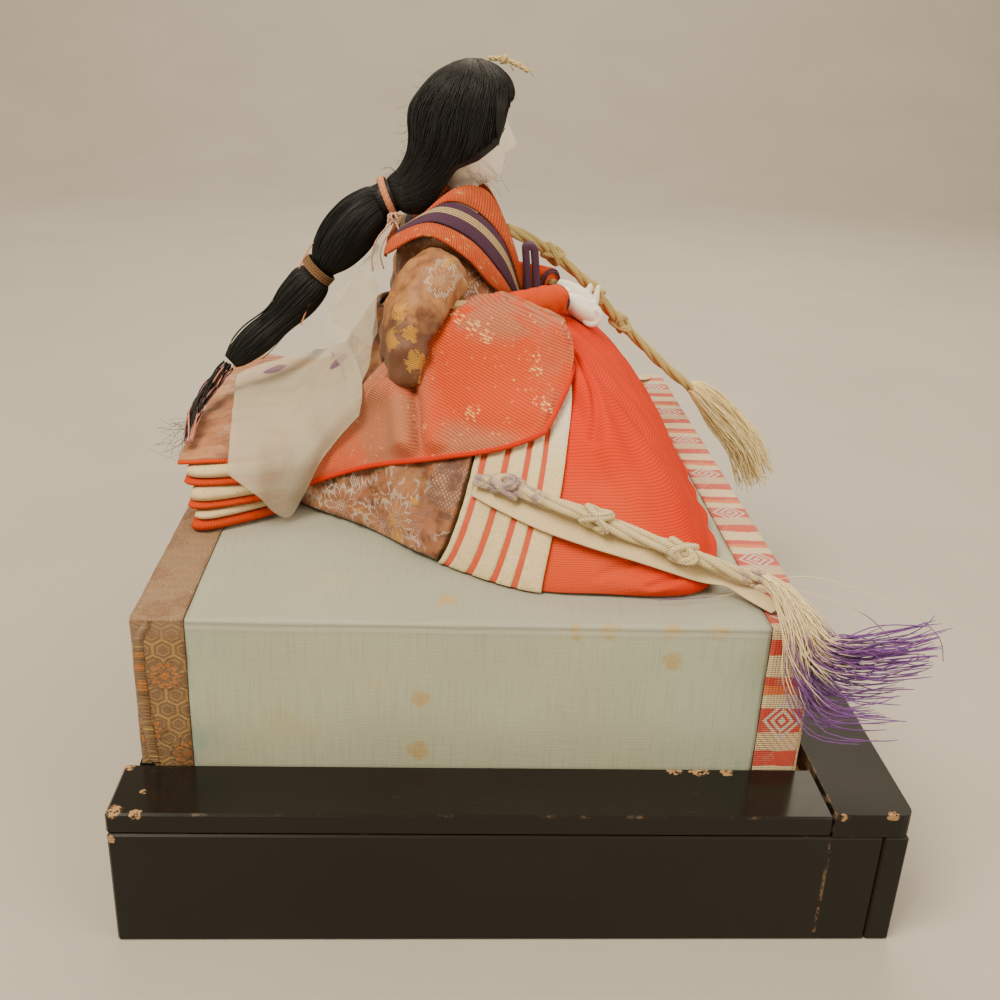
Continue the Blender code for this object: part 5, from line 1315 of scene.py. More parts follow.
def build_back_bulge():
    """Loosened roll of brocade behind the platform, closed at its ends."""
    low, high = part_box("back_edging")
    back_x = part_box("platform_core")[0].x - 1.2 * MM
    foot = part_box("back_board")[1].z + 0.6 * MM
    reach = back_x - low.x
    profile = curve_through(BULGE, steps(60))
    columns = 220
    grid = np.empty((columns, 60, 3))
    grid[..., 1] = np.linspace(-high.y, high.y, columns)[:, None]
    grid[..., 0] = back_x - profile[None, :, 0] * reach
    grid[..., 2] = mix(foot, high.z, profile[None, :, 1])
    uneven = (ripple(grid, 11 * MM, 41) - 1) * 0.25 * MM
    outer = grid - np.array((1.0, 0, 0)) * uneven[..., None]
    inner = outer.copy()
    inner[..., 0] = np.minimum(outer[..., 0] + 2.6 * MM, back_x + 1.0 * MM)
    heap = Heap()
    heap.shell(inner, outer, (2 * high.y, 52 * MM))
    heap.cloth[-1] = heap.cloth[-1][:, ::-1]
    dress(heap.piece("back_brocade_roll", LOOKS["gold_brocade"]), "platform", "gold_brocade")


# Lap surface

def lap_outline(turn):
    """Plan of the lap's edge: turn 0 at the front, 1 at the back on the left, -1 at the back on the right."""
    turn = (turn + 1) % 2 - 1
    side = np.where(turn < 0, -1, 1)
    mirrored = np.vstack([LAP_OUTLINE[1] * (1, -1), LAP_OUTLINE, LAP_OUTLINE[-2] * (1, -1)])
    last = len(LAP_OUTLINE) - 1
    found = curve_through(mirrored, (1 + np.abs(turn) * last) / (last + 2))
    return SEAT_CENTRE_X + found[..., 0] * SEAT_DEPTH, side * found[..., 1] * SEAT_HALF_WIDTH


def lap_surface(turn, lean):
    """Places on the lap: lean 0 at its foot and 1 at the waist."""
    foot_x, foot_y = lap_outline(turn)
    angle = np.arctan2(foot_y, foot_x - SEAT_CENTRE_X)
    waist_x = WAIST_CENTRE_X + WAIST_HALF_DEPTH * np.cos(angle)
    waist_y = WAIST_HALF_WIDTH * np.sin(angle)
    swing = np.clip(lean, 0, 1) * math.pi / 2
    outward = np.maximum(np.cos(swing), 0) ** (2 / LAP_FULLNESS)
    rise = np.sin(swing) ** (2 / LAP_FULLNESS)
    return np.stack([mix(waist_x, foot_x, outward), mix(waist_y, foot_y, outward),
                     FLOOR_Z + LAP_HEIGHT * rise], -1)


def lap_point(turn, lean, offset):
    """Places that stand off the lap's surface by an offset, never below the foot."""
    step = 0.01
    turn, lean, offset = np.broadcast_arrays(np.asarray(turn, float), lean, offset)
    low = np.clip(lean - step, 0.002, 0.96)
    high = np.clip(lean + step, low + step / 2, 0.98)
    along = lap_surface(turn + step, lean) - lap_surface(turn - step, lean)
    upward = lap_surface(turn, high) - lap_surface(turn, low)
    found = lap_surface(turn, lean) + unit(np.cross(along, upward)) * offset[..., None]
    found[..., 2] = np.maximum(found[..., 2], FLOOR_Z)
    return found


def lean_of(rise):
    return np.arcsin(rise ** (LAP_FULLNESS / 2)) / (math.pi / 2)


LAP_ACROSS = 210 * MM
LAP_UP = 85 * MM


def fold_lift(first, second, scale, folds):
    """Height of soft ridges and hollows along short lines of two coordinates, each with its scale."""
    total = 0
    scale = np.array(scale)
    place = np.stack([first, second], -1) * scale
    for start_first, start_second, end_first, end_second, width, height in folds:
        start = np.array((start_first, start_second)) * scale
        way = np.array((end_first, end_second)) * scale - start
        share = np.clip(((place - start) @ way) / (way @ way), 0, 1)
        far = np.linalg.norm(place - start - share[..., None] * way, axis=-1)
        total = total + height * hill(far, width)
    return total


HAKAMA_FOLDS = [
    (-0.285, 0.74, -0.372, 0.50, 6.5 * MM, 2.3 * MM), (-0.290, 0.72, -0.372, 0.50, 1.5 * MM, -2.6 * MM),
    (-0.370, 0.21, -0.425, 0.10, 5.0 * MM, 1.6 * MM), (-0.365, 0.20, -0.425, 0.10, 1.4 * MM, -2.0 * MM),
    (-0.300, 0.17, -0.360, 0.09, 4.0 * MM, 1.2 * MM), (-0.300, 0.17, -0.370, 0.07, 1.4 * MM, -1.6 * MM),
    (0.285, 0.74, 0.372, 0.50, 6.5 * MM, 2.3 * MM), (0.290, 0.72, 0.372, 0.50, 1.5 * MM, -2.6 * MM),
    (-0.372, 0.64, -0.388, 0.40, 2.4 * MM, -1.4 * MM), (-0.342, 0.66, -0.352, 0.36, 4.0 * MM, 1.1 * MM),
    (-0.300, 0.90, -0.262, 0.40, 6.0 * MM, 0.8 * MM), (-0.250, 0.85, -0.235, 0.50, 3.5 * MM, -0.7 * MM),
    (-0.440, 0.20, -0.360, 0.11, 3.0 * MM, -0.9 * MM), (-0.405, 0.12, -0.412, 0.0, 3.5 * MM, -0.9 * MM),
    (-0.330, 0.22, -0.230, 0.08, 4.0 * MM, -0.6 * MM), (0.330, 0.93, 0.360, 0.50, 3.0 * MM, 0.8 * MM),
    (0.372, 0.64, 0.388, 0.40, 2.4 * MM, -1.2 * MM), (0.420, 0.16, 0.340, 0.20, 3.0 * MM, -0.8 * MM),
    (0.120, 0.95, 0.100, 0.50, 5.0 * MM, 0.7 * MM),
]


def build_hakama():
    c, r = shares(420, 130)
    turn = mix(-0.50, 0.50, c)
    lean = 0.95 * r
    window = 1 - smooth_step((np.abs(turn) - 0.16) / 0.10)
    pleat = 1.1 * MM * window * (0.5 - 0.5 * np.cos(ROUND * 9 * turn / 0.5)) * (1 - lean) ** 0.5
    fade = 1 - smooth_step((np.abs(turn) - 0.36) / 0.08)
    roll = 2.2 * MM * hill(lean - 0.06, 0.05) * fade
    lift = pleat + roll
    lift += fold_lift(turn, lean, (LAP_ACROSS, LAP_UP), HAKAMA_FOLDS) * fade * smooth_step(r * 12)
    base = lap_point(turn, lean, 0.0)
    lift = lift + (ripple(base, 17 * MM, 21) + 1) * 0.22 * MM * fade
    lift = np.maximum(lift, -0.5 * MM)
    inner = lap_point(turn, lean, np.maximum(lift - 0.3 * MM, 0))
    outer = lap_point(turn, lean, lift + HAKAMA_THICKNESS)
    piece = shell_piece("hakama_cloth", inner, outer, (LAP_ACROSS, LAP_UP), "hakama", "doll", "red_silk",
                        "hakama")


def hem_front_turn(lean):
    return 0.482 - 0.29 * lean * lean


def hem_back_turn(lean):
    return mix(0.577, 0.500, lean)


SKIRT_FOLDS = [
    (-0.60, 0.55, -0.66, 0.20, 3 * MM, 0.7 * MM), (-0.70, 0.40, -0.64, 0.05, 3 * MM, -0.8 * MM),
    (-0.74, 0.45, -0.78, 0.1, 3 * MM, 0.8 * MM), (0.62, 0.6, 0.66, 0.15, 3 * MM, 0.8 * MM),
    (0.74, 0.5, 0.72, 0.05, 3 * MM, -0.8 * MM),
]


def build_skirt():
    c, r = shares(420, 110)
    lean = 0.93 * r
    start = hem_back_turn(lean) + 0.004
    turn = mix(start, 2 - start, c)
    signed = (turn + 1) % 2 - 1
    base = lap_point(turn, lean, SKIRT_OUTER)
    pucker = (ripple(base, 5.5 * MM, 22) * 0.36 + ripple(base, 12 * MM, 23) * 0.65) * MM - 0.35 * MM
    pucker += np.minimum(fold_lift(signed, lean, (LAP_ACROSS, LAP_UP), SKIRT_FOLDS), 0.5 * MM)
    rolled = 1 - 0.5 * hill(lean, 0.03)
    edge = smooth_step(np.minimum(c, 1 - c) * 40)
    outer = lap_point(turn, lean, SKIRT_OUTER * rolled + pucker * edge * smooth_step(r * 20))
    inner = lap_point(turn, lean, SKIRT_INNER)
    piece = shell_piece("robe_brocade", inner, outer, (380 * MM, 95 * MM), "lap_brocade", "doll",
                        "rose_brocade", "robe_skirt")


def build_hem(name, side):
    c, r = shares(260, 120)
    lean = 0.88 * r
    turn = mix(hem_front_turn(lean), hem_back_turn(lean), c)
    height = np.zeros_like(c)
    start = 0.0
    for band, end in enumerate(HEM_BAND_ENDS):
        width = end - start
        inside = (c >= start) & (c < end + HEM_RED_SHARE)
        local = np.clip((c - start) / width, 0, 1)
        crown = 0.50 * MM * np.sqrt(np.clip(np.minimum(local, 1 - local) * 6, 0, 1))
        height = np.where(inside, band * 0.12 * MM + crown, height)
        start = end + HEM_RED_SHARE
    height = np.where(c >= start, 0.9 * MM, height)
    base = lap_point(side * turn, lean, SKIRT_INNER)
    height = height + 0.10 * MM * ripple(base, 4 * MM, 24)
    soft = smooth_step(np.minimum(r * 30, 1))
    outer = lap_point(side * turn, lean, SKIRT_INNER + 0.6 * MM + height * mix(0.6, 1, soft))
    inner = lap_point(side * turn, lean, SKIRT_INNER)
    piece = shell_piece("hem_" + name, inner, outer, (1.0, 0.1), "hem", "doll", "cream_crepe",
                        "striped_hem_" + name)


# Train

TRAIN_BACK = -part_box("train_brocade")[0].x
TRAIN_HALF_WIDTH = 70 * MM
TRAIN_LAYER = 6.2 * MM
TRAIN_STEP = 1.6 * MM
TRAIN_LAYERS = [(0.74, 1.04), (0.79, 1.01), (0.83, 0.95)]
TRAIN_RISE = 26.5 * MM
TRAIN_HEIGHTS = [(1.0,), (0.84,), (0.55,), (0.36,), (0.24,), (0.16,), (0.11,), (0.07,), (0.035,), (0.0,)]
TRAIN_WIDTHS = [(0.26,), (0.34,), (0.45,), (0.57,), (0.68,), (0.77,), (0.83,), (0.86,), (0.875,), (0.87,)]


def train_pad(name, layer, low, high, inset, look, slot):
    """Folded cloth of one layer between two heights, with round edges at its back and sides."""
    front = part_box("train_layer_%d" % (layer + 1))[1].x
    back = -TRAIN_BACK + (len(TRAIN_LAYERS) - layer) * TRAIN_STEP + inset
    c, r = shares(150, 70)
    across = 2 * c - 1
    front_share, back_share = TRAIN_LAYERS[layer]
    half = TRAIN_HALF_WIDTH * mix(front_share, back_share, r ** 0.8) * (1 - 0.06 * r ** 10) - inset
    x = mix(front, back, r) - TRAIN_STEP * (1 - across ** 2) * r
    y = across * half
    flat = np.stack([x, y, np.zeros_like(x)], -1)
    edge = np.minimum((1 - np.abs(across)) * half / (2.2 * MM), (1 - r) * (front - back) / (2.2 * MM))
    round_off = np.sqrt(np.clip(1 - (1 - np.clip(edge, 0, 1)) ** 2, 0, 1))
    wavy = 1 - 0.10 * (1 + ripple(flat, 20 * MM, 51 + layer))
    middle = (low + high) / 2
    half_height = (high - low) / 2
    top = np.stack([x, y, middle + half_height * mix(0.25, 1, round_off) * wavy], -1)
    bottom = np.stack([x, y, middle - half_height * mix(0.25, 1, round_off)], -1)
    return shell_piece(name, bottom, top, (140 * MM, 50 * MM), look, "doll", slot)


def build_train():
    pitch = TRAIN_LAYER + GAP
    for layer in range(3):
        low = FLOOR_Z + layer * pitch
        parting = low + (3.4 * MM if layer == 0 else 2.3 * MM)
        red = train_pad("train_red_%d" % (layer + 1), layer, low, parting, -0.4 * MM * (layer == 0),
                        "red_silk", "red_silk")
        cream = train_pad("train_cream_%d" % (layer + 1), layer, parting + 0.1 * MM, low + TRAIN_LAYER,
                          0.6 * MM, "crepe", "cream_crepe")
        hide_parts("train_layer_%d" % (layer + 1))
        if layer:
            puff(cream, 1.5, 0.5 * MM)
    build_train_brocade(FLOOR_Z + 3 * pitch)


def build_train_brocade(low):
    waist_x = WAIST_CENTRE_X - WAIST_HALF_DEPTH - SKIRT_OUTER
    c, r = shares(140, 130)
    across = 2 * c - 1
    height = TRAIN_RISE * curve_through(TRAIN_HEIGHTS, r)[..., 0]
    droop = 1 - 0.85 * across ** 4 * smooth_step(r / 0.3)
    crown = 3.0 * MM * (1 - across ** 2)
    y = across * TRAIN_HALF_WIDTH * curve_through(TRAIN_WIDTHS, r)[..., 0]
    grid = np.stack([mix(waist_x, -TRAIN_BACK, r), y, low + height * droop + crown], -1)
    grid[..., 2] += 0.35 * MM * (1 + ripple(grid, 12 * MM, 61)) + 0.3 * MM
    grid = grid[:, int(np.argmax(r[0] > 0.16)):]
    under = grid - np.array((0, 0, 0.35 * MM))
    over = grid + np.array((0, 0, 1.1 * MM))
    piece = shell_piece("train_brocade_sheet", under, over, (110 * MM, 60 * MM), "train_brocade", "doll",
                        "rose_brocade", "train_brocade")
    lining = Heap()
    edge = grid[:, -1] + np.array((0.2 * MM, 0, -0.35 * MM))
    lining.tube(edge, 0.75 * MM, 8)
    for side in (0, -1):
        lining.tube(grid[side, int(grid.shape[1] * 0.30):] + np.array((0, 0, -0.3 * MM)), 0.7 * MM, 8)
    dress(lining.piece("train_edging", LOOKS["red_silk"]), "doll", "red_silk")


# Sleeves and jacket

SLEEVE_LOW = [(0.445, 0.60), (0.505, 0.535), (0.590, 0.425), (0.680, 0.275), (0.757, 0.125)]
SLEEVE_TOP = [(0.262, 0.925), (0.390, 0.965), (0.500, 0.975), (0.630, 0.92), (0.765, 0.40)]
SLEEVE_ROLLS = [(0.35,), (0.75,), (1.00,), (0.80,), (0.10,)]
# Column and row where each fold starts and ends, its width and its height
SLEEVE_FOLDS = [
    (0.765, 0.66, 0.545, 0.03, 0.014, -3.2 * MM), (0.725, 0.62, 0.500, 0.06, 0.030, 2.2 * MM),
    (0.810, 0.64, 0.592, 0.04, 0.030, 2.4 * MM), (0.620, 0.40, 0.440, 0.14, 0.040, -1.5 * MM),
    (0.440, 0.16, 0.180, 0.07, 0.040, -0.9 * MM), (0.400, 0.90, 0.100, 0.80, 0.060, 0.9 * MM),
    (0.880, 0.60, 0.760, 0.05, 0.030, -0.9 * MM), (0.250, 0.62, 0.110, 0.20, 0.050, 0.6 * MM),
]


# Length and width of the sleeve's grid, in shares of its length
SLEEVE_SHAPE = np.array((1.0, 0.55))
FLAP_LINE = [(0.765, 0.66), (0.545, 0.0)]
SLEEVE_MOUTH = 0.045


def sleeve_place(side, column, row, offset):
    low = curve_through(SLEEVE_LOW, column)
    top = curve_through(SLEEVE_TOP, column)
    turn = mix(low[..., 0], top[..., 0], row)
    lean = mix(lean_of(low[..., 1]), lean_of(top[..., 1]), row)
    return lap_point(side * turn, lean, offset)


def sleeve_lip(side, column, edge):
    """Rows that turn the wide sleeve's upper edge in over the forearm, outer and inner."""
    fade = 1 - smooth_step((column - 0.50) / 0.16)
    route = [edge + np.array((0, -side * inward, upward)) * MM
             for inward, upward in ((0, 0), (2.2, 0.8), (6.5, 0.2), (10.0, -3.0))]
    share = steps(23)[1:]
    over = np.array([curve_through(points, share) for points in np.stack(route, 1)])
    over = edge[:, None] + (over - edge[:, None]) * np.maximum(fade, 0.02)[:, None, None]
    over += ripple(over, 7 * MM, 72)[..., None] * 0.25 * MM * np.array((0, side, 1.0)) * fade[:, None, None]
    under = over + np.array((0, -side * 0.7 * MM, -0.7 * MM))
    return over, under


def build_wide_sleeve(name, side):
    c, r = shares(260, 110)
    column = mix(SLEEVE_MOUTH, 1, c)
    roll = SLEEVE_ROLL * curve_through(SLEEVE_ROLLS, column)[..., 0] * smooth_step((r - 0.40) / 0.45)
    folds = fold_lift(column, r, SLEEVE_SHAPE, SLEEVE_FOLDS)
    place = np.stack([column, r], -1) * SLEEVE_SHAPE
    start, end = np.array(FLAP_LINE) * SLEEVE_SHAPE
    way = end - start
    normal = np.array((-way[1], way[0])) / np.linalg.norm(way)
    beyond = (place - start) @ (normal * np.sign(normal[0]))
    along = ((place - start) @ way) / (way @ way)
    flap = 2.8 * MM * smooth_step((beyond + 0.004) / 0.008) * np.exp(-(np.maximum(beyond, 0) / 0.055) ** 2)
    folds = folds + flap * smooth_step(along * 5)
    base = sleeve_place(side, column, r, SLEEVE_INNER + SLEEVE_THICKNESS)
    edge = smooth_step(np.minimum(np.minimum(c, 1 - c) * 14, np.minimum(r, 1 - r) * 10))
    lift = roll + (folds + 0.25 * MM * ripple(base, 9 * MM, 71)) * edge + 0.35 * MM * edge
    thick = np.maximum(SLEEVE_THICKNESS * mix(0.7, 1, edge) + lift, 0.6 * MM)
    outer = sleeve_place(side, column, r, SLEEVE_INNER + thick)
    inner = sleeve_place(side, column, r, SLEEVE_INNER)
    over, under = sleeve_lip(side, column[:, -1], outer[:, -1])
    outer = np.concatenate([outer, over], 1)
    inner = np.concatenate([inner, under], 1)
    piece = shell_piece("sleeve_" + name, inner, outer, (120 * MM, 60 * MM), "sleeve", "doll", "rib_cloth",
                        "wide_sleeve_" + name)
    piping = Heap()
    share = steps(160)
    low_edge = sleeve_place(side, mix(SLEEVE_MOUTH, 1, share), np.zeros(160), SLEEVE_INNER + 0.9 * MM)
    mouth = sleeve_place(side, np.full(60, SLEEVE_MOUTH), np.linspace(0.62, 0, 60), SLEEVE_INNER + 0.9 * MM)
    line = np.concatenate([mouth[:-1], low_edge])
    piping.tube(line, 0.85 * MM, 10)
    dress(piping.piece("sleeve_piping_" + name, LOOKS["hakama"]), "doll", "red_silk")


ARM_ROUTE = [(-26.25, 18.95, 162.0), (-26.25, 36.5, 161.8), (-19.5, 40.55, 158.2), (1.5, 27.05, 156.15),
             (17.5, 12.5, 155.1)]


def arm_tube(name, side, shares_along, radii, look, seed):
    """Cloth round the forearm, a little flattened and uneven."""
    path = curve_through(np.array(ARM_ROUTE) * MM * (1, side, 1), np.linspace(*shares_along, 44))
    heap = Heap()
    widths = curve_through([(radius * MM,) for radius in radii], steps(44))[..., 0]
    heap.tube(path, widths, 40, 0.88)
    points = heap.points[0]
    outward = points - np.repeat(path[None], 40, 0).reshape(-1, 3)
    points += outward * (ripple(points, 5 * MM, seed) * 0.05)[:, None]
    return heap.piece(name, LOOKS[look])


def build_forearm(name, side):
    upper = arm_tube("forearm_sleeve_" + name, side, (0.48, 0.80), (2.6, 3.2, 3.4, 3.6, 4.0), "lap_brocade",
                     84)
    for vertex in upper.data.vertices:
        vertex.co.z -= 3.6 * MM
    dress(upper, "doll", "rose_brocade")
    cuff = arm_tube("inner_cuff_" + name, side, (0.74, 0.965), (4.6, 5.2, 5.7, 5.6), "red_silk", 85)
    dress(cuff, "doll", "red_silk", "sleeve_lining_" + name)
    mouth = curve_through(np.array(ARM_ROUTE) * MM * (1, side, 1), np.array([0.955, 0.965]))
    middle, way = mouth[0], unit(mouth[1] - mouth[0])
    first = unit(np.cross(way, (0, 0, 1.0)))
    second = np.cross(way, first)
    t = np.linspace(0, ROUND, 40)
    rim = Heap()
    for radius, width in ((5.35 * MM, 0.45 * MM), (4.5 * MM, 0.40 * MM)):
        ring = middle + way * (5.9 * MM - radius) + first * (radius * np.cos(t))[:, None]
        rim.tube(ring + second * (radius * 0.88 * np.sin(t))[:, None], width, 7)
    dress(rim.piece("cuff_lining_" + name, LOOKS["purple"]), "doll", "purple_cloth")


SHOULDER_BACK = -42 * MM


def build_upper_body():
    for name in ("right", "left"):
        piece = copy_of("upper_sleeve_" + name, "shoulder_sleeve_" + name, LOOKS["shoulder_brocade"])
        for vertex in piece.data.vertices:
            share = np.interp(vertex.co.z, np.array((130, 139, 148, 157, 163)) * MM,
                              (0.95, 0.76, 0.70, 0.86, 1.0))
            vertex.co.x = min(vertex.co.x, SHOULDER_BACK + (vertex.co.x - SHOULDER_BACK) * share)
        soften(piece, 0.7 * MM, 5, 0.6 * MM, 7 * MM, 81)
        puff(piece, 2.0, 0.4 * MM)
        dress(piece, "doll", "rose_brocade", "upper_sleeve_" + name)
        build_forearm(name, -1 if name == "right" else 1)
    body = copy_of("jacket_body", "jacket_brocade", LOOKS["lap_brocade"])
    soften(body, 0.8 * MM, 4, 0.2 * MM, 8 * MM, 83)
    dress(body, "doll", "rose_brocade", "jacket_body")
    stuffing = copy_of("lap_stuffing", "straw_stuffing", LOOKS["straw"])
    soften(stuffing, 2.0 * MM, 2)
    dress(stuffing, "doll", "straw", "lap_stuffing")


# Collars

COLLARS = {
    "neck": [(-0.46, 0.00, 0.62), (-0.40, -0.28, 0.66), (-0.10, -0.37, 0.905), (0.28, -0.30, 0.87),
             (0.58, -0.18, 0.48), (0.72, -0.05, 0.18)],
    "upper": [(-0.60, 0.00, 0.58), (-0.56, -0.38, 0.64), (-0.22, -0.50, 0.80), (0.12, -0.46, 0.74),
              (0.46, -0.33, 0.50), (0.70, -0.07, 0.06)],
    "lower": [(-0.80, 0.00, 0.44), (-0.74, -0.54, 0.56), (-0.36, -0.72, 0.67), (0.08, -0.66, 0.54),
              (0.42, -0.50, 0.28), (0.62, -0.22, 0.04)],
    "outer": [(-0.90, 0.00, 0.31), (-0.84, -0.70, 0.42), (-0.42, -0.91, 0.59), (0.02, -0.88, 0.43),
              (0.32, -0.69, 0.19), (0.57, -0.42, 0.045)],
}


def collar_line(line, column):
    """Places of one collar line: column 0 at its right front end, 0.5 at the nape, 1 at the left end."""
    across = 2 * column - 1
    side = np.where(across < 0, 1, -1)
    points = np.array(COLLARS[line])
    mirrored = np.vstack([points[1] * (1, -1, 1), points])
    found = curve_through(mirrored, (1 + np.abs(across) * (len(points) - 1)) / len(points))
    return np.stack([NECK_X + found[..., 0] * COLLAR_SPREAD, side * found[..., 1] * COLLAR_SPREAD,
                     TORSO_BOTTOM_Z + found[..., 2] * COLLAR_HEIGHT], -1)


def collar_piece(name, top_line, low_line, look, slot, node, crown, size):
    c, r = shares(240, 26)
    start = collar_line(top_line, c)
    down = collar_line(low_line, c) - start
    reach = np.linalg.norm(down, axis=-1)
    span = mix(GAP, reach - GAP, r) / reach
    grid = start + down * span[..., None]
    normal = normals_of(grid)
    outward = np.sign((normal * (grid - np.array((NECK_X, 0, grid[..., 2].min())))).sum(-1).mean())
    bulge = crown * np.sin(math.pi * r) ** 0.7 - COLLAR_THICKNESS / 2
    half = 0.35 * MM
    outer = grid + normal * outward * (bulge + half)[..., None]
    inner = grid + normal * outward * (bulge - half)[..., None]
    piece = shell_piece(name, inner, outer, size, look, "doll", slot, node)
    length_of(grid[:, 13])


def build_collars():
    collar_piece("collar_inner", "neck", "upper", "collar", "red_silk", "inner_collar", 0.8 * MM,
                 (0.11, 0.008))
    collar_piece("collar_purple", "upper", "lower", "purple_striped", "purple_cloth", "purple_band", 0.8 * MM,
                 (0.13, 1.0))
    collar_piece("collar_ribbed", "lower", "outer", "collar", "rib_cloth", "collar_edging", 1.0 * MM,
                 (0.15, 0.006))
    loop = copy_of("purple_loop", "purple_loop_cloth", LOOKS["purple"])
    soften(loop, 0.25 * MM, 2)
    thick = loop.modifiers.new("thick", "DISPLACE")
    thick.strength = 0.45 * MM
    thick.mid_level = 0
    bake_shape(loop)
    dress(loop, "doll", "purple_cloth", "purple_loop")


# Head, hands and hair

HEAD_RINGS = [
    (-0.02, 0.17, -0.24, 0.24), (0.03, 0.33, -0.28, 0.46), (0.11, 0.42, -0.34, 0.68),
    (0.22, 0.455, -0.42, 0.82), (0.35, 0.47, -0.50, 0.94), (0.50, 0.465, -0.53, 1.00),
    (0.66, 0.40, -0.52, 0.98), (0.80, 0.28, -0.44, 0.83), (0.89, 0.10, -0.30, 0.52),
    (0.93, -0.04, -0.18, 0.16),
]

HEAD_COLUMNS = 96


def build_head():
    """Head and neck, with the nose, eye hollows, lips and chin raised and sunk in its front."""
    rows = curve_through(HEAD_RINGS, steps(90))
    heights = ((NECK_BOTTOM, 0.90), (NECK_BOTTOM + 0.4 * MM, 1.0), (NECK_BOTTOM + 8 * MM, 0.96),
               (CHIN_Z - 4 * MM, 0.94), (CHIN_Z - 1.8 * MM, 0.95))
    neck = [(z, NECK_RADIUS * share) for z, share in heights]
    angle = np.arange(HEAD_COLUMNS) / HEAD_COLUMNS * ROUND
    rings = []
    for z, radius in neck:
        rings.append(np.stack([NECK_X + radius * np.cos(angle), radius * np.sin(angle),
                               np.full(HEAD_COLUMNS, z)], -1))
    for rise, front, back, width in rows:
        low_x, high_x = NECK_X + back * HEAD_DEPTH * 0.90, NECK_X + front * HEAD_DEPTH
        x = (low_x + high_x) / 2 + (high_x - low_x) / 2 * np.cos(angle)
        y = width * HEAD_WIDTH / 2 * np.sin(angle)
        facing = np.clip(np.cos(angle), 0, 1)
        tall = rise * HEAD_HEIGHT
        bridge = np.interp(tall, [10 * MM, 11.2 * MM, 13 * MM, 17 * MM, 22 * MM], [0, 0.75, 1.0, 0.45, 0.0])
        features = 3.7 * MM * bridge * hill(y, 1.75 * MM)
        for eye in (5 * MM, -5 * MM):
            features += -0.55 * MM * hill(y - eye, 2.6 * MM) * hill(tall - 17.5 * MM, 1.8 * MM)
        for lip in (8.1 * MM, 6.9 * MM):
            features += 0.55 * MM * hill(y, 1.9 * MM) * hill(tall - lip, 0.5 * MM)
        features += 0.5 * MM * hill(y, 3.5 * MM) * hill(tall - 3.2 * MM, 2.0 * MM)
        x = x + features * facing
        rings.append(np.stack([x, y, np.full(HEAD_COLUMNS, CHIN_Z + tall)], -1))
    grid = np.array(rings).transpose(1, 0, 2)
    heap = Heap()
    count = grid.shape[1]
    index = np.arange(HEAD_COLUMNS * count).reshape(HEAD_COLUMNS, count)
    heap.add(grid, grid_faces(HEAD_COLUMNS, count, closed=True), np.zeros((HEAD_COLUMNS * count, 2)))
    heap.faces.append(index[::-1, 0].tolist())
    heap.faces.append(index[:, -1].tolist())
    head = heap.piece("head_gofun", LOOKS["gofun"])
    bore = Heap()
    bore.tube(np.array([(NECK_X, 0, NECK_BOTTOM - 2 * MM), (NECK_X, 0, NECK_BOTTOM + 10.3 * MM)]), 2.8 * MM,
              24)
    cutter = bore.piece("head_bore", LOOKS["gofun"])
    cut_away(head, cutter)
    dress(head, "head", "gofun", "head")


PALM = [(0.00, 0.00, 0.00, 0.42), (0.17, 0.06, -0.07, 0.62), (0.38, 0.13, -0.19, 0.76),
        (0.60, 0.20, -0.33, 0.76), (0.72, 0.24, -0.43, 0.50)]
FIST = (0.60, 0.20, -0.335)


def build_hands():
    """Closed hands: palm, four curled fingers and a raised forefinger."""
    size = 17 * MM
    for side, name in ((-1, "right"), (1, "left")):
        wrist = np.array((18.5 * MM, side * 12 * MM, FLOOR_Z + LAP_HEIGHT + 6.5 * MM))
        turned = np.array((1, -side, 1)) * size
        palm = curve_through(PALM, steps(24))
        heap = Heap()
        heap.tube(wrist + palm[:, :3] * turned, palm[:, 3] * 6.0 * MM, 24, 0.9)
        bend = np.radians(np.linspace(80, -150, 26))
        for finger in range(4):
            across = FIST[1] + (finger - 1.5) * 0.125
            reach = 0.165 - 0.010 * abs(finger - 1.2)
            path = np.stack([FIST[0] + reach * np.cos(bend), np.full(26, across),
                             FIST[2] + reach * np.sin(bend)], -1)
            heap.tube(wrist + path * turned, np.linspace(1.5, 1.25, 26) * MM, 12)
        filling = np.array([(FIST[0], FIST[1] + share, FIST[2]) for share in (-0.21, -0.10, 0.10, 0.21)])
        heap.tube(wrist + filling * turned, np.array((2.6, 3.5, 3.5, 2.6)) * MM, 20)
        top = 1.0 if side < 0 else 0.25
        raised = [(0.58, 0.15, -0.20), (0.67, 0.17, -0.06), (0.70, 0.18, 0.12 * top),
                  (0.73, 0.18, 0.27 * top)]
        raised = curve_through(raised, steps(20))
        heap.tube(wrist + raised * turned, np.linspace(1.7, 0.72, 20) * MM, 12)
        hand = heap.piece("hand_gofun_" + name, LOOKS["gofun"])
        soften(hand, 0.24 * MM, 4)
        dress(hand, "doll", "gofun", "hand_" + name)


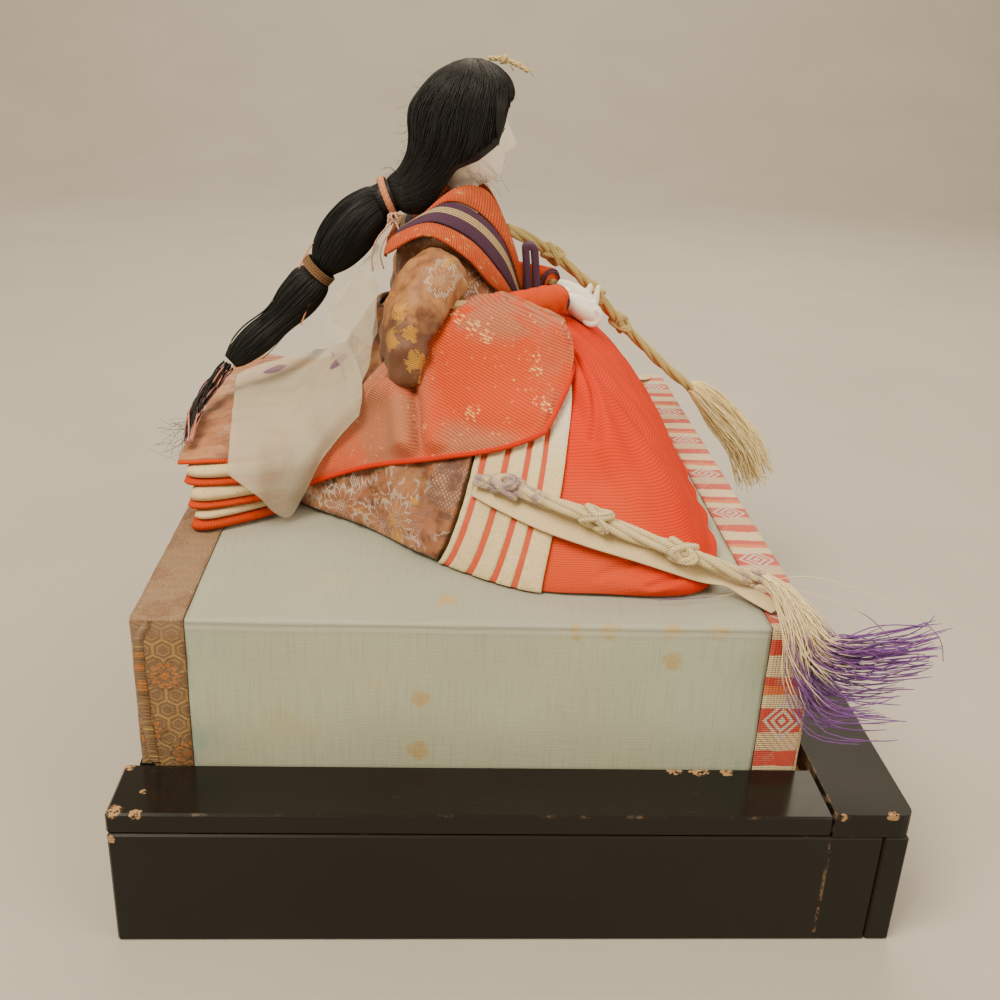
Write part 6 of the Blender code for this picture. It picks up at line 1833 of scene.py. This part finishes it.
# Forward, up, tilt, half depth and half width of the wig's rings, in shares of the head's height
HAIR_RINGS = [
    (0.05, 0.985, 0, 0.05, 0.052), (0.05, 0.935, 0, 0.185, 0.212), (0.045, 0.84, 3, 0.306, 0.345),
    (0.01, 0.70, 6, 0.378, 0.405), (-0.035, 0.515, 12, 0.428, 0.418), (-0.075, 0.33, 20, 0.425, 0.408),
    (-0.16, 0.155, 32, 0.364, 0.349), (-0.29, 0.015, 45, 0.282, 0.271), (-0.43, -0.085, 55, 0.214, 0.205),
    (-0.545, -0.125, 62, 0.170, 0.163), (-0.60, -0.128, 65, 0.135, 0.130),
]
WIG_STRANDS = 1300
WISPS = 120
CHEEK_WISPS = 17
STRAND_STEPS = 34
CROWN_X = NECK_X + 2 * MM
NECK_AT = np.array((NECK_X, CHIN_Z))
FACE_WINDOW = np.array([
    (0.40, 0.715), (0.300, 0.54), (0.235, 0.37), (0.08, 0.25), (-0.08, 0.165), (-0.19, -0.02),
    (-0.26, -0.165), (-0.32, -0.33), (0.70, -0.33), (0.70, 0.715),
])
TAIL_UPPER = [
    (-0.012, 0.0, -0.005, 0.42), (0.00, 0.0, 0.00, 0.58), (0.045, 0.0, 0.020, 0.64),
    (0.075, -0.004, 0.036, 0.78), (0.145, -0.008, 0.088, 0.96), (0.22, -0.012, 0.157, 1.0),
    (0.29, -0.015, 0.226, 0.84), (0.335, -0.018, 0.270, 0.56), (0.356, -0.019, 0.288, 0.42),
]
TAIL_LOWER = [
    (0.364, -0.020, 0.295, 0.42), (0.40, -0.023, 0.335, 0.74), (0.475, -0.038, 0.410, 0.76),
    (0.57, -0.060, 0.49, 0.58), (0.69, -0.090, 0.571, 0.62), (0.78, -0.114, 0.628, 0.48),
    (0.82, -0.130, 0.655, 0.30),
]
TAIL_END = [
    (0.834, -0.136, 0.668, 0.24), (0.895, -0.225, 0.722, 0.25), (0.940, -0.41, 0.765, 0.23),
    (0.930, -0.635, 0.782, 0.20), (0.908, -0.85, 0.805, 0.12),
]


def in_window(points):
    """Whether places lie in the side view of the opening for the face."""
    x = (points[..., 0] - NECK_X) / HEAD_HEIGHT
    z = (points[..., 2] - CHIN_Z) / HEAD_HEIGHT
    inside = np.zeros(x.shape, bool)
    for (x1, z1), (x2, z2) in zip(FACE_WINDOW, np.roll(FACE_WINDOW, -1, 0)):
        crosses = (z1 > z) != (z2 > z)
        inside ^= crosses & (x < (x2 - x1) * (z - z1) / (z2 - z1 + 1e-12) + x1)
    return inside


def hood_place(angle, share, swell):
    """Places on the wig's surface, along its flow from the crown to the tie."""
    rows = curve_through(HAIR_RINGS, share)
    tilt = np.radians(rows[..., 2])
    radius = rows[..., 3] * HEAD_HEIGHT * swell
    x = NECK_X + rows[..., 0] * HEAD_HEIGHT + np.cos(tilt) * radius * np.cos(angle)
    y = rows[..., 4] * HEAD_HEIGHT * swell * np.sin(angle)
    z = CHIN_Z + rows[..., 1] * HEAD_HEIGHT - np.sin(tilt) * radius * np.cos(angle)
    return np.stack([x, y, z], -1)


def build_hair():
    wig = copy_of("hair", "wig_mass", LOOKS["hair"])
    for vertex in wig.data.vertices:
        rise = (vertex.co.z - CHIN_Z) / HEAD_HEIGHT
        vertex.co.x += 2.2 * MM * float(smooth_step((rise - 0.60) / 0.25))
        narrow = 1 - 0.10 * float(smooth_step((rise - 0.45) / 0.30))
        vertex.co.x = CROWN_X + (vertex.co.x - CROWN_X) * narrow
        vertex.co.z -= 0.9 * MM * float(smooth_step((rise - 0.70) / 0.30))
    window = Heap()
    opening = NECK_AT + FACE_WINDOW * HEAD_HEIGHT
    count = len(opening)
    faces = [[k, (k + 1) % count, count + (k + 1) % count, count + k] for k in range(count)]
    sides = [np.insert(opening, 1, y, axis=1) for y in (-30 * MM, 30 * MM)]
    window.add(np.concatenate(sides), faces, np.zeros((2 * count, 2)))
    window.faces.append(list(range(count))[::-1])
    window.faces.append(list(range(count, 2 * count)))
    cutter = window.piece("window", LOOKS["hair"])
    cut_away(wig, cutter)
    soften(wig, 0.5 * MM, 4)
    dress(wig, "head", "hair", "hair")
    draw = np.random.default_rng(91)
    heap = Heap()
    for _ in range(WIG_STRANDS):
        share = np.linspace(draw.uniform(0.0, 0.15), draw.uniform(0.93, 1.0), STRAND_STEPS)
        angle = draw.uniform(0, ROUND) + 0.10 * np.sin(share * draw.uniform(3, 7) + draw.uniform(0, ROUND))
        swell = 1.0 + draw.uniform(-0.02, 0.035)
        swell += 0.012 * np.sin(share * draw.uniform(4, 9) + draw.uniform(0, ROUND))
        path = hood_place(angle, share, swell)
        clear = ~in_window(path)
        runs = np.split(np.arange(STRAND_STEPS), np.flatnonzero(np.diff(clear.astype(int))) + 1)
        for run in runs:
            if clear[run[0]] and len(run) > 5:
                ends = [0, 2, len(run) - 2, len(run)]
                thin = np.interp(np.arange(len(run)), ends, [0.4, 1, 1, 0.5])
                heap.tube(path[run], 0.16 * MM * thin, 4, cloth=draw.uniform(0, 1))
    for side in (-1, 1):
        for k in range(26):
            spread = (k / 25 - 0.5) * 2.8 * MM
            lock = np.array([(0.27, 0.335, 0.76), (0.268, 0.355, 0.63), (0.258, 0.355, 0.50),
                             (0.262, 0.340, 0.350)])
            path = np.stack([NECK_X + lock[:, 0] * HEAD_HEIGHT, side * lock[:, 1] * HEAD_HEIGHT,
                             CHIN_Z + lock[:, 2] * HEAD_HEIGHT], -1)
            path[:, 0] += spread * np.array((1.2, 1.0, 0.6, 0.05))
            path[:, 2] += draw.uniform(-0.8, 0.8, 4) * MM * np.array((2.0, 0.5, 0.5, 0.8))
            width = 0.24 * MM * np.interp(steps(18), [0, 0.3, 0.7, 1], [0.2, 1, 1, 0.3])
            heap.tube(curve_through(path, steps(18)), width, 4, cloth=0.5)
    dress(heap.piece("wig_strands", LOOKS["hair"]), "head", "hair")
    wisps = Heap()

    def curl(start, way, reach, width):
        """One stray hair that leaves a place along a way and curls."""
        t = steps(26)
        turn = draw.uniform(2, 7) * t + draw.uniform(0, ROUND)
        first = unit(np.cross(way, draw.normal(size=3)))
        second = np.cross(way, first)
        swing = (t * draw.uniform(0.5, 2.2) * MM)[:, None]
        sag = np.array((0, 0, -1.0)) * (t ** 2 * reach * 0.35)[:, None]
        path = start + way * (t * reach)[:, None] + sag + around(first, second, turn) * swing
        path[:, 2] = np.minimum(path[:, 2], CAD_BOX[1].z + 4 * MM)
        wisps.tube(path, width, 3, cloth=0.5)

    for _ in range(WISPS):
        angle = np.array(draw.uniform(0.6, ROUND - 0.6))
        share = np.array(mix(draw.uniform(0.05, 1.0), 0.85, draw.uniform(0, 1) ** 2))
        start = hood_place(angle, share, 1.0)
        if in_window(start[None])[0]:
            continue
        out = unit(start - hood_place(angle, share, 0.5))
        way = unit(out + np.array((-0.35, 0, 0.1)) + draw.normal(size=3) * 0.3)
        curl(start, way, draw.uniform(1.5, 7.5) * MM, 0.042 * MM)
    for _ in range(CHEEK_WISPS):
        start = np.array((NECK_X + draw.uniform(-0.05, 0.22) * HEAD_HEIGHT,
                          -draw.uniform(0.28, 0.37) * HEAD_HEIGHT,
                          CHIN_Z + draw.uniform(0.03, 0.30) * HEAD_HEIGHT))
        way = unit(np.array((0.8, -0.25, -0.5)) + draw.normal(size=3) * 0.45)
        curl(start, way, draw.uniform(5, 10) * MM, 0.045 * MM)
    dress(wisps.piece("wig_wisps", LOOKS["hair"]), "head", "hair")


def tail_line(table, count):
    rows = curve_through(table, steps(count))
    line = np.stack([TIE_X - rows[:, 0] * TAIL_REACH, rows[:, 1] * TAIL_REACH,
                     TIE_Z - rows[:, 2] * TAIL_DROP], -1)
    return line, rows[:, 3] * TAIL_RADIUS


def build_tail():
    draw = np.random.default_rng(93)
    for name, table, count, tufts in (("upper", TAIL_UPPER, 420, 0), ("lower", TAIL_LOWER, 380, 30)):
        heap = Heap()
        line, radius = tail_line(table, 40)
        side, other = frames_along(line)
        heap.tube(line, radius * 0.93, 28)
        for k in range(count + tufts):
            angle = draw.uniform(0, ROUND) + 0.5 * np.sin(np.linspace(0, draw.uniform(1, 4), 40))
            reach = draw.uniform(0.90, 1.0) + 0.05 * np.sin(np.linspace(0, draw.uniform(3, 9), 40))
            if k >= count:
                reach = reach + np.linspace(0, draw.uniform(0.2, 0.9), 40) ** 2
            path = line + around(side, other, angle) * (radius * reach)[:, None]
            if k >= count:
                path = path[int(draw.uniform(0, 10)):int(draw.uniform(16, 40))]
            heap.tube(path, 0.15 * MM, 4, cloth=0.5)
        dress(heap.piece("tail_strands_" + name, LOOKS["hair"]), "tail", "hair", "tail_" + name)
    line, radius = tail_line(TAIL_END, 50)
    side, other = frames_along(line)
    black, coloured = Heap(), Heap()
    for k in range(64):
        wander = draw.uniform(0, ROUND, 2)
        t = steps(50)
        reach = radius * (0.75 + 0.35 * np.sin(t * draw.uniform(5, 14) + wander[0]))
        angle = wander[1] + t * draw.uniform(-4, 4)
        path = line + around(side, other, angle) * reach[:, None]
        if k % 4 == 3:
            coloured.tube(path[4:], 0.26 * MM, 5, cloth=draw.uniform(0, 1))
        else:
            black.tube(path[:int(draw.uniform(34, 50))], 0.20 * MM, 4, cloth=0.5)
    for k in range(26):
        start = line[int(draw.uniform(34, 49))]
        way = np.array((draw.uniform(-9, -1), draw.uniform(-10, -1), draw.uniform(-4, 1))) * MM
        path = [start, start + way * 0.4 + draw.normal(size=3) * MM,
                start + way * 0.75 + draw.normal(size=3) * 2 * MM,
                start + way + draw.normal(size=3) * 2 * MM]
        path = np.array(path)
        path[:, 0] = np.maximum(path[:, 0], CAD_BOX[0].x - 4 * MM)
        black.tube(curve_through(path, steps(16)), 0.05 * MM, 3, cloth=0.5)
    dress(black.piece("tail_strands_end", LOOKS["hair"]), "tail", "hair", "tail_end")
    dress(coloured.piece("tail_end_threads", LOOKS["tail_thread"]), "tail", "red_silk")


def tie_coils(node, turns, band):
    """Paper cord wound round a bundle of hair, in the place of a tie node."""
    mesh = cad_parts[node].data
    places = np.array([v.co for v in mesh.vertices])
    centre = places.mean(0)
    spread = np.linalg.svd(places - centre, full_matrices=False)[2]
    first, second, along = spread
    offset = places - centre
    radius = np.sqrt((offset ** 2).sum(1) - (offset @ along) ** 2).max() - 1.5 * band
    t = np.linspace(0, turns * ROUND, int(26 * turns))
    path = centre + first * (radius * np.cos(t))[:, None] + second * (radius * np.sin(t))[:, None]
    path = path + along * (np.linspace(-0.5, 0.5, len(t)) * band * 1.7 * turns)[:, None]
    heap = Heap()
    heap.tube(path, band, 8)
    return heap, centre


def build_ties():
    heap, centre = tie_coils("tie_1", 2.2, 0.62 * MM)
    dress(heap.piece("paper_wrap", LOOKS["paper"]), "head", "paper_tie", "tie_1")
    wound = heap.points[0]
    axis = np.linalg.svd(wound - wound.mean(0), full_matrices=False)[2][2]
    bundle = Heap()
    reach = (np.abs(wound - centre).max() - 1.6 * MM)
    core = centre + axis * np.linspace(-3.2, 3.2, 8)[:, None] * MM
    bundle.tube(core, reach * np.array((0.90, 0.96, 1, 1, 1, 1, 0.96, 0.90)), 28, cloth=0.5)
    dress(bundle.piece("tied_hair", LOOKS["hair"]), "head", "hair")
    knot = Heap()
    heart = centre + np.array((2.6, -6.2, -6.2)) * MM
    for lean in (0.0, 1.1, 2.2, 3.3):
        t = np.linspace(0, ROUND, 22)
        ring = np.stack([2.0 * np.cos(t) * math.cos(lean) + 0.5 * np.sin(2 * t),
                         1.5 * np.cos(t) * math.sin(lean), 1.9 * np.sin(t)], -1) * MM
        knot.tube(heart + ring, 0.42 * MM, 7)
    for route in ([(0, 0, 0), (-3, -2, -3), (-6.0, -3, -7), (-7.5, -4, -12), (-7.2, -4, -17)],
                  [(0, 0, 0), (-1.5, -2, -4), (-4.0, -3, -8), (-4.6, -4, -12), (-3.4, -5, -16)],
                  [(0, 0, 0), (1.5, -2, -3), (4, -3, -5)]):
        knot.tube(curve_through(heart + np.array(route) * MM, steps(30)), 0.34 * MM, 6)
    dress(knot.piece("string_knot", LOOKS["string"]), "head", "paper_tie")
    loose = Heap()
    for route in ([(-62, 0, 175.5), (-66, -1, 171.0), (-69.9, -2, 166.2), (-73.8, -4, 157.7),
                   (-75.0, -6, 152.5)],
                  [(-66.0, -6, 152.5), (-69, -7, 149), (-71.9, -8, 142.0)]):
        loose.tube(trace(route, 30), 0.28 * MM, 6)
    dress(loose.piece("tail_strings", LOOKS["paper"]), "tail", "paper_tie")
    heap, centre = tie_coils("tie_2", 4.2, 0.46 * MM)
    dress(heap.piece("brown_wrap", LOOKS["brown_tie"]), "tail", "gold_brocade", "tie_2")


def build_ornament():
    low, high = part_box("hair_ornament")
    start = np.array((low.x + 0.5 * MM, 0, high.z - 2.2 * MM))
    end = np.array((high.x, 0, low.z + 1.2 * MM))
    draw = np.random.default_rng(97)
    heap = Heap()
    t = steps(60)
    for strand in range(3):
        phase = strand / 3 * ROUND
        swirl = np.stack([np.zeros(60), np.cos(t * 16 + phase), np.sin(t * 16 + phase)], -1) * 0.50 * MM
        bow = np.array((0, 0, 1)) * (np.sin(math.pi * t) * 1.2 * MM)[:, None]
        heap.tube(mix(start, end, t[:, None]) + bow + swirl, 0.38 * MM, 7)
    middle = mix(start, end, 0.38) + np.array((0, 0, 1.2)) * MM
    for lean in (0.2, 1.3, 2.4):
        s = np.linspace(0, ROUND, 20)
        ring = np.stack([0.9 * np.cos(s) * math.cos(lean), 1.3 * np.sin(s), 1.3 * np.cos(s)], -1) * MM
        heap.tube(middle + ring, 0.36 * MM, 7)
    for _ in range(9):
        way = np.array((draw.uniform(1, 4.5), draw.uniform(-2, 2), draw.uniform(-2.0, 1.5))) * MM
        root = mix(start, end, draw.uniform(0.5, 1.0))
        heap.tube(np.array([root, root + way * 0.5 + np.array((0, 0, 0.4)) * MM, root + way]), 0.13 * MM, 5)
    dress(heap.piece("ornament_straw", LOOKS["straw_twist"]), "head", "yellow_cord", "hair_ornament")


# Gauze and ribbons

MO_REACH = 100 * MM
MO_PANEL = [
    [(-0.49, -0.53, 0.59), (-0.48, -0.50, 0.72), (-0.50, -0.38, 0.80), (-0.555, -0.22, 0.86)],
    [(-0.60, -0.53, 0.35), (-0.59, -0.50, 0.53), (-0.605, -0.31, 0.68), (-0.617, -0.05, 0.75)],
    [(-0.711, -0.58, 0.02), (-0.69, -0.56, 0.32), (-0.70, -0.345, 0.53), (-0.728, 0.15, 0.615)],
    [(-0.80, -0.67, 0.20), (-0.80, -0.59, 0.42), (-0.83, -0.31, 0.50), (-0.90, 0.245, 0.485)],
    [(-0.885, -0.67, 0.335), (-0.895, -0.55, 0.44), (-0.93, -0.28, 0.475), (-0.985, 0.13, 0.470)],
]
MO_WAIST = [
    [(-0.450, -0.13, 1.34), (-0.452, -0.05, 1.36), (-0.455, 0.04, 1.35)],
    [(-0.450, -0.20, 1.20), (-0.475, -0.12, 1.21), (-0.520, -0.06, 1.23)],
    [(-0.447, -0.295, 0.96), (-0.535, -0.15, 0.97), (-0.615, -0.08, 1.03)],
    [(-0.460, -0.335, 0.885), (-0.548, -0.17, 0.90), (-0.625, -0.10, 0.93)],
]


MO_FOLD = [
    [(-0.450, -0.20, 1.20), (-0.475, -0.12, 1.21), (-0.520, -0.06, 1.23)],
    [(-0.452, -0.32, 0.98), (-0.520, -0.22, 1.00), (-0.590, -0.09, 1.04)],
    [(-0.462, -0.43, 0.84), (-0.540, -0.31, 0.90), (-0.630, -0.12, 0.94)],
    [(-0.500, -0.50, 0.66), (-0.545, -0.38, 0.77), (-0.640, -0.17, 0.82)],
]


def build_gauze():
    for name, node, table, ruck, seed, look in (("mo_sheet", "mo_panel", MO_PANEL, 0.45 * MM, 101, "gauze"),
                                                ("mo_upper", "mo_waist", MO_WAIST, 0.60 * MM, 102, "veil"),
                                                ("mo_fold", None, MO_FOLD, 0.70 * MM, 103, "veil")):
        c, r = shares(110, 120)
        lines = np.stack([curve_through(line, c[:, 0]) for line in table], 1)
        grid = np.stack([curve_through(lines[i], r[0]) for i in range(len(lines))])
        grid = grid * np.array((MO_REACH, MO_REACH, LAP_HEIGHT)) + np.array((0, 0, FLOOR_Z))
        grid += normals_of(grid) * (ripple(grid, 11 * MM, seed) * ruck)[..., None]
        wide, long = length_of(grid[:, 60]), length_of(grid[55])
        piece = sheet_piece(name, grid, 0.18 * MM, (wide, long), LOOKS[look])
        dress(piece, "doll", "gauze", *([node] if node else []))


RIBBON_WIDTH = 7 * MM
RIBBON_THICKNESS = 0.5 * MM
RIBBON_EDGE = -0.45
RIBBON_SIDE = 125 * MM
RIBBON_LAP = [(0.540, 0.345), (0.513, 0.322), (0.470, 0.280), (0.421, 0.240), (0.372, 0.200), (0.324, 0.136)]
RIBBON_FREE = [(0.335, 0.840, 0.06), (0.380, 0.890, 0.018), (0.402, 0.930, 0.010)]


def build_ribbons():
    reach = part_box("front_edging")[1].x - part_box("silk_cover")[0].x + 10.5 * MM
    for side, name in ((-1, "near"), (1, "far")):
        turns, leans = np.array(RIBBON_LAP).T
        on_lap = lap_point(side * turns, leans, SKIRT_OUTER + GAP)
        above = lap_point(side * turns, leans, SKIRT_OUTER + GAP + RIBBON_THICKNESS)
        free = np.array(RIBBON_FREE) * (reach, side * RIBBON_SIDE, LAP_HEIGHT) + (0, 0, FLOOR_Z)
        path = np.concatenate([on_lap, free])
        up = np.concatenate([unit(above - on_lap), np.tile((0, 0, 1.0), (3, 1))])
        t = steps(150)
        centre = curve_through(path, t)
        normal = unit(curve_through(up, t))
        ahead = curve_through(path, np.minimum(t + 0.02, 1)) - curve_through(path, np.maximum(t - 0.02, 0))
        across = unit(np.cross(ahead, normal)) * side
        column = steps(14)[:, None, None]
        grid = centre[None] - across[None] * (RIBBON_EDGE + column) * RIBBON_WIDTH
        grid = grid + normal[None] * (RIBBON_THICKNESS * (0.5 + 0.5 * np.sin(math.pi * column)))
        size = RIBBON_WIDTH, length_of(centre)
        piece = sheet_piece("ribbon_%s_silk" % name, grid, 0.4 * MM, size, LOOKS["ribbon"])
        dress(piece, "doll", "cream_crepe", "ribbon_" + name)


# Setting

SKY_COLOUR = (1.0, 0.82, 0.56, 1)
SKY_STRENGTH = 0.66
LIGHT_COLOUR = (1.0, 0.88, 0.68)
# Name, place, aim, size and power
LIGHTS = [
    ("key", (-0.55, -0.55, 1.1), (0, 0, 0.1), 0.6, 25), ("fill", (0.9, -0.6, 0.6), (0, 0, 0.1), 0.9, 9),
    ("back", (0.3, 0.9, 0.9), (0, 0, 0.1), 0.8, 7), ("wall", (0.0, 0.9, 1.9), (0, 2.2, 0.7), 1.2, 34),
]


def make_setting():
    """Pale floor that bends up to a wall, with four soft lights."""
    bend = np.linspace(0, math.pi / 2, 16)
    round_part = [(1.3 + 0.9 * math.sin(t), 0.9 - 0.9 * math.cos(t)) for t in bend]
    profile = [(-3.0, 0.0)] + round_part + [(2.2, 4.0)]
    grid = np.array([[(x, y, z) for y, z in profile] for x in (-4.0, 4.0)])
    heap = Heap()
    heap.add(grid, grid_faces(2, len(profile)), np.zeros((2, len(profile), 2)))
    look = Look("floor", 0.6)
    cloudy = look.noise(look.place(), 0.12, 4)
    floor = heap.piece("floor", look.done(look.mix((0.36, 0.335, 0.30), (0.43, 0.40, 0.36), cloudy)))
    world = bpy.data.worlds.new("studio")
    bpy.context.scene.world = world
    world.use_nodes = True
    sky = world.node_tree.nodes["Background"].inputs
    sky[0].default_value = SKY_COLOUR
    sky[1].default_value = SKY_STRENGTH
    for name, place, aim, size, power in LIGHTS:
        light = bpy.data.lights.new(name, "AREA")
        light.size = size
        light.energy = power
        light.color = LIGHT_COLOUR
        lamp = bpy.data.objects.new(name, light)
        bpy.context.scene.collection.objects.link(lamp)
        lamp.location = place
        lamp.rotation_euler = (Vector(aim) - Vector(place)).to_track_quat("-Z", "Y").to_euler()


make_camera()
build_cords()
finish_kept_nodes()
build_platform()
build_back_bulge()
build_hakama()
build_skirt()
for side_name, side_sign in (("right", -1), ("left", 1)):
    build_hem(side_name, side_sign)
    build_wide_sleeve(side_name, side_sign)
build_train()
build_upper_body()
build_collars()
build_head()
build_hands()
build_hair()
build_tail()
build_ties()
build_ornament()
build_gauze()
build_ribbons()
make_setting()
